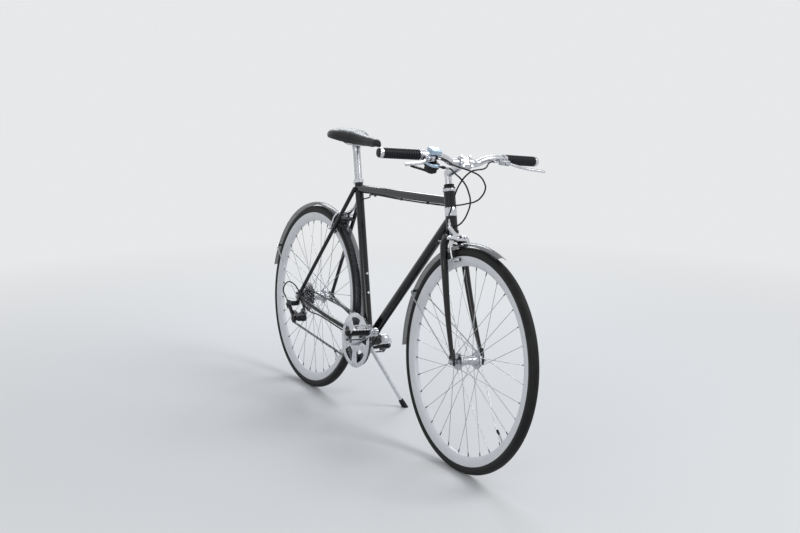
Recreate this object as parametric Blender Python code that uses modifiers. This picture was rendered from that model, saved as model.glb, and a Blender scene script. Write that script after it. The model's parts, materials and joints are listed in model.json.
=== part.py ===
"""A city bike: steel diamond frame, 700C wheels, dual pivot brakes, one chainring and seven sprockets."""

import math

import bmesh
import bpy
from mathutils import Matrix, Vector

# Sizes are in metres. X is forward from the rear axle, Y is left, Z is up from the ground under the tyres.
LEAN = math.radians(5.73)
WHEELBASE = 1.027
WHEEL_RADIUS = 0.342
WHEEL_STEPS = 32
TIRE_RADIUS = 0.0147
TIRE_WALL = 0.0022
RIM_HALF_WIDTH = 0.0130
RIM_EDGE = WHEEL_RADIUS - 0.0255
RIM_DEPTH = 0.030
RIM_WALL = 0.0022
GAP = 0.0003

SEAT_ANGLE = math.radians(72.7)
HEAD_ANGLE = math.radians(73.0)
FORK_RAKE = 0.030
CHAINSTAY_REACH = 0.430
BRACKET_DROP = 0.070
BRACKET = (CHAINSTAY_REACH, WHEEL_RADIUS - BRACKET_DROP)
SEAT_TUBE_TOP = BRACKET[1] + 0.539
SEAT_TUBE_RADIUS = 0.0147
SEATPOST_RADIUS = 0.0130
TOP_TUBE_RADIUS = 0.0143
TOP_TUBE_SEAT_Z = SEAT_TUBE_TOP - 0.0295
DOWN_TUBE_RADIUS = 0.0159
HEAD_TUBE_RADIUS = 0.0180
CROWN_UP = WHEEL_RADIUS + 0.0350
HEAD_TUBE_LOW = CROWN_UP + 0.0250
HEAD_TUBE_HIGH = HEAD_TUBE_LOW + 0.1217
TOP_TUBE_HEAD_UP = HEAD_TUBE_HIGH - 0.02776
DOWN_TUBE_HEAD_UP = HEAD_TUBE_LOW + 0.0380
STEERER_RADIUS = 0.0127
QUILL_RADIUS = 0.0111
SHELL_RADIUS = 0.0205
SHELL_HALF_WIDTH = 0.034
SHELL_BORE = 0.0172
CHAINSTAY_RADIUS = 0.0092
SEATSTAY_RADIUS = 0.0075

REAR_LOCKNUT = 0.065
REAR_DROPOUT = 0.006
FRONT_LOCKNUT = 0.050
FRONT_DROPOUT = 0.005
REAR_AXLE_RADIUS = 0.0050
FRONT_AXLE_RADIUS = 0.0045

SPOKES = 32
SPOKE_CROSSINGS = 3
SPOKE_RADIUS = 0.0011
FLANGE_RADIUS = 0.0262
SPOKE_CIRCLE = 0.0222
FLANGE_HALF_THICKNESS = 0.0024

CHAIN_PITCH = 0.0127
CHAIN_PIN = 0.0023
CHAIN_HALF_HEIGHT = 0.0040
CHAIN_HALF_WIDTH = 0.0030
CHAIN_PLATE = 0.0012
CHAINLINE = -0.0435
RING_TEETH = 42
SPROCKET_TEETH = (13, 14, 15, 17, 20, 23, 26)
CHAINED_SPROCKET = 3
SPROCKET_SPACING = 0.0048
SPROCKET_HALF_THICKNESS = 0.0009
TOOTH_DEPTH = 0.0045
TOOTH_HEIGHT = 0.0030
JOCKEY_TEETH = 11
GUIDE_JOCKEY = (-0.0085, WHEEL_RADIUS - 0.0714)
JOCKEY_SPACING = 0.071
FREEHUB_RADIUS = 0.0155
HUB_RIGHT_END = -0.0250

CRANK_LENGTH = 0.170
CRANK_ANGLE = math.radians(22.0)
CRANK_INNER = 0.0571
CRANK_THICKNESS = 0.0130
PEDAL_EYE_OFFSET = 0.0090
AXLE_RADIUS = 0.0085
GUARD_RADIUS = 0.0950
BOLT_CIRCLE = 0.0550
PEDAL_INNER = 0.098
PEDAL_OUTER = 0.172
PEDAL_HALF_LENGTH = 0.032

FENDER_RADIUS = WHEEL_RADIUS + 0.0145
FENDER_HALF_WIDTH = 0.0180
FENDER_THICKNESS = 0.0014
STAY_WIRE = 0.0019

BAR_RADIUS = 0.0111
BAR_CENTRE_RADIUS = 0.0127
BAR_UP = 0.0728
BAR_FORWARD = 0.0900
BAR_END_OFFSET = (-0.0220, 0.2865, 0.0150)
GRIP_LENGTH = 0.128
GRIP_RADIUS = 0.0160
CONTROL_Y = 0.147

CALIPER_REACH = 0.0692
CALIPER_LAYER = 0.0080
PAD_DEPTH = 0.0085
PAD_HEIGHT = 0.0090
PAD_LENGTH = 0.044
CALIPER_STAND_OFF = 0.0262
PAD_GAP = 0.0023
CABLE_RADIUS = 0.0024


# Places that the driving sizes give
def along(start, direction, distance):
    return (start[0] + direction[0] * distance, start[1] + direction[1] * distance)


def bore(radius, sides):
    """The corner radius of a many-sided bore whose flats clear a shaft by the usual gap."""
    return (radius + GAP) / math.cos(math.pi / sides)


def side(point, y=0.0):
    """A point of the bike's middle plane, moved sideways to y."""
    return Vector((point[0], y, point[1]))


REAR_AXLE = (0.0, WHEEL_RADIUS)
FRONT_AXLE = (WHEELBASE, WHEEL_RADIUS)
STEER_UP = (-math.cos(HEAD_ANGLE), math.sin(HEAD_ANGLE))
STEER_FORWARD = (math.sin(HEAD_ANGLE), math.cos(HEAD_ANGLE))
STEER_FOOT = along(FRONT_AXLE, STEER_FORWARD, -FORK_RAKE)
SEAT_UP = (-math.cos(SEAT_ANGLE), math.sin(SEAT_ANGLE))
FLAT_SCALE = 1.0 / math.cos(math.pi / WHEEL_STEPS)
BAR_CENTRE = along(along(STEER_FOOT, STEER_UP, HEAD_TUBE_HIGH + BAR_UP), STEER_FORWARD, BAR_FORWARD)


def steer(up, forward=0.0, y=0.0):
    """A point by its distance up the steering axis from beside the front axle, forward of the axis, and left."""
    return side(along(along(STEER_FOOT, STEER_UP, up), STEER_FORWARD, forward), y)


def seat(z, y=0.0):
    """The point of the seat tube's axis at height z."""
    return side(along(BRACKET, SEAT_UP, (z - BRACKET[1]) / SEAT_UP[1]), y)


def by_point(point, forward, y, up):
    return side(point, y) + Vector((forward, 0.0, up))


def by_seat_top(forward, y, up):
    """A point by its place from the top of the seat tube."""
    return seat(SEAT_TUBE_TOP, y) + Vector((forward, 0.0, up))


def by_bar(forward, y, up):
    """A point by its place from the middle of the handlebar's clamp."""
    return side(BAR_CENTRE, y) + Vector((forward, 0.0, up))


def round_wheel(centre, radius, degrees, y=0.0):
    """A point round an axle: 0 degrees is forward, 90 up."""
    turn = math.radians(degrees)
    return Vector((centre[0] + radius * math.cos(turn), y, centre[1] + radius * math.sin(turn)))


SEATSTAY_FOOT = Vector((0.006, 0.0683, WHEEL_RADIUS + 0.016))
SEATSTAY_HEAD = seat(SEAT_TUBE_TOP - 0.032, 0.0165) + Vector((-0.004, 0.0, 0.0))
SEATSTAY_LINE = (SEATSTAY_HEAD - SEATSTAY_FOOT).normalized()
BRIDGE_UP = WHEEL_RADIUS + 0.0195
BRIDGE_RADIUS = 0.0075
FENDER_BRIDGE = round_wheel(REAR_AXLE, FENDER_RADIUS + 0.01496, -9.374)
FENDER_BRIDGE_RADIUS = 0.0050
BARREL_LINE = Vector((-0.70, -0.10, 0.70)).normalized()
BRIDGE = SEATSTAY_FOOT + SEATSTAY_LINE * BRIDGE_UP
CROWN_DEPTH = 0.006
BLADE_ROOT_DEPTH = 0.0152
LEFT, RIGHT = 1, -1


# Collections, materials and the empty that leans the bike onto its stand
for existing in list(bpy.data.objects):
    bpy.data.objects.remove(existing, do_unlink=True)

parts = bpy.data.collections.new("city_bike")
bpy.context.scene.collection.children.link(parts)
bike = bpy.data.objects.new("bike", None)
parts.objects.link(bike)


def material(name, colour, roughness, metallic=0.0, alpha=1.0):
    made = bpy.data.materials.new(name)
    made.use_nodes = True
    shader = made.node_tree.nodes["Principled BSDF"]
    shader.inputs["Base Color"].default_value = (*colour, 1.0)
    shader.inputs["Roughness"].default_value = roughness
    shader.inputs["Metallic"].default_value = metallic
    shader.inputs["Alpha"].default_value = alpha
    return made


FRAME_PAINT = material("frame_paint", (0.010, 0.010, 0.013), 0.15)
POLISHED = material("polished_alloy", (0.80, 0.81, 0.84), 0.12, 1.0)
SATIN = material("satin_alloy", (0.62, 0.64, 0.67), 0.32, 1.0)
STEEL = material("bright_steel", (0.66, 0.67, 0.69), 0.25, 1.0)
DARK_STEEL = material("dark_steel", (0.10, 0.10, 0.11), 0.35, 1.0)
RIM_PAINT = material("rim_enamel", (0.62, 0.64, 0.68), 0.35)
RUBBER = material("tire_rubber", (0.012, 0.012, 0.013), 0.6)
GRIP_RUBBER = material("grip_rubber", (0.015, 0.016, 0.020), 0.55)
BLACK_PLASTIC = material("black_plastic", (0.018, 0.018, 0.020), 0.4)
COVER = material("saddle_cover", (0.010, 0.010, 0.011), 0.5)
SMOKE = material("smoked_plastic", (0.10, 0.11, 0.12), 0.12, 0.0, 0.45)
HOUSING = material("cable_housing", (0.012, 0.012, 0.013), 0.35)


# Basic solids, all made in place
def new_object(name, mesh):
    made = bpy.data.objects.new(name, mesh)
    parts.objects.link(made)
    return made


def from_bmesh(form, name="piece"):
    mesh = bpy.data.meshes.new(name)
    form.to_mesh(mesh)
    form.free()
    return new_object(name, mesh)


def frame_of(origin, z_axis, x_hint=(0.0, 1.0, 0.0)):
    """A matrix whose Z axis runs along z_axis and whose X axis lies as near x_hint as it can."""
    up = Vector(z_axis).normalized()
    across = Vector(x_hint) - up * up.dot(Vector(x_hint))
    across.normalize()
    third = up.cross(across)
    turn = Matrix((across, third, up)).transposed().to_4x4()
    return Matrix.Translation(Vector(origin)) @ turn


def rod(start, end, radius, end_radius=None, sides=12):
    start, end = Vector(start), Vector(end)
    line = end - start
    hint = (1.0, 0.0, 0.0) if abs(line.normalized().y) > 0.9 else (0.0, 1.0, 0.0)
    form = bmesh.new()
    bmesh.ops.create_cone(
        form, cap_ends=True, segments=sides, radius1=radius,
        radius2=radius if end_radius is None else end_radius, depth=line.length,
    )
    form.transform(frame_of((start + end) / 2, line, hint))
    return from_bmesh(form)


def block(size, matrix):
    form = bmesh.new()
    bmesh.ops.create_cube(form, size=1.0)
    form.transform(matrix @ Matrix.Diagonal((*size, 1.0)))
    return from_bmesh(form)


def to_mesh_object(source):
    """Replaces an object by the mesh that it evaluates to, welded and facing out."""
    bpy.context.view_layer.update()
    graph = bpy.context.evaluated_depsgraph_get()
    mesh = bpy.data.meshes.new_from_object(source.evaluated_get(graph))
    form = bmesh.new()
    form.from_mesh(mesh)
    bmesh.ops.remove_doubles(form, verts=form.verts, dist=1e-6)
    bmesh.ops.dissolve_degenerate(form, edges=form.edges, dist=1e-6)
    bmesh.ops.dissolve_limit(form, angle_limit=math.radians(0.1), verts=form.verts, edges=form.edges)
    bmesh.ops.recalc_face_normals(form, faces=form.faces)
    form.to_mesh(mesh)
    form.free()
    result = new_object("piece", mesh)
    result.matrix_world = source.matrix_world.copy()
    bpy.data.objects.remove(source, do_unlink=True)
    return result


def settle(source):
    """Moves an object's transform into its mesh."""
    source.data.transform(source.matrix_world)
    source.matrix_world = Matrix.Identity(4)
    return source


def sweep(points, radius, sides_level=1, radii=None):
    """A round tube along points, with a radius for each point if radii are given."""
    curve = bpy.data.curves.new("path", "CURVE")
    curve.dimensions = "3D"
    curve.bevel_depth = radius
    curve.bevel_resolution = sides_level
    curve.use_fill_caps = True
    spline = curve.splines.new("POLY")
    spline.points.add(len(points) - 1)
    for index, place in enumerate(points):
        spline.points[index].co = (*place, 1.0)
        spline.points[index].radius = 1.0 if radii is None else radii[index] / radius
    return settle(to_mesh_object(new_object("path", curve)))


def smooth_path(points, count):
    """Points evenly spaced along a smooth curve through the given points."""
    given = [Vector(p) for p in points]
    ends = [given[0] * 2 - given[1], *given, given[-1] * 2 - given[-2]]
    fine = []
    for index in range(1, len(ends) - 2):
        p0, p1, p2, p3 = ends[index - 1:index + 3]
        for step in range(24):
            t = step / 24
            fine.append(0.5 * (
                2 * p1 + (p2 - p0) * t + (2 * p0 - 5 * p1 + 4 * p2 - p3) * t * t
                + (3 * p1 - p0 - 3 * p2 + p3) * t ** 3
            ))
    fine.append(given[-1])
    lengths = [0.0]
    for a, b in zip(fine, fine[1:]):
        lengths.append(lengths[-1] + (b - a).length)
    spaced = []
    index = 0
    for step in range(count):
        wanted = lengths[-1] * step / (count - 1)
        while index < len(fine) - 2 and lengths[index + 1] < wanted:
            index += 1
        span = lengths[index + 1] - lengths[index]
        spaced.append(fine[index].lerp(fine[index + 1], (wanted - lengths[index]) / span))
    return spaced


def thinned(points, tolerance=0.0008):
    """Leaves out the points that a straight run doesn't need."""
    first, last = points[0], points[-1]
    line = (last - first).normalized()
    off = [((p - first) - line * (p - first).dot(line)).length for p in points]
    worst = max(range(len(points)), key=off.__getitem__)
    if off[worst] < tolerance:
        return [first, last]
    return thinned(points[:worst + 1], tolerance)[:-1] + thinned(points[worst:], tolerance)


def plate(outlines, thickness, matrix):
    """Flat outlines in the matrix's XY plane, holes included, with the thickness along its Z axis."""
    curve = bpy.data.curves.new("outline", "CURVE")
    curve.dimensions = "2D"
    curve.fill_mode = "BOTH"
    curve.extrude = thickness / 2
    for outline in outlines:
        spline = curve.splines.new("POLY")
        spline.points.add(len(outline) - 1)
        spline.use_cyclic_u = True
        for index, place in enumerate(outline):
            spline.points[index].co = (place[0], place[1], 0.0, 1.0)
    made = new_object("outline", curve)
    made.matrix_world = matrix
    return settle(to_mesh_object(made))


def ring_points(radius, count, centre=(0.0, 0.0), start=0.0):
    return [
        (centre[0] + radius * math.cos(start + math.tau * k / count),
         centre[1] + radius * math.sin(start + math.tau * k / count))
        for k in range(count)
    ]


def turned(profile, steps, matrix, closed=True, angle=math.tau, thickness=0.0):
    """A profile of (radius, height) turned about the matrix's Z axis. An open one gets a wall."""
    mesh = bpy.data.meshes.new("profile")
    edges = [(k - 1, k) for k in range(0 if closed else 1, len(profile))]
    edges = [(a % len(profile), b) for a, b in edges if profile[a][0] or profile[b][0]]
    mesh.from_pydata([(r, 0.0, z) for r, z in profile], edges, [])
    made = new_object("profile", mesh)
    screw = made.modifiers.new("turn", "SCREW")
    screw.angle = angle
    screw.steps = screw.render_steps = steps
    screw.use_merge_vertices = True
    screw.merge_threshold = 1e-6
    if thickness:
        wall = made.modifiers.new("wall", "SOLIDIFY")
        wall.thickness = thickness
        wall.offset = 0.0
    made.matrix_world = matrix
    return settle(to_mesh_object(made))


def combine(target, others, operation):
    """Joins or cuts the others, which are used up."""
    for other in others:
        modifier = target.modifiers.new(operation.lower(), "BOOLEAN")
        modifier.operation = operation
        modifier.solver = "EXACT"
        modifier.object = other
    result = to_mesh_object(target)
    for other in others:
        bpy.data.objects.remove(other, do_unlink=True)
    return result


def fuse(target, *others):
    return combine(target, others, "UNION")


def cut(target, *others):
    return combine(target, others, "DIFFERENCE")


def gather(pieces):
    """Several separate solids as one object, for use in one Boolean."""
    form = bmesh.new()
    for piece in pieces:
        form.from_mesh(piece.data)
        bpy.data.objects.remove(piece, do_unlink=True)
    return from_bmesh(form)


def finish(piece, name, finish_material, pivot=(0.0, 0.0, 0.0)):
    """Names a finished solid and puts its origin on its pivot."""
    pivot = Vector(pivot)
    piece.data.transform(Matrix.Translation(-pivot))
    piece.name = name
    piece.data.name = name
    piece.data.materials.clear()
    piece.data.materials.append(finish_material)
    piece.data.shade_smooth()
    piece.data.set_sharp_from_angle(angle=math.radians(40))
    piece.parent = bike
    piece.location = pivot
    return piece


ACROSS = Vector((0.0, 1.0, 0.0))


def lateral(centre, y=0.0):
    """A frame at a point of the middle plane: X forward, Y down, Z to the left."""
    return frame_of(side(centre, y), ACROSS, (1.0, 0.0, 0.0))


def upright(centre, y=0.0):
    """A frame for flat plates that face sideways: X forward, Y up, Z to the right."""
    return frame_of(side(centre, y), -ACROSS, (1.0, 0.0, 0.0))


# Frame tubes
def by_down_tube(share, turn):
    """A cable's place on the down tube's skin. The turn goes from its right side to its underside."""
    start, end = side(BRACKET), steer(DOWN_TUBE_HEAD_UP)
    below = (end - start).normalized().cross(-ACROSS)
    angle = math.radians(turn)
    out = DOWN_TUBE_RADIUS + CABLE_RADIUS + 0.0005
    return start.lerp(end, share) + (below * math.sin(angle) - ACROSS * math.cos(angle)) * out


def head_cylinder(radius):
    return rod(steer(HEAD_TUBE_LOW - 0.04), steer(HEAD_TUBE_HIGH + 0.04), radius, sides=24)


def seat_cylinder(radius):
    return rod(seat(BRACKET[1]), seat(SEAT_TUBE_TOP + 0.03), radius, sides=20)


def shell_cylinder(radius, half_width=0.06):
    return rod(side(BRACKET, -half_width), side(BRACKET, half_width), radius, sides=24)


def make_head_tube():
    lower_cup = HEAD_TUBE_LOW - 0.010
    inside = bore(STEERER_RADIUS, 16)
    profile = [
        (HEAD_TUBE_RADIUS, HEAD_TUBE_HIGH), (HEAD_TUBE_RADIUS, HEAD_TUBE_LOW + 0.0005),
        (HEAD_TUBE_RADIUS + 0.0020, HEAD_TUBE_LOW), (HEAD_TUBE_RADIUS + 0.0024, lower_cup + 0.0035),
        (HEAD_TUBE_RADIUS + 0.0004, lower_cup), (inside, lower_cup), (inside, HEAD_TUBE_LOW),
        (HEAD_TUBE_RADIUS - 0.0025, HEAD_TUBE_LOW + 0.003), (HEAD_TUBE_RADIUS - 0.0025, HEAD_TUBE_HIGH),
    ]
    finish(turned(profile, 16, frame_of(steer(0.0), side(STEER_UP))), "head_tube", FRAME_PAINT)


def make_headset():
    inside = bore(STEERER_RADIUS, 16)
    spigot = HEAD_TUBE_RADIUS - 0.0025 - GAP
    low = HEAD_TUBE_HIGH + GAP
    cup = [
        (HEAD_TUBE_RADIUS + 0.0012, low), (HEAD_TUBE_RADIUS + 0.0030, low + 0.003),
        (HEAD_TUBE_RADIUS + 0.0022, low + 0.008), (inside, low + 0.010), (inside, low - 0.009), (spigot, low - 0.009),
        (spigot, low),
    ]
    finish(turned(cup, 16, frame_of(steer(0.0), side(STEER_UP))), "headset_upper_cup", BLACK_PLASTIC)
    nut = low + 0.010 + GAP
    ring = [
        (0.0200, nut), (0.0200, nut + 0.0030), (0.0165, nut + 0.0040), (0.0160, nut + 0.0130),
        (inside, nut + 0.0130), (inside, nut),
    ]
    finish(turned(ring, 16, frame_of(steer(0.0), side(STEER_UP))), "headset_locknut", SATIN, steer(nut))


def make_main_tubes():
    top = rod(seat(TOP_TUBE_SEAT_Z), steer(TOP_TUBE_HEAD_UP), TOP_TUBE_RADIUS, sides=14)
    top = cut(top, seat_cylinder(SEAT_TUBE_RADIUS + GAP), head_cylinder(HEAD_TUBE_RADIUS + GAP))
    finish(top, "top_tube", FRAME_PAINT)

    down_head = steer(DOWN_TUBE_HEAD_UP)
    down = rod(side(BRACKET), down_head, DOWN_TUBE_RADIUS, sides=14)
    down = cut(down, head_cylinder(HEAD_TUBE_RADIUS + GAP))
    down = cut(down, shell_cylinder(SHELL_RADIUS + GAP), seat_cylinder(SEAT_TUBE_RADIUS + GAP))
    stop = rod(by_down_tube(0.842, 69), by_down_tube(0.868, 69), 0.0050, sides=8)
    hole = rod(by_down_tube(0.83, 69), by_down_tube(0.88, 69), bore(CABLE_RADIUS, 8) + 0.0003, sides=8)
    finish(cut(fuse(down, stop), hole), "down_tube", FRAME_PAINT)

    tube = rod(side(BRACKET), seat(SEAT_TUBE_TOP), SEAT_TUBE_RADIUS, sides=16)
    tube = fuse(tube, shell_cylinder(SHELL_RADIUS, SHELL_HALF_WIDTH))
    for height in (0.219, 0.155):
        face = seat(BRACKET[1] + height)
        forward = Vector((SEAT_UP[1], 0.0, -SEAT_UP[0]))
        tube = fuse(tube, rod(face, face + forward * (SEAT_TUBE_RADIUS + 0.0022), 0.0045, sides=8))
    tube = cut(tube, shell_cylinder(SHELL_BORE))
    post_room = rod(side(BRACKET), seat(SEAT_TUBE_TOP + 0.02), SEATPOST_RADIUS + GAP, sides=16)
    slot_at = seat(SEAT_TUBE_TOP) - side(SEAT_UP) * 0.009
    slot = block((0.002, 0.03, 0.022), frame_of(slot_at - Vector((0.014, 0.0, 0.0)), side(SEAT_UP)))
    tube = cut(tube, post_room)
    tube = cut(tube, slot)
    finish(tube, "seat_tube", FRAME_PAINT)


def make_bracket_cartridge():
    edge = SHELL_HALF_WIDTH + GAP
    body = (SHELL_BORE - GAP) * math.cos(math.pi / 24)
    inside = bore(AXLE_RADIUS, 12)
    profile = [
        (inside, edge + 0.003), (0.0190, edge + 0.003), (0.0190, edge), (body, edge),
        (body, -edge), (0.0190, -edge), (0.0190, -edge - 0.003), (inside, -edge - 0.003),
    ]
    finish(turned(profile, 12, lateral(BRACKET)), "bottom_bracket_cartridge", DARK_STEEL)


def make_seat_collar():
    up = side(SEAT_UP)
    base = seat(SEAT_TUBE_TOP) - up * 0.012
    inner = SEAT_TUBE_RADIUS + GAP
    ring = turned(
        [(inner, 0.0), (inner + 0.0030, 0.0), (inner + 0.0030, 0.0125), (inner, 0.0125)], 20, frame_of(base, up)
    )
    back = Vector((-SEAT_UP[1], 0.0, SEAT_UP[0]))
    middle = base + up * 0.00625
    ears = block((0.012, 0.0115, 0.0125), frame_of(middle + back * (inner + 0.0060), up))
    bolt = rod(
        middle + back * (inner + 0.0080) - ACROSS * 0.011, middle + back * (inner + 0.0080) + ACROSS * 0.011,
        0.0028, sides=8,
    )
    slit = block((0.0018, 0.0080, 0.02), frame_of(middle + back * (inner + 0.0010), up))
    ring = cut(fuse(ring, ears), slit)
    finish(fuse(ring, bolt), "seat_collar", POLISHED)


# Rear triangle
def dropout_plate(centre, y, thickness, outline, slot_radius, slot_direction):
    """A frame end with an open slot for the axle."""
    plate_piece = plate([outline], thickness, upright(centre, y))
    reach = 0.05
    slot_line = Vector((slot_direction[0], 0.0, slot_direction[1])).normalized()
    start = side(centre, y)
    width = 2 * slot_radius
    slot = block(
        (0.02, width, reach), frame_of(start + slot_line * (reach / 2), slot_line)
    )
    eye = rod(start - ACROSS * 0.01, start + ACROSS * 0.01, slot_radius, sides=12)
    return cut(plate_piece, fuse(slot, eye))


def make_chainstays():
    middle_y = REAR_LOCKNUT + GAP + REAR_DROPOUT / 2
    widths = [
        (0.972, 0.0235), (0.865, 0.0262), (0.779, 0.0300), (0.674, 0.0385), (0.558, 0.0475), (0.349, 0.0585),
        (0.0744, middle_y - 0.0006),
    ]
    path = [side(REAR_AXLE, y).lerp(side(BRACKET, y), share) for share, y in widths]
    spaced = smooth_path(path, 7)
    radii = [CHAINSTAY_RADIUS - 0.0022 * k / 6 for k in range(7)]
    whole = None
    for hand in (LEFT, RIGHT):
        stay = sweep([(p.x, hand * p.y, p.z) for p in spaced], CHAINSTAY_RADIUS, 1, radii)
        outline = [
            (0.044, -0.012), (0.044, -0.002), (0.018, 0.008), (0.016, 0.017), (0.010, 0.030), (0.000, 0.027),
            (-0.002, 0.016), (-0.012, 0.016), (-0.023, 0.014), (-0.023, 0.004), (-0.013, 0.000),
            (-0.013, -0.012), (0.004, -0.014), (0.014, -0.014),
        ]
        if hand == RIGHT:
            outline[11:13] = [(-0.016, -0.020), (-0.018, -0.030), (-0.008, -0.036), (0.003, -0.030), (0.003, -0.016)]
        end = dropout_plate(
            REAR_AXLE, hand * middle_y, REAR_DROPOUT, outline, REAR_AXLE_RADIUS + GAP, (0.93, -0.36)
        )
        half = fuse(end, stay)
        whole = half if whole is None else gather([whole, half])
    stand_plate = block((0.034, 0.050, 0.0045), Matrix.Translation(side(BRACKET) - Vector((0.051, 0.0, 0.0))))
    fender_bridge = rod(
        FENDER_BRIDGE - ACROSS * 0.027, FENDER_BRIDGE + ACROSS * 0.027, FENDER_BRIDGE_RADIUS, sides=8
    )
    whole = fuse(whole, stand_plate, fender_bridge)
    whole = cut(whole, shell_cylinder(SHELL_RADIUS + GAP))
    whole = fuse(whole, *stand_bracket())
    whole = cut(whole, rod(side(HANGER, -0.06), side(HANGER, -0.08), 0.0043, sides=10))
    finish(whole, "chainstays", FRAME_PAINT)


def make_seatstays():
    whole = None
    tab = SEATSTAY_FOOT.copy()
    for hand in (LEFT, RIGHT):
        flip = Vector((1.0, hand, 1.0))
        foot, head = SEATSTAY_FOOT * flip, SEATSTAY_HEAD * flip
        stay = rod(foot, head, SEATSTAY_RADIUS - 0.0010, SEATSTAY_RADIUS, sides=12)
        whole = stay if whole is None else gather([whole, stay])
    bridge = rod(BRIDGE * Vector((1.0, -1.0, 1.0)), BRIDGE, BRIDGE_RADIUS, sides=10)
    whole = fuse(whole, bridge)
    slots = []
    for hand in (LEFT, RIGHT):
        middle_y = REAR_LOCKNUT + GAP + REAR_DROPOUT / 2
        slots.append(block(
            (REAR_DROPOUT + 2 * GAP, 0.040, 0.0320),
            frame_of((tab.x, hand * middle_y, tab.z), (SEATSTAY_LINE.x, 0.0, SEATSTAY_LINE.z)),
        ))
    whole = cut(whole, gather(slots), seat_cylinder(SEAT_TUBE_RADIUS + GAP))
    whole = fuse(whole, *caliper_carrier(rear_caliper(), 0.011))
    finish(whole, "seatstays", FRAME_PAINT)


# Brake calipers, in a frame whose X is left, Y up along the stays and Z out of the caliper's front
CARRIER_PIVOT = (0.0185, -0.003)
BARREL_X = -0.0290


def front_caliper():
    forward = side(STEER_FORWARD)
    return frame_of(steer(CROWN_UP) + forward * CALIPER_STAND_OFF, forward, ACROSS)


def rear_caliper():
    back = Vector((-SEATSTAY_LINE.z, 0.0, SEATSTAY_LINE.x)).normalized()
    middle = Vector((BRIDGE.x, 0.0, BRIDGE.z))
    return frame_of(middle + back * (CALIPER_STAND_OFF - 0.008), back, -ACROSS)


def caliper_point(matrix, across, up, out=0.0):
    return matrix @ Vector((across, up, out))


def caliper_carrier(matrix, behind):
    """The centre bolt and the small plate with the second pivot."""
    top = 2 * CALIPER_LAYER + 0.0025
    bolt = rod(caliper_point(matrix, 0, 0, -behind - 0.004), caliper_point(matrix, 0, 0, CALIPER_LAYER), 0.0030, sides=8)
    bar = block((0.030, 0.010, 0.0022), matrix @ Matrix.Translation((0.0093, -0.0015, -0.0014)))
    pivot = CARRIER_PIVOT
    pin = rod(caliper_point(matrix, *pivot, -0.002), caliper_point(matrix, *pivot, top), 0.0030, sides=8)
    return bolt, bar, pin


def brake_arm(matrix, outline, pivot, layer, pad_side):
    depth = CALIPER_LAYER - GAP
    low = layer * CALIPER_LAYER + GAP
    holes = [ring_points(0.0030 + GAP, 8, pivot)]
    arm = plate([outline] + holes, depth, matrix @ Matrix.Translation((0, 0, low + depth / 2)))
    inner = RIM_HALF_WIDTH + PAD_GAP
    pad = block(
        (PAD_DEPTH, PAD_HEIGHT, PAD_LENGTH),
        matrix @ Matrix.Translation((pad_side * (inner + PAD_DEPTH / 2), -CALIPER_REACH, CALIPER_LAYER + 0.002))
        @ Matrix.Rotation(math.radians(6.0), 4, "X"),
    )
    return fuse(arm, pad)


def make_caliper(matrix, prefix):
    """The arm with the cable's barrel turns on the centre bolt, the arm with its clamp on the second pivot."""
    barrel_arm = [
        (0.0085, 0.0010), (0.0060, 0.0085), (-0.0060, 0.0130), (-0.0170, 0.0240), (-0.0240, 0.0330),
        (-0.0340, 0.0330), (-0.0330, 0.0260), (-0.0250, 0.0140), (-0.0200, 0.0010), (-0.0310, -0.0080),
        (-0.0335, -0.0220), (-0.0315, -0.0600), (-0.0270, -0.0755), (-0.0205, -0.0755), (-0.0215, -0.0600),
        (-0.0235, -0.0220), (-0.0190, -0.0140), (-0.0060, -0.0085), (0.0050, -0.0070),
    ]
    clamp_arm = [
        (0.0185, 0.0060), (0.0290, 0.0000), (0.0335, -0.0120), (0.0340, -0.0220), (0.0315, -0.0600),
        (0.0270, -0.0755), (0.0205, -0.0755), (0.0215, -0.0600), (0.0240, -0.0240), (0.0190, -0.0120),
        (0.0080, -0.0115), (-0.0100, -0.0110), (-0.0300, -0.0065), (-0.0430, -0.0070), (-0.0460, -0.0010),
        (-0.0420, 0.0050), (-0.0280, 0.0040), (-0.0080, 0.0010),
    ]
    clamp_arm = [(x, y - 0.0015) for x, y in clamp_arm]
    across = matrix.to_3x3() @ Vector((1.0, 0.0, 0.0))
    near, far = ("right", "left") if across.y > 0 else ("left", "right")
    first = brake_arm(matrix, barrel_arm, (0.0, 0.0), 0, RIGHT)
    second = brake_arm(matrix, clamp_arm, CARRIER_PIVOT, 1, LEFT)
    middle = GAP + CALIPER_LAYER / 2
    barrel = rod(
        caliper_point(matrix, BARREL_X, 0.0300, middle), caliper_point(matrix, BARREL_X, 0.0460, middle), 0.0042, 0.0036,
        sides=8,
    )
    bolt_low = CALIPER_LAYER + 0.002
    bolt = rod(
        caliper_point(matrix, -0.0400, -0.0025, bolt_low), caliper_point(matrix, -0.0400, -0.0025, bolt_low + 0.010), 0.0040,
        sides=6,
    )
    finish(fuse(first, barrel), prefix + "_brake_arm_" + near, POLISHED, caliper_point(matrix, 0, 0))
    finish(fuse(second, bolt), prefix + "_brake_arm_" + far, POLISHED, caliper_point(matrix, *CARRIER_PIVOT))


def barrel_top(matrix):
    return caliper_point(matrix, BARREL_X, 0.0460 + GAP, GAP + CALIPER_LAYER / 2)


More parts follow.
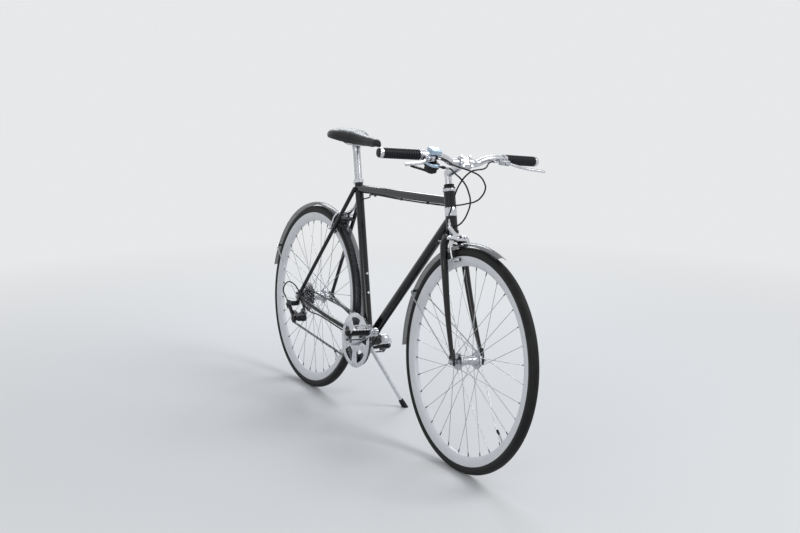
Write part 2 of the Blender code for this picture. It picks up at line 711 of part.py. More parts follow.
# Fork and steering parts
def make_fork():
    steerer = rod(steer(CROWN_UP), steer(HEAD_TUBE_HIGH + 0.0213), STEERER_RADIUS, sides=16)
    whole = fuse(steerer, rod(steer(CROWN_UP - CROWN_DEPTH), steer(HEAD_TUBE_LOW - 0.010 - GAP), 0.0165, sides=16))
    for hand in (LEFT, RIGHT):
        path = [
            steer(CROWN_UP + 0.002, 0.0, 0.004), steer(CROWN_UP - 0.001, 0.0, 0.020),
            steer(CROWN_UP - 0.013, 0.0, 0.0310), steer(CROWN_UP - 0.037, 0.0002, 0.0358),
            steer(CROWN_UP - 0.107, 0.0022, 0.0390), steer(CROWN_UP - 0.197, 0.0078, 0.0440),
            steer(0.090, 0.0176, 0.0490), steer(0.020, FORK_RAKE - 0.0015, 0.0528),
        ]
        spaced = smooth_path([(p.x, hand * p.y, p.z) for p in path], 10)
        radii = [0.0122 - 0.0058 * max(0.0, k - 2) / 7 for k in range(10)]
        blade = sweep(spaced, 0.0122, 1, radii)
        middle_y = FRONT_LOCKNUT + GAP + FRONT_DROPOUT / 2
        outline = [
            (0.011, 0.004), (0.008, 0.020), (0.000, 0.038), (-0.012, 0.036), (-0.009, 0.018), (-0.021, 0.014),
            (-0.021, 0.004), (-0.011, 0.000), (-0.011, -0.012), (0.011, -0.012),
        ]
        end = dropout_plate(
            FRONT_AXLE, hand * middle_y, FRONT_DROPOUT, outline, FRONT_AXLE_RADIUS + GAP, (0.0, -1.0)
        )
        whole = fuse(whole, blade)
        whole = fuse(whole, end)
    whole = fuse(whole, *caliper_carrier(front_caliper(), 0.014))
    whole = cut(whole, rod(steer(CROWN_UP + 0.012), steer(HEAD_TUBE_HIGH + 0.04), QUILL_RADIUS + GAP, sides=16))
    finish(whole, "fork", FRAME_PAINT, steer(0.0))


def make_stem():
    top = steer(HEAD_TUBE_HIGH + 0.0668)
    root = steer(HEAD_TUBE_HIGH + 0.0563)
    clamp = side(BAR_CENTRE)
    quill = rod(steer(HEAD_TUBE_HIGH - 0.0837), top, QUILL_RADIUS, sides=16)
    line = (clamp - root).normalized()
    extension = rod(root, clamp - line * 0.010, 0.0125, 0.0145, sides=14)
    bolt = rod(steer(HEAD_TUBE_HIGH + 0.0648), steer(HEAD_TUBE_HIGH + 0.0738), 0.0070, sides=10)
    stem = fuse(quill, extension, bolt)
    stem = fuse(stem, rod(clamp - ACROSS * 0.022, clamp + ACROSS * 0.022, 0.0195, sides=18))
    split = frame_of(clamp + line * 0.0255, line)
    stem = cut(stem, block((0.06, 0.06, 0.05), split))
    stem = cut(stem, rod(clamp - ACROSS * 0.03, clamp + ACROSS * 0.03, bore(BAR_CENTRE_RADIUS, 18), sides=18))
    finish(stem, "stem", POLISHED, steer(0.0))

    cap = rod(clamp - ACROSS * 0.022, clamp + ACROSS * 0.022, 0.0190, sides=18)
    cap = cut(cap, block((0.06, 0.06, 0.05), frame_of(clamp - line * 0.0235, line)))
    cap = cut(cap, block((0.0180, 0.06, 0.012), frame_of(clamp + line * 0.0215, line)))
    cap = cut(cap, rod(clamp - ACROSS * 0.03, clamp + ACROSS * 0.03, bore(BAR_CENTRE_RADIUS, 18), sides=18))
    up = line.cross(ACROSS)
    bolts = []
    for across in (-0.0155, 0.0155):
        for high in (-0.0158, 0.0158):
            foot = clamp + ACROSS * across + up * high + line * 0.0030
            bolts.append(rod(foot, foot + line * 0.0150, 0.0036, sides=6))
    finish(fuse(cap, gather(bolts)), "stem_faceplate", POLISHED, steer(0.0))


def bar_path():
    """Half of the bar: straight in the stem, a short rise, and straight again under controls and grip."""
    centre = Vector((BAR_CENTRE[0], 0.0, BAR_CENTRE[1]))
    end = by_bar(*BAR_END_OFFSET)
    outer = end + Vector((0.0230, -0.1865, 0.0022))
    rise = [centre + Vector((0.0, 0.046, 0.0)), centre.lerp(outer, 0.73) + Vector((0, 0, -0.001)), outer]
    return [centre, centre + Vector((0.0, 0.030, 0.0)), *rise, end]


def bar_at(y):
    """The bar's centre and direction, outwards, at a distance y to the left."""
    flip = Vector((1.0, LEFT if y >= 0 else RIGHT, 1.0))
    inner, end = bar_path()[-2:]
    share = (abs(y) - inner.y) / (end.y - inner.y)
    return inner.lerp(end, share) * flip, ((end - inner) * flip).normalized()


def make_handlebar():
    half = bar_path()
    path = [p * Vector((1.0, -1.0, 1.0)) for p in reversed(half[1:])] + half
    radii = [BAR_CENTRE_RADIUS if abs(p.y) < 0.040 else BAR_RADIUS for p in path]
    finish(sweep(path, BAR_RADIUS, 3, radii), "handlebar", SATIN, steer(0.0))
    for hand, name in ((LEFT, "grip_left"), (RIGHT, "grip_right")):
        end = by_bar(*BAR_END_OFFSET) * Vector((1.0, hand, 1.0))
        inner, direction = bar_at(hand * (end.y * hand - GRIP_LENGTH))
        axis = (end - inner).normalized()
        inside = bore(BAR_RADIUS, 10)
        length = (end - inner).length
        ribs = 3
        rib = (length - 0.016) / ribs
        profile = [(inside, length + GAP), (0.0, length + GAP), (0.0, length + 0.0055)]
        profile += [(0.0140, length + 0.0045), (GRIP_RADIUS, length - 0.006)]
        for k in range(ribs):
            start = length - 0.008 - k * rib
            profile += [(GRIP_RADIUS, start), (GRIP_RADIUS - 0.0010, start - 0.0012)]
        profile += [(GRIP_RADIUS - 0.0010, 0.0), (inside, 0.0)]
        finish(turned(profile, 10, frame_of(inner, axis)), name, GRIP_RUBBER, steer(0.0))


LEVER_PLANE_FORWARD = Vector((0.952, 0.0, -0.307)).normalized()


def lever_frame(hand):
    """X outward along the bar, Y from the bar towards the lever, Z the lever's pivot axis."""
    centre, direction = bar_at(hand * CONTROL_Y)
    out = Vector((0.0, hand, 0.0))
    normal = out.cross(LEVER_PLANE_FORWARD)
    return frame_of(centre, normal, out)


LEVER_PIVOT = (-0.004, 0.0270)


def make_brake_lever(hand, name):
    matrix = lever_frame(hand)
    centre, direction = bar_at(hand * CONTROL_Y)
    clamp = turned(
        [(bore(BAR_RADIUS, 12), -0.006), (0.0160, -0.006), (0.0160, 0.006), (bore(BAR_RADIUS, 12), 0.006)],
        12, frame_of(centre, direction),
    )
    body_outline = [
        (-0.0060, 0.0125), (0.0060, 0.0125), (0.0075, 0.0200), (0.0060, 0.0330), (-0.0040, 0.0365),
        (-0.0120, 0.0330), (-0.0280, 0.0290), (-0.0290, 0.0210), (-0.0120, 0.0200),
    ]
    body = plate([body_outline], 0.0150, matrix)
    slot = block((0.050, 0.0300, 0.0076), matrix @ Matrix.Translation((0.0120, 0.0290, 0.0)))
    body = cut(body, slot)
    pin = rod(matrix @ Vector((*LEVER_PIVOT, -0.006)), matrix @ Vector((*LEVER_PIVOT, 0.006)), 0.0022, sides=8)
    barrel = rod(
        matrix @ Vector((-0.0250, 0.0250, 0.0)), matrix @ Vector((-0.0400, 0.0250, 0.0)), 0.0042, 0.0036, sides=8
    )
    finish(fuse(clamp, body, pin, barrel), "lever_bracket_" + name, SATIN, steer(0.0))

    blade = [
        (-0.0095, 0.0320), (-0.0105, 0.0245), (-0.0055, 0.0205), (0.0020, 0.0225), (0.0100, 0.0320),
        (0.0220, 0.0455), (0.0420, 0.0590), (0.0700, 0.0690), (0.0920, 0.0735), (0.1050, 0.0795),
        (0.1065, 0.0850), (0.1020, 0.0875), (0.0900, 0.0825), (0.0640, 0.0785), (0.0360, 0.0680),
        (0.0140, 0.0500), (0.0020, 0.0355), (-0.0040, 0.0345),
    ]
    lever = plate([blade, ring_points(0.0025, 8, LEVER_PIVOT)], 0.0068, matrix)
    finish(lever, "brake_lever_" + name, POLISHED, matrix @ Vector((*LEVER_PIVOT, 0.0)))


SHIFTER_Y = -0.112


def shifter_frame():
    """X towards the stem, Y forward, Z down from the bar."""
    return frame_of(bar_at(SHIFTER_Y)[0], ACROSS.cross(LEVER_PLANE_FORWARD), ACROSS)


SHIFTER_BARREL = Vector((0.034, 0.030, 0.0255))
SHIFTER_BARREL_LINE = Vector((0.95, 0.31, 0.0)).normalized()


def make_shifter():
    matrix = shifter_frame()
    clamp = turned(
        [(bore(BAR_RADIUS, 12), -0.008), (0.0165, -0.008), (0.0165, 0.008), (bore(BAR_RADIUS, 12), 0.008)],
        12, frame_of(*bar_at(SHIFTER_Y)),
    )
    outline = [
        (0.020, -0.006), (0.016, 0.014), (0.014, 0.026), (0.000, 0.032), (-0.014, 0.026), (-0.021, 0.008),
        (-0.020, -0.012), (-0.008, -0.022), (0.010, -0.020),
    ]
    body = plate([outline], 0.018, matrix @ Matrix.Translation((0.0, 0.0, 0.0255)))
    base = plate([[(x * 0.8, y * 0.8) for x, y in outline]], 0.014, matrix @ Matrix.Translation((0.0, 0.002, 0.0405)))
    neck = block((0.018, 0.020, 0.008), matrix @ Matrix.Translation((0.0, 0.004, 0.0155)))
    cover = plate(
        [[(-0.016, -0.010), (-0.014, 0.010), (0.014, 0.012), (0.017, -0.008)]], 0.006,
        matrix @ Matrix.Translation((0.0, 0.000, -0.0180)),
    )
    barrel = rod(
        matrix @ (SHIFTER_BARREL - SHIFTER_BARREL_LINE * 0.028), matrix @ SHIFTER_BARREL, 0.0046, 0.0040, sides=8
    )
    finish(fuse(clamp, neck, body, base, cover, barrel), "shifter_body", BLACK_PLASTIC, steer(0.0))
    paddle = [
        (0.012, 0.006), (0.012, -0.006), (0.004, -0.016), (-0.014, -0.030), (-0.030, -0.042), (-0.040, -0.046),
        (-0.047, -0.040), (-0.044, -0.032), (-0.028, -0.018), (-0.012, -0.002), (-0.006, 0.010), (0.004, 0.013),
    ]
    low = matrix @ Matrix.Translation((0.0, 0.002, 0.0475 + GAP + 0.0030))
    finish(plate([paddle], 0.006, low), "shifter_paddle", BLACK_PLASTIC, low @ Vector((0.0, 0.0, 0.0)))


# Wheels
def make_tire(centre, name):
    tube_centre = (WHEEL_RADIUS - TIRE_RADIUS) * FLAT_SCALE
    bead = RIM_HALF_WIDTH - RIM_WALL - GAP
    edge = RIM_EDGE * FLAT_SCALE
    low, high = edge + GAP, edge - 0.0035

    def arc(radius, angles):
        return [
            (tube_centre + radius * math.cos(math.radians(a)), -radius * math.sin(math.radians(a))) for a in angles
        ]

    outer = arc(TIRE_RADIUS, (-98, -50, 0, 50, 98))
    inner = arc(TIRE_RADIUS - TIRE_WALL, (55, -55))
    profile = [(high, bead), (low, bead), *outer, (low, -bead), (high, -bead)]
    profile += [(high, 0.0022 - bead), *inner, (high, bead - 0.0022)]
    turn_half = Matrix.Rotation(math.pi / WHEEL_STEPS, 4, "Z")
    finish(turned(profile, WHEEL_STEPS, lateral(centre) @ turn_half), name, RUBBER, side(centre))


def make_rim(centre, name):
    edge = RIM_EDGE * FLAT_SCALE
    tip = edge - RIM_DEPTH
    half, wall = RIM_HALF_WIDTH, RIM_WALL
    profile = [
        (edge, half), (edge - 0.014, half), (tip, 0.0035), (tip, -0.0035), (edge - 0.014, -half), (edge, -half),
        (edge, wall - half), (edge - 0.014, wall - half), (edge - 0.014, half - wall), (edge, half - wall),
    ]
    turn_half = Matrix.Rotation(math.pi / WHEEL_STEPS, 4, "Z")
    finish(turned(profile, WHEEL_STEPS, lateral(centre) @ turn_half), name, RIM_PAINT, side(centre))


def make_hub(centre, name, left_flange, right_flange, profile, bore_radius):
    """A hub shell with its spokes: each flange carries half, leading and trailing in turn."""
    whole = turned(profile, 12, lateral(centre))
    facet = math.tau / WHEEL_STEPS
    end_radius = RIM_EDGE - RIM_DEPTH / FLAT_SCALE - GAP
    per_flange = SPOKES // 2
    spread = math.tau * SPOKE_CROSSINGS / per_flange
    spokes = []
    for k in range(SPOKES):
        on_left = k % 2 == 0
        pair = (k // 2) % 2
        lead = 1 if pair else -1
        rim_turn = math.tau * k / SPOKES
        hub_turn = rim_turn - lead * spread
        flange = left_flange if on_left else right_flange
        hub_y = flange + lead * 0.0019
        rim_y = (0.0012 if on_left else -0.0012) + lead * 0.0006
        off_facet = (rim_turn + facet / 2) % facet - facet / 2
        start = round_wheel(centre, SPOKE_CIRCLE, math.degrees(hub_turn), hub_y)
        end = round_wheel(centre, end_radius / math.cos(off_facet), math.degrees(rim_turn), rim_y)
        spokes.append(rod(start, end, SPOKE_RADIUS, sides=3))
    whole = fuse(whole, gather(spokes))
    whole = cut(whole, rod(side(centre, -0.07), side(centre, 0.07), bore_radius, sides=10))
    finish(whole, name, STEEL, side(centre))


def make_wheels():
    for centre, prefix in ((FRONT_AXLE, "front"), (REAR_AXLE, "rear")):
        make_tire(centre, prefix + "_tire")
        make_rim(centre, prefix + "_rim")
    f, t = FLANGE_RADIUS, FLANGE_HALF_THICKNESS
    front = 0.0340
    profile = [
        (0.0, 0.0385), (0.0110, 0.0385), (0.0130, front + t), (f, front + t), (f, front - t), (0.0150, front - t),
        (0.0125, 0.0), (0.0150, t - front), (f, t - front), (f, -front - t), (0.0130, -front - t),
        (0.0110, -0.0385), (0.0, -0.0385),
    ]
    make_hub(FRONT_AXLE, "front_hub", front, -front, profile, bore(FRONT_AXLE_RADIUS, 10))
    left, right = 0.0345, -0.0215
    profile = [
        (0.0, 0.0400), (0.0130, 0.0400), (0.0150, left + t), (f, left + t), (f, left - t), (0.0180, left - t),
        (0.0160, 0.006), (0.0185, right + t), (f, right + t), (f, right - t), (0.0150, right - t),
        (0.0150, HUB_RIGHT_END), (0.0, HUB_RIGHT_END),
    ]
    make_hub(REAR_AXLE, "rear_hub", left, right, profile, bore(REAR_AXLE_RADIUS, 10))


def make_axle(centre, name, radius, cones, locknut, dropout, nut_length):
    """An axle with its cones, locknuts and the nuts outside the frame ends."""
    outer = locknut + 2 * GAP + dropout
    left_cone, right_cone = cones
    end = outer + nut_length
    profile = [
        (0.0, end + 0.003), (radius, end + 0.003), (radius, end), (0.0085, end), (0.0085, outer), (radius, outer),
        (radius, locknut), (0.0090, locknut), (0.0090, left_cone), (radius, left_cone), (radius, -right_cone),
        (0.0090, -right_cone), (0.0090, -locknut), (radius, -locknut), (radius, -outer), (0.0085, -outer),
        (0.0085, -end), (radius, -end), (radius, -end - 0.003), (0.0, -end - 0.003),
    ]
    finish(turned(profile, 6, lateral(centre)), name, STEEL, side(centre))


# Drive
def pitch_radius(teeth):
    return CHAIN_PITCH * teeth / math.tau


def tooth_outline(teeth, phase):
    """A sprocket's outline: phase is the angle of a gap, where a chain pin lies."""
    radius = pitch_radius(teeth)
    outline = []
    for k in range(teeth):
        turn = phase + math.tau * k / teeth
        half = math.pi / teeth
        outline.append(((radius - TOOTH_DEPTH) * math.cos(turn), (radius - TOOTH_DEPTH) * math.sin(turn)))
        outline.append(((radius + TOOTH_HEIGHT) * math.cos(turn + half), (radius + TOOTH_HEIGHT) * math.sin(turn + half)))
    return outline


def tangent(centre_a, radius_a, turn_a, centre_b, radius_b, turn_b):
    """The angles at which a chain leaves circle a and reaches b. turn is 1 where it runs anticlockwise."""
    dx, dz = centre_b[0] - centre_a[0], centre_b[1] - centre_a[1]
    distance = math.hypot(dx, dz)
    base = math.atan2(dz, dx)
    lean = math.asin((turn_a * radius_a - turn_b * radius_b) / distance)
    heading = base + lean
    return heading - turn_a * math.pi / 2, heading - turn_b * math.pi / 2


def chain_course(cage_turn):
    """The chain's arcs as (centre, radius, turn, start, sweep) with the straight run after each, seen from the right."""
    cage = (
        GUIDE_JOCKEY[0] + JOCKEY_SPACING * math.cos(cage_turn), GUIDE_JOCKEY[1] + JOCKEY_SPACING * math.sin(cage_turn)
    )
    small = pitch_radius(JOCKEY_TEETH)
    wheels = [
        (BRACKET, pitch_radius(RING_TEETH), 1),
        (REAR_AXLE, pitch_radius(SPROCKET_TEETH[CHAINED_SPROCKET]), 1),
        (GUIDE_JOCKEY, small, -1),
        (cage, small, 1),
    ]
    links = [tangent(*wheels[k], *wheels[(k + 1) % 4]) for k in range(4)]
    course = []
    length = 0.0
    for k, (centre, radius, turn) in enumerate(wheels):
        start = links[k - 1][1]
        end = links[k][0]
        swept = (turn * (end - start)) % math.tau
        following = wheels[(k + 1) % 4]
        run_start = (centre[0] + radius * math.cos(end), centre[1] + radius * math.sin(end))
        reach = links[k][1]
        run_end = (
            following[0][0] + following[1] * math.cos(reach), following[0][1] + following[1] * math.sin(reach)
        )
        run = math.hypot(run_end[0] - run_start[0], run_end[1] - run_start[1])
        course.append((centre, radius, turn, start, swept, length, run_start, run_end, run))
        length += radius * swept + run
    return course, length, cage


def fitted_chain():
    """Swings the cage until the chain is a whole, even number of links long."""
    low, high = math.radians(180.0), math.radians(228.0)
    wanted = 2 * round(chain_course(math.radians(203.7))[1] / CHAIN_PITCH / 2) * CHAIN_PITCH
    rising = chain_course(high)[1] > chain_course(low)[1]
    for _ in range(50):
        middle = (low + high) / 2
        if (chain_course(middle)[1] < wanted) == rising:
            low = middle
        else:
            high = middle
    return chain_course((low + high) / 2)


COURSE, CHAIN_LENGTH, TENSION_JOCKEY = fitted_chain()
LINKS = round(CHAIN_LENGTH / CHAIN_PITCH)


def course_point(distance, offset=0.0):
    """A point of the chain's line, moved outwards of the loop by offset."""
    for centre, radius, turn, start, swept, begun, run_start, run_end, run in COURSE:
        if distance <= begun + radius * swept:
            angle = start + turn * (distance - begun) / radius
            reach = radius + turn * offset
            return (centre[0] + reach * math.cos(angle), centre[1] + reach * math.sin(angle))
        if distance <= begun + radius * swept + run:
            share = (distance - begun - radius * swept) / run
            dx, dz = (run_end[0] - run_start[0]) / run, (run_end[1] - run_start[1]) / run
            return (
                run_start[0] + (run_end[0] - run_start[0]) * share + dz * offset,
                run_start[1] + (run_end[1] - run_start[1]) * share - dx * offset,
            )
    return course_point(distance - CHAIN_LENGTH, offset)


def gap_phase(index):
    """The angle at which a chain pin lies on one wheel of the course."""
    centre, radius, turn, start, swept, begun = COURSE[index][:6]
    first = math.ceil(begun / CHAIN_PITCH) * CHAIN_PITCH
    return start + turn * (first - begun) / radius


def make_chain():
    bands = []
    stations = []
    for centre, radius, turn, start, swept, begun, run_start, run_end, run in COURSE:
        steps = max(3, math.ceil(radius * swept / CHAIN_PITCH / 1.5))
        stations += [begun + radius * swept * k / steps for k in range(steps + 1)]
    outer = [course_point(s, CHAIN_HALF_HEIGHT) for s in stations]
    inner = [course_point(s, -CHAIN_HALF_HEIGHT) for s in stations]
    for hand in (LEFT, RIGHT):
        y = CHAINLINE + hand * (CHAIN_HALF_WIDTH - CHAIN_PLATE / 2)
        bands.append(plate([outer, inner], CHAIN_PLATE, upright((0.0, 0.0), y)))
    pins = []
    half = CHAIN_HALF_WIDTH - CHAIN_PLATE / 2
    for k in range(LINKS):
        place = course_point(k * CHAIN_PITCH + 1e-9)
        pins.append(rod(side(place, CHAINLINE - half), side(place, CHAINLINE + half), CHAIN_PIN, sides=3))
    finish(fuse(gather(bands), gather(pins)), "chain", DARK_STEEL)


def sprocket(teeth, phase, y, centre, inside):
    return plate(
        [tooth_outline(teeth, phase), ring_points(inside, 12)], 2 * SPROCKET_HALF_THICKNESS, upright(centre, y)
    )


def make_cassette():
    inside = bore(REAR_AXLE_RADIUS, 12)
    low = CHAINLINE - CHAINED_SPROCKET * SPROCKET_SPACING
    high = CHAINLINE + (len(SPROCKET_TEETH) - 1 - CHAINED_SPROCKET) * SPROCKET_SPACING
    thick = SPROCKET_HALF_THICKNESS
    freehub = FREEHUB_RADIUS
    core = turned(
        [
            (inside, HUB_RIGHT_END - GAP), (freehub, HUB_RIGHT_END - GAP), (freehub, high + thick),
            (0.0200, high + thick), (0.0200, low - thick), (freehub, low - thick), (freehub, -0.0595),
            (inside, -0.0595),
        ],
        12, lateral(REAR_AXLE),
    )
    rings = []
    for index, teeth in enumerate(SPROCKET_TEETH):
        phase = gap_phase(1) if index == CHAINED_SPROCKET else 0.1 * index
        y = CHAINLINE + (index - CHAINED_SPROCKET) * SPROCKET_SPACING
        rings.append(sprocket(teeth, phase, y, REAR_AXLE, freehub + 0.0019))
    finish(fuse(core, gather(rings)), "cassette", STEEL, side(REAR_AXLE))


def crank_frame(hand):
    """X along the crank from the bottom bracket to the pedal, Z outwards from the frame."""
    direction = Vector((math.cos(CRANK_ANGLE), 0.0, math.sin(CRANK_ANGLE))) * (1 if hand == RIGHT else -1)
    return frame_of(side(BRACKET), Vector((0.0, hand, 0.0)), direction)


def spider_arms(matrix):
    arms = []
    for k in range(5):
        turn = math.tau * k / 5 + math.pi / 5
        line = Vector((math.cos(turn), math.sin(turn), 0.0))
        start, end = line * 0.012, line * (BOLT_CIRCLE + 0.007)
        place = matrix @ Matrix.Translation((start + end) / 2 + Vector((0, 0, 0.04915)))
        arms.append(block(((end - start).length, 0.016, 0.0087), place @ Matrix.Rotation(turn, 4, "Z")))
    return arms


def crank_arm(hand):
    matrix = crank_frame(hand)
    low, high = CRANK_INNER, CRANK_INNER + CRANK_THICKNESS
    boss = turned(
        [(0.0, 0.0445), (0.0150, 0.0445), (0.0175, low), (0.0175, high + 0.001), (0.0130, high + 0.0035),
         (0.0, high + 0.0035)],
        12, matrix,
    )
    reach = CRANK_LENGTH - 0.005
    half = [(0.0, 0.0160), (0.35 * CRANK_LENGTH, 0.0125), (reach, 0.0105)]
    shape = half + [(x, -y) for x, y in reversed(half)]
    lean = math.atan2(PEDAL_EYE_OFFSET, CRANK_LENGTH)
    place = matrix @ Matrix.Translation((0, 0, (low + high) / 2)) @ Matrix.Rotation(-lean, 4, "Y")
    bar = plate([shape], CRANK_THICKNESS, place)
    eye_low, eye_high = low + PEDAL_EYE_OFFSET - 0.0010, high + PEDAL_EYE_OFFSET
    eye = turned(
        [(0.0, eye_low), (0.0130, eye_low), (0.0140, eye_low + 0.002), (0.0140, eye_high - 0.002),
         (0.0120, eye_high), (0.0, eye_high)],
        10, matrix @ Matrix.Translation((CRANK_LENGTH, 0, 0)),
    )
    spindle = rod(
        matrix @ Vector((CRANK_LENGTH, 0, eye_high - 0.003)), matrix @ Vector((CRANK_LENGTH, 0, PEDAL_OUTER - 0.010)),
        0.0045, sides=8,
    )
    collar = rod(
        matrix @ Vector((CRANK_LENGTH, 0, eye_high - 0.003)), matrix @ Vector((CRANK_LENGTH, 0, eye_high + 0.006)),
        0.0075, sides=8,
    )
    arm = fuse(boss, bar, eye, spindle, collar)
    return cut(arm, rod(matrix @ Vector((0, 0, 0.040)), matrix @ Vector((0, 0, high - 0.002)), 0.0066, sides=12))


def make_cranks():
    right = crank_frame(RIGHT)
    whole = fuse(crank_arm(RIGHT), *spider_arms(right))
    finish(whole, "crank_right", POLISHED, side(BRACKET))
    finish(crank_arm(LEFT), "crank_left", POLISHED, side(BRACKET))

    radius = pitch_radius(RING_TEETH)
    ring = plate(
        [tooth_outline(RING_TEETH, gap_phase(0)), ring_points(BOLT_CIRCLE - 0.006, 20)],
        0.0020, upright(BRACKET, CHAINLINE),
    )
    finish(ring, "chainring", SATIN, side(BRACKET))

    inner = right @ Matrix.Translation((0, 0, 0.0553))
    outlines = [ring_points(GUARD_RADIUS, 36), ring_points(0.0200, 12)]
    for k in range(5):
        middle = math.tau * k / 5
        spread = math.radians(23.0)
        kidney = []
        for step in range(5):
            turn = middle - spread + 2 * spread * step / 4
            kidney.append((0.0790 * math.cos(turn), 0.0790 * math.sin(turn)))
        for step in range(3):
            turn = middle + spread * 0.72 - 2 * spread * 0.72 * step / 2
            kidney.append((0.0400 * math.cos(turn), 0.0400 * math.sin(turn)))
        outlines.append(kidney)
    guard = plate(outlines, 0.0030, inner)
    bolts = []
    for k in range(5):
        turn = math.tau * k / 5 + math.pi / 5
        x, y = BOLT_CIRCLE * math.cos(turn), BOLT_CIRCLE * math.sin(turn)
        bolts.append(rod(inner @ Vector((x, y, 0.0)), inner @ Vector((x, y, 0.0032)), 0.0055, sides=6))
    finish(fuse(guard, gather(bolts)), "chainring_guard", POLISHED, side(BRACKET))

    axle = [
        (0.0, 0.0640), (0.0063, 0.0640), (0.0063, 0.0440), (AXLE_RADIUS, 0.0400), (AXLE_RADIUS, -0.0400),
        (0.0063, -0.0440), (0.0063, -0.0640), (0.0, -0.0640),
    ]
    finish(turned(axle, 12, lateral(BRACKET)), "crank_axle", STEEL, side(BRACKET))


def make_pedal(hand, name):
    matrix = crank_frame(hand) @ Matrix.Translation((CRANK_LENGTH, 0, 0))
    level = matrix @ Matrix.Rotation(-CRANK_ANGLE if hand == LEFT else CRANK_ANGLE, 4, "Z")
    middle = (PEDAL_INNER + PEDAL_OUTER) / 2
    width = PEDAL_OUTER - PEDAL_INNER
    barrel = turned(
        [(0.0, PEDAL_INNER - 0.004), (0.0090, PEDAL_INNER - 0.004), (0.0120, PEDAL_INNER + 0.002),
         (0.0100, middle), (0.0115, PEDAL_OUTER - 0.004), (0.0115, PEDAL_OUTER + 0.003),
         (0.0070, PEDAL_OUTER + 0.009), (0.0, PEDAL_OUTER + 0.010)],
        12, level,
    )
    plates = []
    for end in (-1, 1):
        place = level @ Matrix.Translation((end * PEDAL_HALF_LENGTH, 0, middle))
        plates.append(block((0.0030, 0.0230, width), place))
    ends = []
    for y in (PEDAL_INNER + 0.0015, PEDAL_OUTER - 0.0015):
        place = level @ Matrix.Translation((0, 0, y))
        ends.append(block((2 * PEDAL_HALF_LENGTH + 0.001, 0.0160, 0.0030), place))
    pedal = fuse(barrel, *ends)
    pedal = fuse(pedal, *plates)
    axle_room = rod(level @ Vector((0, 0, PEDAL_INNER - 0.01)), level @ Vector((0, 0, PEDAL_OUTER - 0.008)), 0.0048, sides=10)
    finish(cut(pedal, axle_room), name, SATIN, level @ Vector((0, 0, middle)))


# Derailleur
HANGER = (-0.008, WHEEL_RADIUS - 0.027)
LINK_TOP = Vector((-0.0330, -0.0905, WHEEL_RADIUS - 0.040))
LINK_LINE = Vector((0.0430, 0.0, -0.0360))
LINK_WIDTH = 0.0146
KNUCKLE_AXIS = (0.0290, WHEEL_RADIUS - 0.078)
CAGE_Y = (-0.0500, -0.0370)


def link_axis():
    """The direction of both link pins, across the link, so that it swings the cage in and out."""
    return LINK_LINE.cross(ACROSS).normalized()


def clevis(place, direction):
    """Two ears joined behind a link pin, and the cutter that leaves room for the link."""
    axis = link_axis()
    ears = rod(place - axis * 0.0118, place + axis * 0.0118, 0.0062, sides=10)
    back = block((0.0110, 0.0236, 0.0160), frame_of(place + direction * 0.0085, direction, ACROSS))
    room = rod(place - axis * (LINK_WIDTH / 2 + GAP), place + axis * (LINK_WIDTH / 2 + GAP), 0.0085, sides=12)
    return cut(fuse(ears, back), room)


def hull(circles, steps=10):
    """The outline round several circles, given as (centre, radius)."""
    points = sorted(p for centre, radius in circles for p in ring_points(radius, steps, centre, 0.1))
    halves = []
    for ordered in (points, points[::-1]):
        half = []
        for p in ordered:
            while len(half) > 1 and (
                (half[-1][0] - half[-2][0]) * (p[1] - half[-2][1])
                - (half[-1][1] - half[-2][1]) * (p[0] - half[-2][0])
            ) <= 1e-9:
                half.pop()
            half.append(p)
        halves += half[:-1]
    return halves


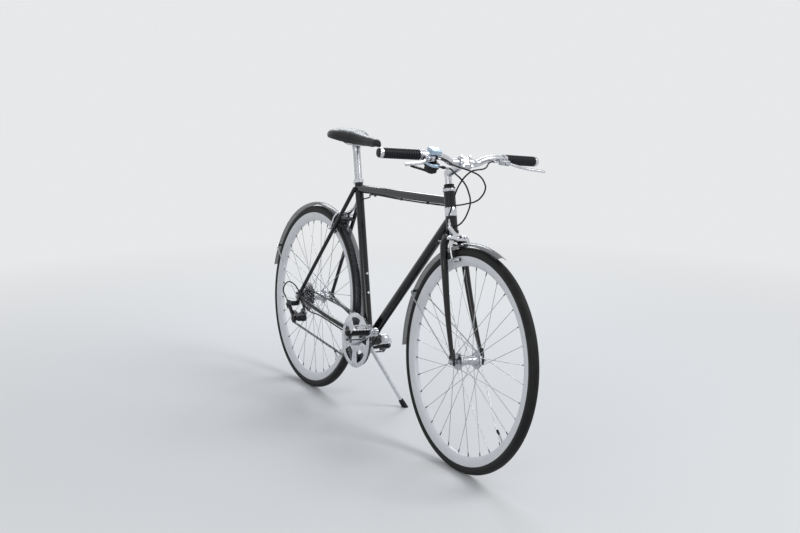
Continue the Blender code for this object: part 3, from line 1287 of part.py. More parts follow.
def make_derailleur():
    axis = link_axis()
    direction = LINK_LINE.normalized()
    bottom = LINK_TOP + LINK_LINE
    drum = rod(side(HANGER, -0.0716), side(HANGER, -0.0950), 0.0095, sides=12)
    bolt = rod(side(HANGER, -0.0640), side(HANGER, -0.0975), 0.0040, sides=8)
    ear = LINK_TOP + axis * 0.0108
    arm = rod(side(HANGER, -0.0860), ear + (ear - side(HANGER, -0.0860)).normalized() * 0.003, 0.0070, sides=8)
    room = rod(LINK_TOP - axis * 0.0076, LINK_TOP + axis * 0.0076, 0.0085, sides=12)
    barrel = rod(LINK_TOP - direction * 0.010 + BARREL_LINE * 0.002, LINK_TOP - direction * 0.010 + BARREL_LINE * 0.016,
                 0.0042, 0.0036, sides=8)
    body = fuse(clevis(LINK_TOP, -direction), drum, bolt, barrel)
    body = fuse(body, cut(arm, room))
    body = fuse(body, rod(LINK_TOP - axis * 0.0100, LINK_TOP + axis * 0.0100, 0.0020, sides=6))
    finish(body, "derailleur_body", BLACK_PLASTIC)

    eyes = [rod(p - axis * LINK_WIDTH / 2, p + axis * LINK_WIDTH / 2, 0.0058, sides=10) for p in (LINK_TOP, bottom)]
    bar = block((0.0080, LINK_WIDTH, LINK_LINE.length), frame_of(LINK_TOP + LINK_LINE / 2, direction, ACROSS))
    link = fuse(bar, *eyes)
    holes = [rod(p - axis * 0.02, p + axis * 0.02, bore(0.0020, 6), sides=6) for p in (LINK_TOP, bottom)]
    finish(cut(link, *holes), "derailleur_link", BLACK_PLASTIC, LINK_TOP)

    drum_start = CAGE_Y[0] - 0.0010 - GAP
    drum = rod(side(KNUCKLE_AXIS, drum_start), side(KNUCKLE_AXIS, -0.0810), 0.0105, sides=12)
    joined = bottom + direction * 0.0120
    neck = rod(side(KNUCKLE_AXIS, -0.0780), joined, 0.0060, sides=8)
    knuckle = fuse(clevis(bottom, direction), drum, neck)
    knuckle = fuse(knuckle, rod(bottom - axis * 0.0100, bottom + axis * 0.0100, 0.0020, sides=6))
    stub = rod(side(KNUCKLE_AXIS, drum_start - 0.004), side(KNUCKLE_AXIS, CAGE_Y[0] + 0.0018), 0.0040, sides=8)
    finish(fuse(knuckle, stub), "derailleur_knuckle", BLACK_PLASTIC, bottom)

    outer_outline = hull([(KNUCKLE_AXIS, 0.0090), (GUIDE_JOCKEY, 0.0095), (TENSION_JOCKEY, 0.0085)])
    inner_outline = hull([(GUIDE_JOCKEY, 0.0090), (TENSION_JOCKEY, 0.0085)])
    outer = plate([outer_outline, ring_points(bore(0.0040, 8), 8, KNUCKLE_AXIS)], 0.0020, upright((0, 0), CAGE_Y[0]))
    inner = plate([inner_outline], 0.0020, upright((0, 0), CAGE_Y[1]))
    pins = [rod(side(c, CAGE_Y[0]), side(c, CAGE_Y[1]), 0.0025, sides=6) for c in (GUIDE_JOCKEY, TENSION_JOCKEY)]
    cage = fuse(gather([outer, inner]), *pins)
    finish(cage, "derailleur_cage", DARK_STEEL, side(KNUCKLE_AXIS, CAGE_Y[0]))

    for index, centre, name in ((2, GUIDE_JOCKEY, "guide_jockey"), (3, TENSION_JOCKEY, "tension_jockey")):
        inside = bore(0.0025, 6)
        wheel = plate(
            [tooth_outline(JOCKEY_TEETH, gap_phase(index)), ring_points(inside + 0.001, 6)], 0.0024,
            upright(centre, CHAINLINE),
        )
        hub = turned(
            [(inside, 0.0050), (0.0068, 0.0050), (0.0068, -0.0050), (inside, -0.0050)], 6, lateral(centre, CHAINLINE)
        )
        finish(fuse(hub, wheel), name, BLACK_PLASTIC, side(centre, CHAINLINE))


# Fenders and their stays
def make_fender(centre, name, start, end, seats, pivot=(0.0, 0.0, 0.0)):
    """A shallow channel over the wheel, with a tab up to each place on the frame that carries it."""
    profile = []
    for share in (-1.0, -0.7, 0.0, 0.7, 1.0):
        profile.append((FENDER_RADIUS - 0.0068 * share * share, FENDER_HALF_WIDTH * share))
    steps = round((end - start) / 11)
    shell = turned(
        profile, steps, lateral(centre) @ Matrix.Rotation(math.radians(-start), 4, "Z"), closed=False,
        angle=-math.radians(end - start), thickness=FENDER_THICKNESS,
    )
    facet = math.radians((end - start) / steps)
    for point, clearance in seats:
        outward = point - side(centre)
        degrees = math.degrees(math.atan2(outward.z, outward.x))
        top = outward.length - clearance
        off_middle = math.radians(degrees - start) % facet - facet / 2
        low = FENDER_RADIUS * math.cos(facet / 2) / math.cos(off_middle)
        middle = round_wheel(centre, (low + top) / 2, degrees)
        shell = fuse(shell, block((0.014, 0.010, top - low), frame_of(middle, middle - side(centre))))
    finish(shell, name, SMOKE, pivot)


def make_stay(centre, name, anchor, anchor_y, clamp_at, pivot=(0.0, 0.0, 0.0)):
    """One wire from a frame end, over the fender and back to the other frame end."""
    over = FENDER_RADIUS + FENDER_THICKNESS / 2 + STAY_WIRE + 0.0008
    start = Vector((anchor[0], anchor_y, anchor[1]))
    clear = start + (round_wheel(centre, FENDER_RADIUS, clamp_at, anchor_y) - start).normalized() * 0.018
    half = [
        start, clear,
        round_wheel(centre, FENDER_RADIUS - 0.030, clamp_at, 0.0270),
        round_wheel(centre, FENDER_RADIUS - 0.0080, clamp_at, FENDER_HALF_WIDTH + 0.0044),
        round_wheel(centre, over - 0.0035, clamp_at, FENDER_HALF_WIDTH - 0.0010),
        round_wheel(centre, over, clamp_at, 0.0080),
    ]
    points = half + [p * Vector((1.0, -1.0, 1.0)) for p in reversed(half)]
    stay = sweep(points, STAY_WIRE, 0)
    for hand in (LEFT, RIGHT):
        eye = Vector((start.x, hand * start.y, start.z))
        stay = fuse(stay, rod(eye - ACROSS * 0.0017, eye + ACROSS * 0.0017, 0.0042, sides=8))
    finish(stay, name, STEEL, pivot)


# Kickstand
STAND_PIVOT = side(BRACKET, 0.020) - Vector((0.050, 0.0, 0.0175))
STAND_SPREAD = 0.173
STAND_FOOT = Vector((BRACKET[0] - 0.003, STAND_SPREAD, STAND_SPREAD * math.tan(LEAN)))
STAND_FOLDED = Vector((-0.975, 0.19, 0.11)).normalized()


def stand_axis():
    """The hinge line that swings the leg from the ground to its folded place."""
    leg = (STAND_FOOT - STAND_PIVOT).normalized()
    between = (leg - STAND_FOLDED).normalized()
    return (ACROSS - between * between.y).normalized()


def stand_bracket():
    axis = stand_axis()
    up = (Vector((0.0, 0.0, 1.0)) - axis * axis.z).normalized()
    pieces = []
    for hand in (LEFT, RIGHT):
        middle = STAND_PIVOT + axis * hand * 0.0150
        pieces.append(rod(middle - axis * 0.0022, middle + axis * 0.0022, 0.0085, sides=10))
        pieces.append(block((0.0040, 0.0150, 0.0180), frame_of(middle + up * 0.0095, up, axis)))
    pieces.append(rod(STAND_PIVOT - axis * 0.0165, STAND_PIVOT + axis * 0.0165, 0.0028, sides=8))
    return pieces


def make_kickstand():
    axis = stand_axis()
    leg_line = (STAND_FOOT - STAND_PIVOT).normalized()
    knuckle = rod(STAND_PIVOT - axis * 0.0125, STAND_PIVOT + axis * 0.0125, 0.0085, sides=10)
    leg = rod(STAND_PIVOT + leg_line * 0.002, STAND_FOOT - leg_line * 0.004, 0.0070, 0.0060, sides=10)
    foot = rod(STAND_FOOT - leg_line * 0.034, STAND_FOOT + leg_line * 0.014, 0.0095, 0.0110, sides=10)
    whole = fuse(knuckle, leg, foot)
    ground = Vector((0.0, -math.sin(LEAN), math.cos(LEAN)))
    whole = cut(whole, block((0.10, 0.10, 0.05), frame_of(
        Vector((STAND_FOOT.x, STAND_FOOT.y, STAND_FOOT.y * math.tan(LEAN))) - ground * 0.025, ground)))
    whole = cut(whole, rod(STAND_PIVOT - axis * 0.02, STAND_PIVOT + axis * 0.02, 0.0031, sides=8))
    finish(whole, "kickstand_leg", SATIN, STAND_PIVOT)


# Seatpost and saddle
RAIL_RADIUS = 0.0035
RAIL_Z = SEAT_TUBE_TOP + 0.1255
RAIL_Y = 0.0210


def by_rails(forward, y, up):
    """A point by its place from the seat tube's axis at the height of the rails."""
    return seat(RAIL_Z, y) + Vector((forward, 0.0, up))


def rail_points(past=0.0):
    half = [
        by_rails(-0.0950 - past, 0.0300 + past * 0.2, 0.0255 + past * 0.6), by_rails(-0.0730, 0.0260, 0.0135),
        by_rails(-0.0450, RAIL_Y, 0.0), by_rails(0.0220, RAIL_Y, 0.0), by_rails(0.0590, 0.0160, 0.0025),
        by_rails(0.0990, 0.0100, 0.0115), by_rails(0.1150, 0.0040, 0.0145),
    ]
    return half + [p * Vector((1.0, -1.0, 1.0)) for p in reversed(half)]


def make_seatpost():
    up = side(SEAT_UP)
    top = seat(RAIL_Z - 0.0155)
    post = rod(seat(SEAT_TUBE_TOP - 0.156), top, SEATPOST_RADIUS, sides=16)
    head = rod(top - up * 0.012, seat(RAIL_Z - 0.0075), 0.0125, 0.0150, sides=12)
    centre = by_rails(0.002, 0.0, 0.0)
    cradle = block((0.042, 0.058, 0.0080), Matrix.Translation(centre - Vector((0, 0, 0.0035))))
    cap = block((0.034, 0.056, 0.0070), Matrix.Translation(centre + Vector((0, 0, 0.0038))))
    bolt = rod(centre + Vector((-0.012, 0, 0.012)), centre + Vector((-0.012, 0, -0.030)), 0.0040, sides=8)
    whole = fuse(post, head, cradle, cap, bolt)
    rails = sweep(rail_points(GAP), bore(RAIL_RADIUS, 6), 1)
    whole = cut(whole, rails)
    whole = cut(whole, rod(seat(SEAT_TUBE_TOP - 0.171), seat(RAIL_Z - 0.0365), SEATPOST_RADIUS - 0.0022, sides=16))
    finish(whole, "seatpost", SATIN, seat(SEAT_TUBE_TOP))
    finish(sweep(rail_points(), RAIL_RADIUS, 1), "saddle_rails", DARK_STEEL, seat(SEAT_TUBE_TOP))


def make_saddle():
    """A padded shell lofted from the broad tail to the nose, open underneath round its rails."""
    stations = [
        (-0.1100, 0.0520, 0.0375, 0.0160), (-0.0990, 0.0680, 0.0465, 0.0260), (-0.0730, 0.0780, 0.0525, 0.0360),
        (-0.0380, 0.0740, 0.0525, 0.0400), (-0.0030, 0.0570, 0.0475, 0.0400), (0.0350, 0.0360, 0.0405, 0.0360),
        (0.0770, 0.0240, 0.0350, 0.0320), (0.1220, 0.0200, 0.0310, 0.0280), (0.1470, 0.0180, 0.0275, 0.0250),
        (0.1580, 0.0120, 0.0215, 0.0160),
    ]
    form = bmesh.new()
    rings = []
    for x, half, top, drop in stations:
        ring = []
        for turn in range(0, 181, 30):
            angle = math.radians(turn)
            crown = math.sin(angle) ** 0.8
            ring.append(form.verts.new(by_rails(x, half * math.cos(angle), top - drop + drop * crown)))
        for share in (-0.55, 0.0, 0.55):
            ring.append(form.verts.new(by_rails(x, half * share, top - drop * (0.80 - 0.25 * abs(share)))))
        rings.append(ring)
    count = len(rings[0])
    for a, b in zip(rings, rings[1:]):
        for k in range(count):
            form.faces.new((a[k], a[(k + 1) % count], b[(k + 1) % count], b[k]))
    form.faces.new(rings[0])
    form.faces.new(list(reversed(rings[-1])))
    bmesh.ops.recalc_face_normals(form, faces=form.faces)
    saddle = from_bmesh(form)
    smooth = saddle.modifiers.new("padding", "SUBSURF")
    smooth.levels = smooth.render_levels = 1
    saddle = to_mesh_object(saddle)
    rails = sweep(rail_points(GAP), bore(RAIL_RADIUS, 6), 1)
    finish(cut(saddle, rails), "saddle", COVER, seat(SEAT_TUBE_TOP))


# Cables, each one whole from its lever to its end
def cable(name, lead_in, middle, lead_out, count, pivot=(0.0, 0.0, 0.0)):
    """A housing that leaves one barrel and enters the next in line with each."""
    route = thinned(smooth_path([lead_in[1], *[Vector(p) for p in middle], lead_out[0]], count))
    finish(sweep([lead_in[0], *route, lead_out[1]], CABLE_RADIUS), name, HOUSING, pivot)


def from_lever(hand):
    matrix = lever_frame(hand)
    return matrix @ Vector((-0.0402 - GAP, 0.0250, 0.0)), matrix @ Vector((-0.0600, 0.0250, 0.0))


def into_caliper(matrix):
    end = barrel_top(matrix)
    up = matrix.to_3x3() @ Vector((0.0, 1.0, 0.0))
    return end + up * 0.018, end


def make_cables():
    middle = [
        by_bar(0.0550, 0.0380, -0.0105), by_bar(0.0590, 0.0040, -0.0160), by_bar(0.0560, -0.0060, -0.0195),
        by_bar(0.0410, -0.0180, -0.0370), by_bar(0.0280, -0.0240, -0.0570), by_bar(0.0140, -0.0280, -0.0850),
        by_bar(0.0070, -0.0300, -0.1120), by_bar(0.0010, -0.0310, -0.1380),
    ]
    cable("front_brake_cable", from_lever(LEFT), middle, into_caliper(front_caliper()), 60, steer(0.0))

    under = TOP_TUBE_RADIUS + CABLE_RADIUS + 0.0005
    line_start, line_end = steer(TOP_TUBE_HEAD_UP), seat(TOP_TUBE_SEAT_Z)
    down = Vector((0.045, 0.0, -1.0)).normalized()
    beneath = [line_start.lerp(line_end, share) + down * under for share in (0.155, 0.50, 0.86)]
    middle = [
        by_bar(0.0340, -0.0600, -0.0060), by_bar(0.0390, -0.0200, -0.0160), by_bar(0.0420, 0.0030, -0.0223),
        by_bar(0.0550, 0.0250, -0.0340), by_bar(0.0690, 0.0360, -0.0560), by_bar(0.0710, 0.0380, -0.0683),
        by_bar(0.0550, 0.0360, -0.0974), by_bar(0.0300, 0.0320, -0.1140), by_bar(0.0010, 0.0290, -0.1225),
        by_bar(-0.0300, 0.0270, -0.1305), by_bar(-0.0620, 0.0250, -0.1365), by_bar(-0.1080, 0.0160, -0.1425),
        *beneath,
        by_seat_top(0.0629, 0.0160, -0.0530), by_seat_top(0.0209, 0.0270, -0.0620), by_seat_top(-0.0121, 0.0350, -0.0680),
        by_seat_top(-0.0361, 0.0340, -0.0750),
    ]
    cable("rear_brake_cable", from_lever(RIGHT), middle, into_caliper(rear_caliper()), 120)


def make_shift_cable():
    matrix = shifter_frame()
    lead_in = [matrix @ (SHIFTER_BARREL + SHIFTER_BARREL_LINE * reach) for reach in (2 * GAP, 0.014)]
    middle = [
        by_bar(0.0370, -0.0530, -0.0310), by_bar(0.0405, -0.0340, -0.0450),
        by_bar(0.0450, -0.0160, -0.0645), by_bar(0.0480, -0.0060, -0.0845),
        by_bar(0.0490, 0.0020, -0.1065), by_bar(0.0470, 0.0040, -0.1250),
        by_bar(0.0390, 0.0040, -0.1460), by_bar(0.0240, 0.0020, -0.1720),
        by_bar(0.0065, -0.0040, -0.1900), steer(HEAD_TUBE_LOW + 0.007, 0.0200, -0.0140),
        steer(HEAD_TUBE_LOW, 0.0110, -0.0232), steer(HEAD_TUBE_LOW - 0.007, -0.0010, -0.0255),
        steer(HEAD_TUBE_LOW - 0.0103, -0.0165, -0.0225), steer(HEAD_TUBE_LOW - 0.0096, -0.0341, -0.0130),
        by_down_tube(0.887, 69), by_down_tube(0.835, 69),
        by_down_tube(0.60, 76), by_down_tube(0.30, 86),
        by_down_tube(0.13, 90), by_point(BRACKET, 0.0080, 0.0000, -0.0248),
        by_point(BRACKET, -0.0250, -0.0120, -0.0240), by_point(BRACKET, -0.0850, -0.0270, -0.0030),
        by_point(BRACKET, -0.1600, -0.0445, 0.0130), by_point(REAR_AXLE, 0.1500, -0.0610, -0.0385),
        by_point(REAR_AXLE, 0.1000, -0.0715, -0.0355), by_point(REAR_AXLE, 0.0700, -0.0800, -0.0190),
        by_point(REAR_AXLE, 0.0500, -0.0870, 0.0060), by_point(REAR_AXLE, 0.0340, -0.0905, 0.0300),
        by_point(REAR_AXLE, 0.0030, -0.0950, 0.0480), by_point(REAR_AXLE, -0.0310, -0.1000, 0.0510),
        by_point(REAR_AXLE, -0.0660, -0.1000, 0.0300), by_point(REAR_AXLE, -0.0780, -0.0980, 0.0080),
    ]
    end = LINK_TOP - LINK_LINE.normalized() * 0.010 + BARREL_LINE * (0.016 + 2 * GAP)
    cable("shift_cable", lead_in, middle, (end + BARREL_LINE * 0.014, end), 160)


def stand_on_ground():
    """Leans the bike onto its stand and puts the origin under the middle of its box."""
    bike.rotation_euler = (-LEAN, 0.0, 0.0)
    bpy.context.view_layer.update()
    low = Vector((math.inf,) * 3)
    high = Vector((-math.inf,) * 3)
    for piece in bike.children:
        for vertex in piece.data.vertices:
            place = piece.matrix_world @ vertex.co
            low = Vector(map(min, low, place))
            high = Vector(map(max, high, place))
    bike.location = (-(low.x + high.x) / 2, -(low.y + high.y) / 2, -low.z)
    bpy.context.view_layer.update()


make_head_tube()
make_headset()
make_main_tubes()
make_bracket_cartridge()
make_seat_collar()
make_chainstays()
make_seatstays()
make_fork()
make_stem()
make_handlebar()
make_brake_lever(LEFT, "left")
make_brake_lever(RIGHT, "right")
make_shifter()
make_caliper(front_caliper(), "front")
make_caliper(rear_caliper(), "rear")
make_wheels()
make_axle(FRONT_AXLE, "front_axle", FRONT_AXLE_RADIUS, (0.0400, 0.0400), FRONT_LOCKNUT, FRONT_DROPOUT, 0.0080)
make_axle(REAR_AXLE, "rear_axle", REAR_AXLE_RADIUS, (0.0415, 0.0605), REAR_LOCKNUT, REAR_DROPOUT, 0.0080)
make_chain()
make_cassette()
make_cranks()
make_pedal(LEFT, "pedal_left")
make_pedal(RIGHT, "pedal_right")
make_derailleur()
make_fender(FRONT_AXLE, "front_fender", 70.0, 185.0, [(steer(CROWN_UP - BLADE_ROOT_DEPTH), GAP)], steer(0.0))
make_fender(
    REAR_AXLE, "rear_fender", -11.0, 169.5,
    [(BRIDGE * Vector((1.0, 0.0, 1.0)), BRIDGE_RADIUS + GAP), (FENDER_BRIDGE, FENDER_BRIDGE_RADIUS + GAP)],
)
make_stay(
    FRONT_AXLE, "front_fender_stay", (WHEELBASE - 0.016, WHEEL_RADIUS + 0.009), 0.0576, 154.5, steer(0.0)
)
make_stay(REAR_AXLE, "rear_fender_stay", (-0.018, WHEEL_RADIUS + 0.009), 0.0737, 156.0)
make_kickstand()
make_seatpost()
make_saddle()
make_cables()
make_shift_cable()
stand_on_ground()
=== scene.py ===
# City bike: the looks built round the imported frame. Metres throughout.
import json
import math

import bmesh
import bpy
from mathutils import Matrix, Vector


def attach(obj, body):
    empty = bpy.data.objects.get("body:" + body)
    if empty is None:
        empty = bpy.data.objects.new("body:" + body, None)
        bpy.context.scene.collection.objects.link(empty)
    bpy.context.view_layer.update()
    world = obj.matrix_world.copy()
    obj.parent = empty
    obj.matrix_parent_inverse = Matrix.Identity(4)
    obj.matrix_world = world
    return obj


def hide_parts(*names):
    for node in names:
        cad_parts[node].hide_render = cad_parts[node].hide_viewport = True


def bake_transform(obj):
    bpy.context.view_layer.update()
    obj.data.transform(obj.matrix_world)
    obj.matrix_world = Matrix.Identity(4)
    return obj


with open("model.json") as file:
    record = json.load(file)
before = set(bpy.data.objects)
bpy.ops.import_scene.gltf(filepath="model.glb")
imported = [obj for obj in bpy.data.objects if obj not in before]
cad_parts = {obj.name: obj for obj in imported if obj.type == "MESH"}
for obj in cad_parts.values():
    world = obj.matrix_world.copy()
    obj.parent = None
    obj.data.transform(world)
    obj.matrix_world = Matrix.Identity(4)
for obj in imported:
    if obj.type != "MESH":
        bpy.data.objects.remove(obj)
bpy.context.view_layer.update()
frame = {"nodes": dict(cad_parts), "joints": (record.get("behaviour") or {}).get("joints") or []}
print("frame loaded:", len(frame["nodes"]), "nodes")


def shift(x, y, z):
    return Matrix.Translation((x, y, z))


# The bike's own space: X forward from the rear axle, Y left, Z up from the ground under the tires
bike = {
    "lean": 5.73, "wheelbase": 1.027, "wheelRadius": 0.342, "seatAngle": 72.7, "headAngle": 73.0,
    "forkRake": 0.03, "bracket": (0.43, 0.272), "gap": 0.0003,
}
left, right = 1, -1
across = Vector((0.0, 1.0, 0.0))
rearAxle = (0.0, bike["wheelRadius"])
frontAxle = (bike["wheelbase"], bike["wheelRadius"])
bracket = bike["bracket"]
seatTurn, headTurn = math.radians(bike["seatAngle"]), math.radians(bike["headAngle"])
steerUp = Vector((-math.cos(headTurn), 0.0, math.sin(headTurn)))
steerForward = Vector((math.sin(headTurn), 0.0, math.cos(headTurn)))
seatUp = Vector((-math.cos(seatTurn), 0.0, math.sin(seatTurn)))
joints = {joint["name"]: joint for joint in frame["joints"]}
bikeSpace = (
    Matrix.Translation(joints["rear_wheel_spin"]["pos_m"])
    @ Matrix.Rotation(-math.radians(bike["lean"]), 4, "X")
    @ shift(0.0, 0.0, -bike["wheelRadius"])
)


def side(point, y=0.0):
    return Vector((point[0], y, point[1]))


steerFoot = side(frontAxle) - steerForward * bike["forkRake"]


def steer(up, forward=0.0, y=0.0):
    return steerFoot + steerUp * up + steerForward * forward + across * y


def steerAtHeight(z):
    return (z - steerFoot.z) / steerUp.z


def seat(z, y=0.0):
    return side(bracket, y) + seatUp * ((z - bracket[1]) / seatUp.z)


def roundWheel(centre, radius, degrees, y=0.0):
    turn = math.radians(degrees)
    return Vector((centre[0] + radius * math.cos(turn), y, centre[1] + radius * math.sin(turn)))


def placeAt(origin, zLine, xHint=(0.0, 1.0, 0.0)):
    # a matrix whose Z runs along zLine and whose X lies as near xHint as it can. It has no X, and
    # flattens the form, where the two are parallel, as for a bolt across the bike without its own xHint
    up = Vector(zLine).normalized()
    first = (Vector(xHint) - up * up.dot(Vector(xHint))).normalized()
    turn = Matrix((first, up.cross(first), up)).transposed()
    return shift(*origin) @ turn.to_4x4()


def lateral(centre, y=0.0):
    return placeAt(side(centre, y), across, (1.0, 0.0, 0.0))


def upright(centre, y=0.0):
    return placeAt(side(centre, y), -across, (1.0, 0.0, 0.0))


# Materials: a wire stands for a socket, and sums on wires add Math nodes
class Wire:
    def __init__(self, finish, socket):
        self.finish = finish
        self.socket = socket

    def sum(self, operation, *values):
        return self.finish.node("ShaderNodeMath", {"operation": operation}, dict(enumerate(values)))

    def __add__(self, other):
        return self.sum("ADD", self, other)

    def __radd__(self, other):
        return self.sum("ADD", other, self)

    def __sub__(self, other):
        return self.sum("SUBTRACT", self, other)

    def __rsub__(self, other):
        return self.sum("SUBTRACT", other, self)

    def __mul__(self, other):
        return self.sum("MULTIPLY", self, other)

    def __rmul__(self, other):
        return self.sum("MULTIPLY", other, self)


class Finish:
    def __init__(self, name, colour, roughness, **uniform):
        self.made = bpy.data.materials.new(name)
        self.made.use_nodes = True
        self.tree = self.made.node_tree
        self.shader = self.tree.nodes["Principled BSDF"]
        self.shader.inputs["Base Color"].default_value = (*colour, 1.0)
        self.shader.inputs["Roughness"].default_value = roughness
        for key, value in uniform.items():
            self.shader.inputs[key.replace("_", " ")].default_value = value
        self.place = self.node("ShaderNodeTexCoord", output="Object")

    def node(self, kind, settings=None, values=None, output=0):
        made = self.tree.nodes.new(kind)
        for key, value in (settings or {}).items():
            if key == "stops":
                for index, (position, shade) in enumerate(value):
                    stops = made.color_ramp.elements
                    stop = stops[index] if index < len(stops) else stops.new(position)
                    stop.position = position
                    stop.color = (*shade, 1.0) if isinstance(shade, tuple) else (shade, shade, shade, 1.0)
            else:
                setattr(made, key, value)
        for key, value in (values or {}).items():
            self.feed(made.inputs[key], value)
        return Wire(self, made.outputs[output])

    def feed(self, socket, value):
        if isinstance(value, Wire):
            self.tree.links.new(value.socket, socket)
        else:
            socket.default_value = value

    def drive(self, name, value):
        self.feed(self.shader.inputs[name], value)

    def noise(self, scale, detail=3.0, stretch=None):
        place = self.place
        if stretch:
            place = self.node("ShaderNodeMapping", {}, {"Vector": place, "Scale": stretch})
        return self.node("ShaderNodeTexNoise", {}, {"Vector": place, "Scale": scale, "Detail": detail})

    def cells(self, scale, feature="F1"):
        return self.node("ShaderNodeTexVoronoi", {"feature": feature}, {"Vector": self.place, "Scale": scale})

    def ramp(self, value, *stops):
        return self.node("ShaderNodeValToRGB", {"stops": stops}, {"Fac": value})

    def blend(self, share, first, second):
        values = {"Factor": share, 6: first, 7: second}
        return self.node("ShaderNodeMix", {"data_type": "RGBA"}, values, 2)

    def bump(self, height, depth, strength=1.0):
        values = {"Height": height, "Distance": depth, "Strength": strength}
        self.drive("Normal", self.node("ShaderNodeBump", {}, values))


def shade(r, g, b):
    return (r, g, b, 1.0)


def makePaint():
    paint = Finish("framePaint", (0.003, 0.0032, 0.0045), 0.2, Coat_Roughness=0.05, Specular_IOR_Level=0.12)
    haze = paint.noise(9.0, 4.0)
    dust = paint.ramp(paint.noise(420.0, 2.0), (0.6, 0.0), (0.72, 1.0))
    black, grey = shade(0.0028, 0.003, 0.0044), shade(0.04, 0.042, 0.046)
    paint.drive("Base Color", paint.blend(dust * 0.1, black, grey))
    paint.drive("Roughness", 0.13 + haze * 0.1 + dust * 0.12)
    paint.drive("Coat Weight", 0.62 - dust * 0.2)
    paint.bump(paint.noise(650.0, 1.0), 0.00004, 0.25)
    return paint


def makeMetal(name, colour, dull, low, high, brush=None, scale=70.0):
    # bare metal: smudged gloss, faint brushing and a slightly darker film where it is dull
    metal = Finish(name, colour, low, Metallic=1.0)
    film = metal.noise(scale, 4.0)
    lines = metal.noise(500.0, 2.0, brush or (1.0, 1.0, 1.0))
    share = metal.ramp(film, (0.45, 0.0), (0.75, 1.0))
    metal.drive("Base Color", metal.blend(share, shade(*colour), shade(*dull)))
    metal.drive("Roughness", low + film * (high - low) + lines * 0.05)
    metal.bump(lines, 0.00003, 0.35)
    return metal


def makeChainSteel():
    steel = Finish("darkSteel", (0.1, 0.1, 0.11), 0.35, Metallic=0.9)
    grease = steel.ramp(steel.noise(160.0, 4.0), (0.42, 0.0), (0.62, 1.0))
    steel.drive("Base Color", steel.blend(grease, shade(0.3, 0.3, 0.31), shade(0.03, 0.028, 0.027)))
    steel.drive("Roughness", 0.26 + grease * 0.28)
    steel.bump(steel.noise(900.0, 2.0), 0.00005, 0.4)
    return steel


def makeRimEnamel():
    enamel = Finish("rimEnamel", (0.66, 0.675, 0.7), 0.32, Coat_Weight=0.35, Coat_Roughness=0.12)
    film = enamel.noise(14.0, 5.0)
    grime = enamel.ramp(enamel.noise(260.0, 3.0), (0.58, 0.0), (0.74, 1.0))
    clean = enamel.blend(film, shade(0.7, 0.715, 0.74), shade(0.6, 0.615, 0.64))
    enamel.drive("Base Color", enamel.blend(grime * 0.22, clean, shade(0.3, 0.29, 0.28)))
    enamel.drive("Roughness", 0.24 + film * 0.16 + grime * 0.15)
    enamel.bump(enamel.noise(700.0, 1.0), 0.00003, 0.3)
    return enamel


def makeRubber(name, colour, worn, low, high, grain):
    rubber = Finish(name, colour, low, Specular_IOR_Level=0.22)
    wear = rubber.noise(30.0, 4.0)
    pores = rubber.noise(grain, 2.0)
    share = rubber.ramp(wear, (0.45, 0.0), (0.8, 1.0))
    rubber.drive("Base Color", rubber.blend(share, shade(*colour), shade(*worn)))
    rubber.drive("Roughness", low + wear * (high - low))
    rubber.bump(pores, 0.00012, 0.5)
    return rubber


def makeSaddleLeather():
    leather = Finish("saddleLeather", (0.006, 0.006, 0.007), 0.4, Coat_Roughness=0.25, Specular_IOR_Level=0.3)
    grain = leather.cells(900.0, "DISTANCE_TO_EDGE")
    crease = leather.ramp(grain, (0.0, 0.0), (0.16, 1.0))
    polish = leather.noise(22.0, 3.0)
    deep, worn = shade(0.003, 0.003, 0.0035), shade(0.008, 0.008, 0.009)
    leather.drive("Base Color", leather.blend(crease, deep, worn))
    leather.drive("Roughness", 0.3 + polish * 0.22)
    leather.drive("Coat Weight", 0.35 - polish * 0.25)
    leather.bump(crease + polish * 0.15, 0.00016, 0.55)
    return leather


def makeSmoke():
    smoke = Finish("smokedPlastic", (0.06, 0.065, 0.075), 0.14, Specular_IOR_Level=0.4)
    film = smoke.noise(26.0, 4.0)
    smoke.drive("Base Color", smoke.blend(film, shade(0.028, 0.031, 0.038), shade(0.055, 0.058, 0.066)))
    smoke.drive("Roughness", 0.1 + film * 0.14)
    smoke.drive("Alpha", 0.54 + film * 0.12)
    smoke.bump(smoke.noise(300.0, 2.0), 0.00004, 0.3)
    return smoke


framePaint = makePaint()
polishedAlloy = makeMetal("polishedAlloy", (0.64, 0.65, 0.68), (0.48, 0.49, 0.52), 0.08, 0.22)
satinAlloy = makeMetal("satinAlloy", (0.52, 0.53, 0.56), (0.4, 0.41, 0.44), 0.2, 0.36, (1.0, 8.0, 1.0))
brightSteel = makeMetal("brightSteel", (0.46, 0.47, 0.49), (0.3, 0.31, 0.33), 0.14, 0.32)
blueAlloy = makeMetal("blueAlloy", (0.42, 0.53, 0.64), (0.34, 0.44, 0.55), 0.18, 0.32)
darkNickel = makeMetal("darkNickel", (0.085, 0.088, 0.098), (0.045, 0.045, 0.05), 0.2, 0.4)
darkSteel = makeChainSteel()
rimEnamel = makeRimEnamel()
tireRubber = makeRubber("tireRubber", (0.006, 0.006, 0.0065), (0.016, 0.016, 0.0155), 0.42, 0.62, 900.0)
gripRubber = makeRubber("gripRubber", (0.007, 0.008, 0.011), (0.014, 0.016, 0.021), 0.4, 0.58, 1100.0)
padRubber = makeRubber("padRubber", (0.02, 0.02, 0.021), (0.05, 0.05, 0.05), 0.6, 0.8, 700.0)
blackPlastic = makeRubber("blackPlastic", (0.008, 0.0085, 0.011), (0.016, 0.017, 0.021), 0.2, 0.36, 1400.0)
cableHousing = makeRubber("cableHousing", (0.011, 0.011, 0.012), (0.022, 0.022, 0.024), 0.25, 0.38, 600.0)
saddleLeather = makeSaddleLeather()
smokedPlastic = makeSmoke()


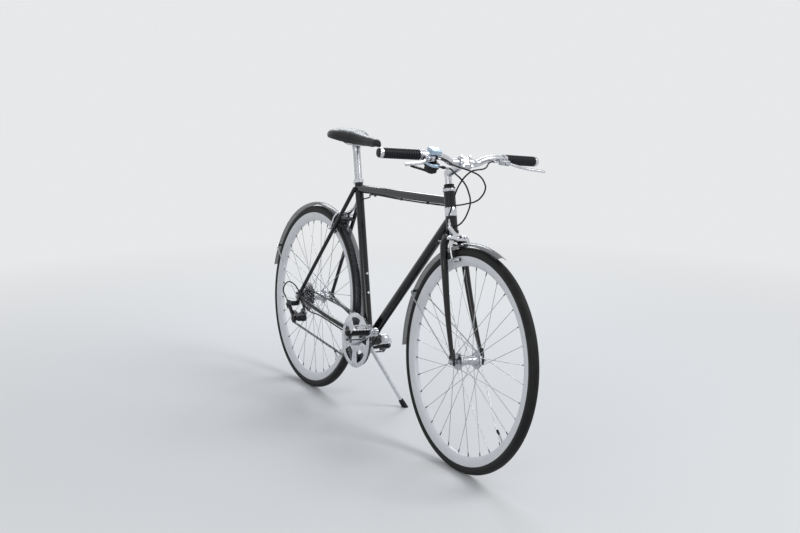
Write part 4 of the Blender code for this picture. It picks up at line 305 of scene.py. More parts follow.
# Shapes: bmeshes in the bike's space, and the outlines that they are made from
def clean(form, weld=1e-6):
    bmesh.ops.remove_doubles(form, verts=form.verts, dist=weld)
    bmesh.ops.dissolve_degenerate(form, edges=form.edges, dist=weld)
    bmesh.ops.recalc_face_normals(form, faces=form.faces)
    return form


def join(*forms):
    whole = forms[0]
    for other in forms[1:]:
        mesh = bpy.data.meshes.new("part")
        other.to_mesh(mesh)
        other.free()
        whole.from_mesh(mesh)
        bpy.data.meshes.remove(mesh)
    return whole


def copyOf(form, place):
    other = form.copy()
    other.transform(place)
    return other


def soften(form, width, segments=2, angle=30.0):
    # rounds every edge that is sharper than the angle
    limit = math.radians(angle)
    edges = [edge for edge in form.edges if edge.is_manifold and edge.calc_face_angle(0.0) > limit]
    bmesh.ops.bevel(
        form, geom=edges, offset=width, segments=segments, profile=0.5, affect="EDGES", material=-1,
        clamp_overlap=True,
    )
    return form


def lathe(profile, place, steps=48, closed=True, turn=math.tau):
    # spins a profile of (radius, height) about the place's Z axis
    form = bmesh.new()
    corners = [form.verts.new((radius, 0.0, height)) for radius, height in profile]
    pairs = list(zip(corners, corners[1:]))
    if closed and (profile[0][0] or profile[-1][0]):
        pairs.append((corners[-1], corners[0]))
    edges = [form.edges.new(pair) for pair in pairs]
    full = turn > math.tau - 0.001
    bmesh.ops.spin(
        form, geom=corners + edges, cent=(0, 0, 0), axis=(0, 0, 1), dvec=(0, 0, 0), angle=turn, steps=steps,
        use_merge=full, use_normal_flip=False, use_duplicate=False,
    )
    form.transform(place)
    return clean(form)


def arc(centre, radius, start, end, count):
    turns = [math.radians(start + (end - start) * k / count) for k in range(count + 1)]
    return [(centre[0] + radius * math.cos(t), centre[1] + radius * math.sin(t)) for t in turns]


def rod(start, end, radius, endRadius=None, sides=24, rounding=0.0):
    start, end = Vector(start), Vector(end)
    line = end - start
    hint = (1.0, 0.0, 0.0) if abs(line.normalized().y) > 0.9 else (0.0, 1.0, 0.0)
    form = bmesh.new()
    bmesh.ops.create_cone(
        form, cap_ends=True, cap_tris=False, segments=sides, radius1=radius,
        radius2=radius if endRadius is None else endRadius, depth=line.length,
    )
    if rounding:
        soften(form, rounding, 2, 50.0)
    form.transform(placeAt((start + end) / 2, line, hint))
    return form


def block(size, place, rounding=0.0006, segments=2):
    form = bmesh.new()
    bmesh.ops.create_cube(form, size=1.0)
    bmesh.ops.scale(form, vec=size, verts=form.verts)
    if rounding:
        soften(form, rounding, segments)
    form.transform(place)
    return form


def ball(centre, radius, squeeze=(1.0, 1.0, 1.0), detail=12):
    form = bmesh.new()
    bmesh.ops.create_uvsphere(form, u_segments=detail, v_segments=detail // 2 + 2, radius=radius)
    bmesh.ops.scale(form, vec=squeeze, verts=form.verts)
    form.transform(Matrix.Translation(Vector(centre)))
    return form


def fromCurve(curve, place=None):
    holder = bpy.data.objects.new("line", curve)
    bpy.context.scene.collection.objects.link(holder)
    bpy.context.view_layer.update()
    graph = bpy.context.evaluated_depsgraph_get()
    mesh = bpy.data.meshes.new_from_object(holder.evaluated_get(graph))
    form = bmesh.new()
    form.from_mesh(mesh)
    if place:
        form.transform(place)
    bpy.data.objects.remove(holder)
    bpy.data.meshes.remove(mesh)
    bpy.data.curves.remove(curve)
    return clean(form)


def tube(points, radius, radii=None, sides=16, detail=8, straight=False):
    # a round tube along points, smooth through them unless it is straight between them
    curve = bpy.data.curves.new("line", "CURVE")
    curve.dimensions = "3D"
    curve.bevel_depth = radius
    curve.bevel_resolution = (sides - 4) // 2
    curve.use_fill_caps = True
    spline = curve.splines.new("BEZIER")
    spline.bezier_points.add(len(points) - 1)
    spline.resolution_u = 1 if straight else detail
    for index, place in enumerate(points):
        knot = spline.bezier_points[index]
        knot.co = place
        knot.handle_left_type = knot.handle_right_type = "VECTOR" if straight else "AUTO"
        knot.radius = 1.0 if radii is None else radii[index] / radius
    return fromCurve(curve)


def flat(outlines, thickness, place, rounding=0.0, smooth=(), steps=4, segments=1):
    # flat outlines with their holes, rounded at the rim; the outlines numbered in smooth are curved
    curve = bpy.data.curves.new("outline", "CURVE")
    curve.dimensions = "2D"
    curve.fill_mode = "BOTH"
    curve.extrude = thickness / 2 - rounding
    curve.bevel_depth = rounding
    curve.bevel_resolution = segments
    curve.offset = -rounding
    for number, outline in enumerate(outlines):
        curved = number in smooth
        spline = curve.splines.new("BEZIER")
        spline.bezier_points.add(len(outline) - 1)
        spline.use_cyclic_u = True
        spline.resolution_u = steps if curved else 1
        for index, point in enumerate(outline):
            knot = spline.bezier_points[index]
            knot.co = (point[0], point[1], 0.0)
            knot.handle_left_type = knot.handle_right_type = "AUTO" if curved else "VECTOR"
    return fromCurve(curve, place)


def collarRing(inside, radius, low, high, cut):
    return [
        (inside, low), (radius - cut, low), (radius, low + cut), (radius, high - cut), (radius - cut, high),
        (inside, high),
    ]


def ringOf(radius, count, centre=(0.0, 0.0), start=0.0):
    turns = [start + math.tau * k / count for k in range(count)]
    return [(centre[0] + radius * math.cos(t), centre[1] + radius * math.sin(t)) for t in turns]


def hexagon(radius, height):
    form = bmesh.new()
    bmesh.ops.create_cone(form, cap_ends=True, segments=6, radius1=radius, radius2=radius, depth=height)
    return form


def hexNut(place, width, height, chamfer=0.0005):
    form = soften(hexagon(width / math.sqrt(3), height), chamfer, 2)
    form.transform(place)
    return form


def capBolt(place, radius, height, socket=0.5):
    # a round bolt head along the place's Z, with a hexagon socket in it
    deep = height * 0.6
    profile = [(0.0, 0.0), (radius, 0.0), (radius, height - 0.0005), (radius - 0.0005, height)]
    form = lathe(profile + [(radius * 0.62, height), (0.0, height)], Matrix.Identity(4), 24)
    recess = hexagon(radius * socket, deep)
    recess.transform(shift(0, 0, height - deep / 2 + 0.0002))
    form = carve(form, recess)
    form.transform(place)
    return form


def carve(form, *cutters):
    # one exact Boolean after another
    holder = asObject(form, "carved")
    tools = []
    for cutter in cutters:
        tools.append(asObject(cutter, "cutter"))
        step = holder.modifiers.new("carve", "BOOLEAN")
        step.operation = "DIFFERENCE"
        step.solver = "EXACT"
        step.object = tools[-1]
    bpy.context.view_layer.update()
    graph = bpy.context.evaluated_depsgraph_get()
    mesh = bpy.data.meshes.new_from_object(holder.evaluated_get(graph))
    result = bmesh.new()
    result.from_mesh(mesh)
    bpy.data.meshes.remove(mesh)
    for each in (holder, *tools):
        bpy.data.objects.remove(each)
    return clean(result)


def asObject(form, name):
    mesh = bpy.data.meshes.new(name)
    form.to_mesh(mesh)
    form.free()
    made = bpy.data.objects.new(name, mesh)
    bpy.context.scene.collection.objects.link(made)
    return made


def cadCopy(node, rounding=0.0004, angle=32.0):
    # a merged copy of a CAD node in the bike's space, with its edges rounded
    form = bmesh.new()
    form.from_mesh(frame["nodes"][node].data)
    form.transform(bikeSpace.inverted())
    clean(form, 2e-5)
    bmesh.ops.dissolve_limit(form, angle_limit=math.radians(1.0), verts=form.verts, edges=form.edges)
    if rounding:
        soften(form, rounding, 2, angle)
    return form


def dress(name, form, finish, replaces=()):
    form.transform(bikeSpace)
    made = asObject(form, name)
    made.data.materials.append(finish.made)
    made.data.shade_smooth()
    if replaces:
        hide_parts(*replaces)
    return made


def addPiece(name, form, finish, body, replaces=(), angle=35.0):
    # a list of forms becomes one piece
    if isinstance(form, list):
        form = join(*form)
    made = dress(name, form, finish, replaces)
    made.data.set_sharp_from_angle(angle=math.radians(angle))
    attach(made, body)


# Tires, rims, hubs with their spokes, and axles
wheel = {
    "steps": 180, "tubeCentre": 0.3273, "tubeRadius": 0.0147, "tubeWall": 0.0022, "rimEdge": 0.3165,
    "rimTip": 0.2865, "rimHalf": 0.013, "spokes": 32, "crossings": 3, "spokeRadius": 0.00095,
    "spokeCircle": 0.0222, "nippleLength": 0.0115, "nippleRadius": 0.0019, "treadGrooves": (12.0, 26.0, 40.0),
    "grooveDepth": 0.0004, "valveTurn": -41.5, "valveReach": 0.046,
}


def tireProfile():
    middle, radius = wheel["tubeCentre"], wheel["tubeRadius"]
    outer = []
    for k in range(-56, 57):
        degrees = k * 2.0
        depth = wheel["grooveDepth"] if abs(degrees) in wheel["treadGrooves"] else 0.0
        if abs(degrees) in (78.0, 80.0):
            depth = -0.0003  # the moulded line above the rim
        reach = radius - depth
        turn = math.radians(degrees)
        outer.append((middle + reach * math.cos(turn), reach * math.sin(turn)))
    bead = [(0.3172, 0.0124), (0.3135, 0.0104), (0.3135, 0.0081)]
    inner = arc((middle, 0.0), radius - wheel["tubeWall"], 100.0, -100.0, 14)
    return outer + bead + inner + [(r, -z) for r, z in reversed(bead)]


def rimProfile():
    edge, half = wheel["rimEdge"], wheel["rimHalf"]
    flank = [
        (edge, half - 0.0021), (edge + 0.0004, half - 0.0015), (edge + 0.0004, half - 0.0004),
        (edge - 0.0002, half), (edge - 0.0125, half), (edge - 0.013, half - 0.0003), (edge - 0.0136, half),
        (edge - 0.0165, half - 0.0004), (0.295, 0.0105), (0.2905, 0.0076), (0.2876, 0.0046), (0.2865, 0.0016),
    ]
    floor = [(edge, 0.0021 - half), (0.305, -0.0107), (0.303, -0.0089), (0.303, 0.0089), (0.305, 0.0107)]
    return floor + flank + [(r, -z) for r, z in reversed(flank)][:-1]


def valve(centre):
    turn = wheel["valveTurn"]
    line = (side(centre) - roundWheel(centre, 1.0, turn)).normalized()
    place = placeAt(roundWheel(centre, wheel["rimTip"] + 0.002, turn), line)
    stem = [(0.0, 0.0), (0.003, 0.0), (0.003, 0.03), (0.0024, 0.031), (0.0, 0.031)]
    ring = [(0.0, 0.0005), (0.0052, 0.0005), (0.0052, 0.003), (0.0044, 0.0036), (0.0, 0.0036)]
    reach = wheel["valveReach"]
    cap = [
        (0.0, 0.029), (0.0036, 0.029), (0.0038, 0.03), (0.0038, reach - 0.003), (0.003, reach - 0.0008),
        (0.0018, reach), (0.0, reach),
    ]
    return join(lathe(stem, place, 20), lathe(ring, place, 6)), lathe(cap, place, 20)


def spokes(centre, leftFlange, rightFlange):
    # laced three-cross, each flange leading and trailing in turn
    count = wheel["spokes"]
    spread = math.tau * wheel["crossings"] / (count // 2)
    wires, nipples = [], []
    for k in range(count):
        hand = left if k % 2 == 0 else right
        lead = 1 if (k // 2) % 2 else -1
        rimTurn = math.tau * k / count
        hubTurn = rimTurn - lead * spread
        hubY = (leftFlange if hand == left else rightFlange) + lead * 0.0019
        rimY = hand * 0.0012 + lead * 0.0006
        start = roundWheel(centre, wheel["spokeCircle"], math.degrees(hubTurn), hubY)
        end = roundWheel(centre, wheel["rimTip"] - 0.0004, math.degrees(rimTurn), rimY)
        line = (end - start).normalized()
        wires.append(rod(start, end, wheel["spokeRadius"], sides=8))
        wires.append(rod(start - across * lead * 0.0042, start + line * 0.0004, 0.00105, sides=8))
        wires.append(ball(start - across * lead * 0.0042, 0.0019, (1.0, 0.55, 1.0), 8))
        tip = end + line * 0.0012
        low, high = wheel["nippleRadius"], wheel["nippleRadius"] + 0.0003
        nipples.append(rod(tip - line * wheel["nippleLength"], tip, low * 0.8, low, sides=8))
        nipples.append(rod(tip - line * 0.0022, tip + line * 0.001, high, sides=8))
    return join(*wires), join(*nipples)


def flange(y, radius, half):
    return [
        (radius - 0.0008, y + half), (radius, y + half - 0.0008), (radius, y - half + 0.0008),
        (radius - 0.0008, y - half),
    ]


def makeWheel(centre, prefix, body, hubProfile, flanges):
    tire = lathe(tireProfile(), lateral(centre), wheel["steps"])
    addPiece(prefix + "Tire", tire, tireRubber, body, [prefix + "_tire"], 60.0)
    rim = lathe(rimProfile(), lateral(centre), wheel["steps"])
    addPiece(prefix + "Rim", rim, rimEnamel, body, [prefix + "_rim"], 50.0)
    shell = lathe(hubProfile, lateral(centre), 48)
    addPiece(prefix + "HubShell", shell, satinAlloy, body, [prefix + "_hub"], 40.0)
    wires, nipples = spokes(centre, *flanges)
    addPiece(prefix + "Spokes", wires, brightSteel, body, angle=50.0)
    addPiece(prefix + "Nipples", nipples, darkNickel, body, angle=50.0)
    stem, cap = valve(centre)
    addPiece(prefix + "ValveStem", stem, brightSteel, body)
    addPiece(prefix + "ValveCap", cap, blackPlastic, body, angle=50.0)


def hubProfileOf(leftEnd, rightEnd, leftFlange, rightFlange, bore, waist, rightRim=None):
    half = 0.0022
    inner, outer = leftFlange - half, rightFlange + half
    leftRim = [(0.0112, leftEnd - 0.0012), (0.0122, leftFlange + half + 0.0008), (0.0135, leftFlange + half)]
    plainRim = [
        (0.0135, rightFlange - half), (0.0122, rightFlange - half - 0.0008), (0.0112, rightEnd + 0.0012),
    ]
    return [
        (bore, leftEnd), (0.0098, leftEnd), *leftRim, *flange(leftFlange, 0.0262, half), (0.0165, inner),
        (waist + 0.0012, inner - 0.005), (waist, leftFlange - 0.015), (waist, rightFlange + 0.015),
        (waist + 0.0012, outer + 0.005), (0.0165, outer), *flange(rightFlange, 0.0262, half),
        *(rightRim or plainRim), (0.0098, rightEnd), (bore, rightEnd),
    ]


def makeWheels():
    front = hubProfileOf(0.0385, -0.0385, 0.034, -0.034, 0.005, 0.0125)
    makeWheel(frontAxle, "front", "front_wheel", front, (0.034, -0.034))
    stub = [(0.015, -0.024), (0.015, -0.0242)]
    rear = hubProfileOf(0.04, -0.025, 0.0345, -0.0215, 0.0056, 0.015, stub)
    makeWheel(rearAxle, "rear", "rear_wheel", rear, (0.0345, -0.0215))


def makeAxle(centre, name, body, node, radius, cones, locknut, dropout, nut):
    outer = locknut + 2 * bike["gap"] + dropout
    end = outer + nut
    shaft = [
        (0.0, end + 0.003), (radius - 0.0008, end + 0.003), (radius, end + 0.0022), (radius, -end - 0.0022),
        (radius - 0.0008, -end - 0.003), (0.0, -end - 0.003),
    ]
    pieces = [lathe(shaft, lateral(centre), 24)]
    for hand, cone in zip((left, right), cones):
        back = cone + 0.003
        inner = [(radius, cone), (0.0078, cone), (0.0088, cone + 0.0012), (0.0088, back), (radius, back)]
        place = lateral(centre) if hand == left else upright(centre)
        pieces.append(lathe(inner, place, 32))
        thick = min(0.0035, locknut - cone - 0.0032)
        if thick > 0.001:
            pieces.append(hexNut(place @ shift(0, 0, locknut - thick / 2), 0.015, thick))
        washer = [(radius, outer), (0.0084, outer), (0.0084, outer + 0.0012), (radius, outer + 0.0012)]
        pieces.append(lathe(washer, place, 32))
        nutMiddle = (outer + 0.0012 + end) / 2
        pieces.append(hexNut(place @ shift(0, 0, nutMiddle), 0.0142, nut - 0.0012))
    addPiece(name, pieces, brightSteel, body, [node], 30.0)


makeWheels()
makeAxle(frontAxle, "frontAxle", "steering", "front_axle", 0.0045, (0.04, 0.04), 0.05, 0.005, 0.008)
makeAxle(rearAxle, "rearAxle", "frame", "rear_axle", 0.005, (0.0415, 0.0605), 0.065, 0.006, 0.008)
print("wheels made")


# The frame's tubes
tubes = {
    "topRadius": 0.0143, "topSeat": 0.7815, "topHead": 0.8075, "downRadius": 0.0159, "downHead": 0.754,
    "seatRadius": 0.0147, "seatTop": 0.811, "shellRadius": 0.0205, "shellHalf": 0.034, "headRadius": 0.018,
    "headLow": 0.402, "headHigh": 0.5237,
}


def makeMainTubes():
    top = tubes["topRadius"]
    seatEnd, headEnd = seat(tubes["topSeat"]), steer(steerAtHeight(tubes["topHead"]))
    addPiece("topTube", rod(seatEnd, headEnd, top, sides=48), framePaint, "frame", ["top_tube"])
    down = tubes["downRadius"]
    downHead = steer(steerAtHeight(tubes["downHead"]))
    line = (downHead - side(bracket)).normalized()
    lower = rod(side(bracket) + line * 0.01, downHead, down, sides=48)
    stop = rod(byDownTube(0.842, 69), byDownTube(0.868, 69), 0.005, sides=20, rounding=0.0006)
    hole = rod(byDownTube(0.83, 69), byDownTube(0.88, 69), 0.0028, sides=16)
    addPiece("downTube", join(lower, carve(stop, hole)), framePaint, "frame", ["down_tube"])

    radius = tubes["seatRadius"]
    profile = [(0.0133, 0.0), (radius - 0.0004, 0.0), (radius, -0.0005), (radius, -0.52), (0.0133, -0.52)]
    pieces = [lathe(profile, placeAt(seat(tubes["seatTop"]), seatUp), 48)]
    shell, half = tubes["shellRadius"], tubes["shellHalf"]
    barrel = [
        (0.0173, half), (shell - 0.0006, half), (shell, half - 0.0006), (shell, 0.0006 - half),
        (shell - 0.0006, -half), (0.0173, -half),
    ]
    pieces.append(lathe(barrel, lateral(bracket), 64))
    forward = Vector((seatUp.z, 0.0, -seatUp.x))
    bolts = []
    for height in (0.491, 0.427):
        face = seat(height) + forward * (radius - 0.001)
        pieces.append(rod(face, face + forward * 0.0028, 0.0056, 0.0048, sides=24))
        bolts.append(capBolt(placeAt(face + forward * 0.0024, forward), 0.0044, 0.003))
    addPiece("seatTube", pieces, framePaint, "frame", ["seat_tube"])
    start = byDownTube(0.868, 69)
    bolts.append(rod(start, start + line * 0.0035, 0.0048, 0.0042, sides=20, rounding=0.0004))
    addPiece("bottleBolts", bolts, polishedAlloy, "frame", angle=30.0)


def byDownTube(share, turn):
    # a place on the cable's line along the tube, turned about it from the right side down
    start, end = side(bracket), steer(steerAtHeight(tubes["downHead"]))
    below = (end - start).normalized().cross(-across)
    angle = math.radians(turn)
    out = tubes["downRadius"] + 0.0024 + 0.0005
    return start.lerp(end, share) + (below * math.sin(angle) - across * math.cos(angle)) * out


def makeHeadTube():
    radius, low, high = tubes["headRadius"], tubes["headLow"], tubes["headHigh"]
    place = placeAt(steer(0.0), steerUp)
    inside = 0.0131
    cup = low - 0.01
    profile = [
        (inside, high), (radius - 0.0005, high), (radius, high - 0.0005), (radius, low + 0.0004),
        (inside, low + 0.0004),
    ]
    addPiece("headTube", lathe(profile, place, 64), framePaint, "frame", ["head_tube"])
    lower = [
        (inside, low), (radius + 0.0018, low), (radius + 0.0024, low - 0.0008),
        (radius + 0.0024, cup + 0.0036), (radius + 0.0016, cup + 0.0028), (radius + 0.001, cup + 0.0004),
        (radius + 0.0002, cup), (inside, cup),
    ]
    addPiece("headsetLowerCup", lathe(lower, place, 64), blackPlastic, "frame", angle=30.0)
    band = [
        (radius - 0.001, low + 0.045), (radius + 0.0005, low + 0.045), (radius + 0.0007, low + 0.0454),
        (radius + 0.0007, low + 0.0714), (radius + 0.0005, low + 0.0718), (radius - 0.001, low + 0.0718),
    ]
    addPiece("headTubeBand", lathe(band, place, 64), polishedAlloy, "frame", angle=30.0)

    base = high + bike["gap"]
    upper = [
        (inside, base - 0.009), (radius - 0.003, base - 0.009), (radius - 0.003, base),
        (radius + 0.001, base), (radius + 0.0014, base + 0.0006), (radius + 0.003, base + 0.0026),
        (radius + 0.003, base + 0.0052), (radius + 0.0024, base + 0.0058), (radius + 0.0024, base + 0.0074),
        (radius + 0.0014, base + 0.0094), (radius, base + 0.01), (inside, base + 0.01),
    ]
    addPiece("headsetUpperCup", lathe(upper, place, 64), polishedAlloy, "frame", ["headset_upper_cup"], 30.0)
    nut = base + 0.0103
    ring = [
        (inside, nut), (0.0196, nut), (0.02, nut + 0.0005), (0.02, nut + 0.0026), (0.0194, nut + 0.0032),
        (0.017, nut + 0.004), (0.0166, nut + 0.0046), (0.0166, nut + 0.0122), (0.0158, nut + 0.013),
        (inside, nut + 0.013),
    ]
    addPiece("headsetLocknut", lathe(ring, place, 8), blackPlastic, "steering", ["headset_locknut"], 25.0)


makeMainTubes()
makeHeadTube()
print("main tubes made")

# Rear triangle, with the frame ends, bridges and the stand's bracket
stays = {
    "endY": 0.0683, "chainstay": 0.0092, "chainstayTip": 0.007, "seatstay": 0.0075, "bridgeUp": 0.3615,
    "shares": (
        (0.972, 0.0235), (0.865, 0.0262), (0.779, 0.03), (0.674, 0.0385), (0.558, 0.0475), (0.349, 0.0585),
        (0.0744, 0.0677),
    ),
    "leftEnd": [
        (0.044, -0.012), (0.044, -0.002), (0.018, 0.008), (0.016, 0.017), (0.01, 0.03), (0.0, 0.027),
        (-0.002, 0.016), (-0.012, 0.016), (-0.023, 0.014), (-0.023, 0.004), (-0.013, 0.0), (-0.013, -0.012),
        (0.004, -0.014), (0.014, -0.014),
    ],
    "hanger": [(-0.016, -0.02), (-0.018, -0.03), (-0.008, -0.036), (0.003, -0.03), (0.003, -0.016)],
}
seatstayFoot = Vector((0.006, stays["endY"], bike["wheelRadius"] + 0.016))
seatstayHead = seat(0.779, 0.0165) - Vector((0.004, 0.0, 0.0))
seatstayLine = (seatstayHead - seatstayFoot).normalized()
bridge = seatstayFoot + seatstayLine * stays["bridgeUp"]
caliper = {"standOff": 0.0262, "reach": 0.0692, "layer": 0.008, "pivot": (0.0185, -0.003), "barrelX": -0.029}
frontCaliper = placeAt(steer(0.377) + steerForward * caliper["standOff"], steerForward, across)
stayBack = Vector((-seatstayLine.z, 0.0, seatstayLine.x)).normalized()
rearCaliper = placeAt(
    Vector((bridge.x, 0.0, bridge.z)) + stayBack * (caliper["standOff"] - 0.008), stayBack, -across
)


def flip(place, hand):
    return Vector((place[0], hand * place[1], place[2]))


def frameEnd(centre, y, thickness, outline, slotRadius, slotLine):
    plate = flat([outline], thickness, upright(centre, y), 0.0008, segments=2)
    line = Vector((slotLine[0], 0.0, slotLine[1])).normalized()
    start = side(centre, y)
    slot = block((0.02, 2 * slotRadius, 0.05), placeAt(start + line * 0.025, line), 0.0)
    eye = rod(start - across * 0.01, start + across * 0.01, slotRadius, sides=32)
    return carve(plate, slot, eye)


def carrier(place, behind):
    # the centre bolt and the small plate with the second pivot
    top = 2 * caliper["layer"] + 0.0025
    pivotX, pivotY = caliper["pivot"]
    bolt = rod(place @ Vector((0, 0, -behind - 0.004)), place @ Vector((0, 0, caliper["layer"])), 0.003)
    bar = block((0.03, 0.01, 0.0022), place @ shift(0.0093, -0.0015, -0.0014), 0.0005)
    pinEnds = (place @ Vector((pivotX, pivotY, height)) for height in (-0.002, top))
    pin = rod(*pinEnds, 0.003, rounding=0.0004)
    nut = hexNut(place @ shift(pivotX, pivotY, top - 0.0013), 0.0076, 0.0024)
    return join(bolt, bar, pin, nut)


def makeChainstays():
    path = [side(rearAxle, y).lerp(side(bracket, y), share) for share, y in stays["shares"]]
    thick, thin = stays["chainstay"], stays["chainstayTip"]
    radii = [thick - (thick - thin) * k / 6 for k in range(7)]
    pieces = []
    for hand in (left, right):
        points = [flip(p, hand) for p in path]
        pieces.append(tube(points, thick, radii, 28, 10))
        pieces.append(ball(points[-1], thin * 0.985, detail=24))
        outline = list(stays["leftEnd"])
        if hand == right:
            outline[11:13] = stays["hanger"]
        pieces.append(frameEnd(rearAxle, hand * stays["endY"], 0.006, outline, 0.0053, (0.93, -0.36)))
    fenderBridge = roundWheel(rearAxle, fender["radius"] + fender["bridgeUp"], fender["bridgeTurn"])
    pieces.append(rod(fenderBridge - across * 0.027, fenderBridge + across * 0.027, 0.005))
    low = side(bracket) - Vector((0.051, 0.0, 0.0))
    pieces.append(block((0.034, 0.05, 0.0045), Matrix.Translation(low), 0.001, 3))
    addPiece("chainstays", pieces, framePaint, "frame", ["chainstays"])
    addPiece("standBracket", join(*standBracket()), framePaint, "frame")


def makeSeatstays():
    pieces = []
    for hand in (left, right):
        foot, head = flip(seatstayFoot, hand), flip(seatstayHead, hand)
        pieces.append(rod(foot, head, stays["seatstay"] - 0.001, stays["seatstay"], sides=32))
        pieces.append(ball(foot, stays["seatstay"] - 0.00105, detail=24))
        pieces.append(ball(head, stays["seatstay"] * 0.995, detail=24))
    pieces.append(rod(flip(bridge, -1), bridge, 0.0075, sides=32))
    addPiece("seatstays", pieces, framePaint, "frame", ["seatstays"])
    addPiece("rearCarrier", carrier(rearCaliper, 0.011), brightSteel, "frame")


# Fork and its fittings. A blade's rows are (up from the crown, forward, out, radius)
fork = {
    "crown": 0.377, "steererRadius": 0.0127, "steererTop": 0.545, "endY": 0.0528, "cup": 0.01,
    "blade": (
        (0.002, 0.0, 0.004, 0.0122), (-0.001, 0.0, 0.02, 0.0122), (-0.013, 0.0, 0.031, 0.0122),
        (-0.037, 0.0002, 0.0358, 0.012), (-0.107, 0.0022, 0.039, 0.011), (-0.197, 0.0078, 0.044, 0.0096),
        (-0.287, 0.0176, 0.049, 0.0078), (-0.357, 0.0285, 0.0528, 0.0064),
    ),
    "end": [
        (0.011, 0.004), (0.008, 0.02), (0.0, 0.038), (-0.012, 0.036), (-0.009, 0.018), (-0.021, 0.014),
        (-0.021, 0.004), (-0.011, 0.0), (-0.011, -0.012), (0.011, -0.012),
    ],
}


def makeFork():
    crown = fork["crown"]
    low, high = crown - 0.006, tubes["headLow"] - fork["cup"] - bike["gap"]
    profile = [
        (0.0, low), (0.015, low), (0.0165, low + 0.0012), (0.0165, high - 0.0012), (0.0156, high),
        (0.0, high),
    ]
    place = placeAt(steer(0.0), steerUp)
    steerer = rod(steer(high), steer(fork["steererTop"]), fork["steererRadius"], sides=48)
    pieces = [lathe(profile, place, 64), steerer]
    radii = [row[3] for row in fork["blade"]]
    for hand in (left, right):
        points = [steer(crown + row[0], row[1], hand * row[2]) for row in fork["blade"]]
        pieces.append(tube(points, radii[0], radii, 32, 10))
        pieces.append(ball(points[-1], 0.0063, detail=24))
        pieces.append(frameEnd(frontAxle, hand * fork["endY"], 0.005, fork["end"], 0.0048, (0.0, -1.0)))
    pieces.append(ball(steer(crown), 0.0124, detail=24))
    addPiece("fork", pieces, framePaint, "steering", ["fork"])
    addPiece("frontCarrier", carrier(frontCaliper, 0.014), brightSteel, "steering")


# Fenders and their wire stays
fender = {
    "radius": 0.3565, "half": 0.018, "sheet": 0.0014, "wire": 0.0019, "drop": 0.0068, "bridgeUp": 0.01496,
    "bridgeTurn": -9.374,
}


def fenderSection():
    # the channel's section as (radius, width): a shallow crown with a rolled lip at each side
    radius, half, sheet = fender["radius"], fender["half"], fender["sheet"]
    shares = [k / 12 - 1.0 for k in range(25)]
    outer = [(radius - fender["drop"] * s * s + sheet / 2, half * s) for s in shares]
    inner = [(radius - fender["drop"] * s * s - sheet / 2, (half - 0.0003) * s) for s in reversed(shares)]
    lip = radius - fender["drop"]
    rightLip = [(lip + 0.0004, half + 0.0005), (lip - 0.0008, half + 0.0006), (lip - 0.0013, half)]
    leftLip = [(r, -z) for r, z in reversed(rightLip)]
    return outer + rightLip + inner + leftLip


def makeFender(centre, name, node, body, start, end, seats):
    steps = round((end - start) / 1.5)
    turn = -math.radians(end - start)
    place = lateral(centre) @ Matrix.Rotation(-math.radians(start), 4, "Z")
    shell = lathe(fenderSection(), place, steps, turn=turn)
    openEdges = [edge for edge in shell.edges if edge.is_boundary]
    bmesh.ops.holes_fill(shell, edges=openEdges, sides=0)
    bmesh.ops.recalc_face_normals(shell, faces=shell.faces)
    addPiece(name, shell, smokedPlastic, body, [node], 40.0)
    tabs = []
    for point, clearance in seats:
        outward = point - side(centre)
        degrees = math.degrees(math.atan2(outward.z, outward.x))
        top = outward.length - clearance
        low = fender["radius"] + 0.0005
        middle = roundWheel(centre, (low + top) / 2, degrees)
        tabs.append(block((0.014, 0.01, top - low), placeAt(middle, middle - side(centre)), 0.0012, 3))
        foot = roundWheel(centre, low + 0.0008, degrees)
        tabs.append(block((0.02, 0.024, 0.0012), placeAt(foot, foot - side(centre)), 0.0004))
        for along in (-0.0085, 0.0085):
            spot = roundWheel(centre, low + 0.0012, degrees + math.degrees(along / low))
            tabs.append(ball(spot, 0.003, (1.0, 1.0, 0.45), 12))
    addPiece(name + "Tabs", tabs, darkNickel, body)


def makeStay(centre, name, node, body, anchor, anchorY, clampAt):
    over = fender["radius"] + fender["sheet"] / 2 + fender["wire"] + 0.0008
    half = fender["half"]
    start = Vector((anchor[0], anchorY, anchor[1]))
    clear = start + (roundWheel(centre, fender["radius"], clampAt, anchorY) - start).normalized() * 0.018
    path = [
        start, clear, roundWheel(centre, fender["radius"] - 0.03, clampAt, 0.027),
        roundWheel(centre, fender["radius"] - 0.008, clampAt, half + 0.0044),
        roundWheel(centre, over - 0.0035, clampAt, half - 0.001), roundWheel(centre, over, clampAt, 0.008),
    ]
    points = path + [flip(p, -1) for p in reversed(path)]
    pieces = [tube(points, fender["wire"], sides=12, detail=5)]
    for hand in (left, right):
        eye = flip(start, hand)
        pieces.append(rod(eye - across * 0.0017, eye + across * 0.0017, 0.0042, rounding=0.0005))
        head = placeAt(eye + across * hand * 0.0016, across * hand)
        pieces.append(capBolt(head, 0.0036, 0.0026))
    middle = roundWheel(centre, over + 0.0002, clampAt)
    pieces.append(block((0.024, 0.012, 0.0048), placeAt(middle, middle - side(centre)), 0.0012, 3))
    addPiece(name, pieces, brightSteel, body, [node])


# Side stand
stand = {
    "pivot": Vector((0.38, 0.02, 0.2545)), "foot": (0.427, 0.173), "folded": Vector((-0.975, 0.19, 0.11)),
}


def standAxis():
    lean = math.tan(math.radians(bike["lean"]))
    foot = Vector((stand["foot"][0], stand["foot"][1], stand["foot"][1] * lean))
    leg = (foot - stand["pivot"]).normalized()
    between = (leg - stand["folded"].normalized()).normalized()
    return (across - between * between.y).normalized(), leg, foot


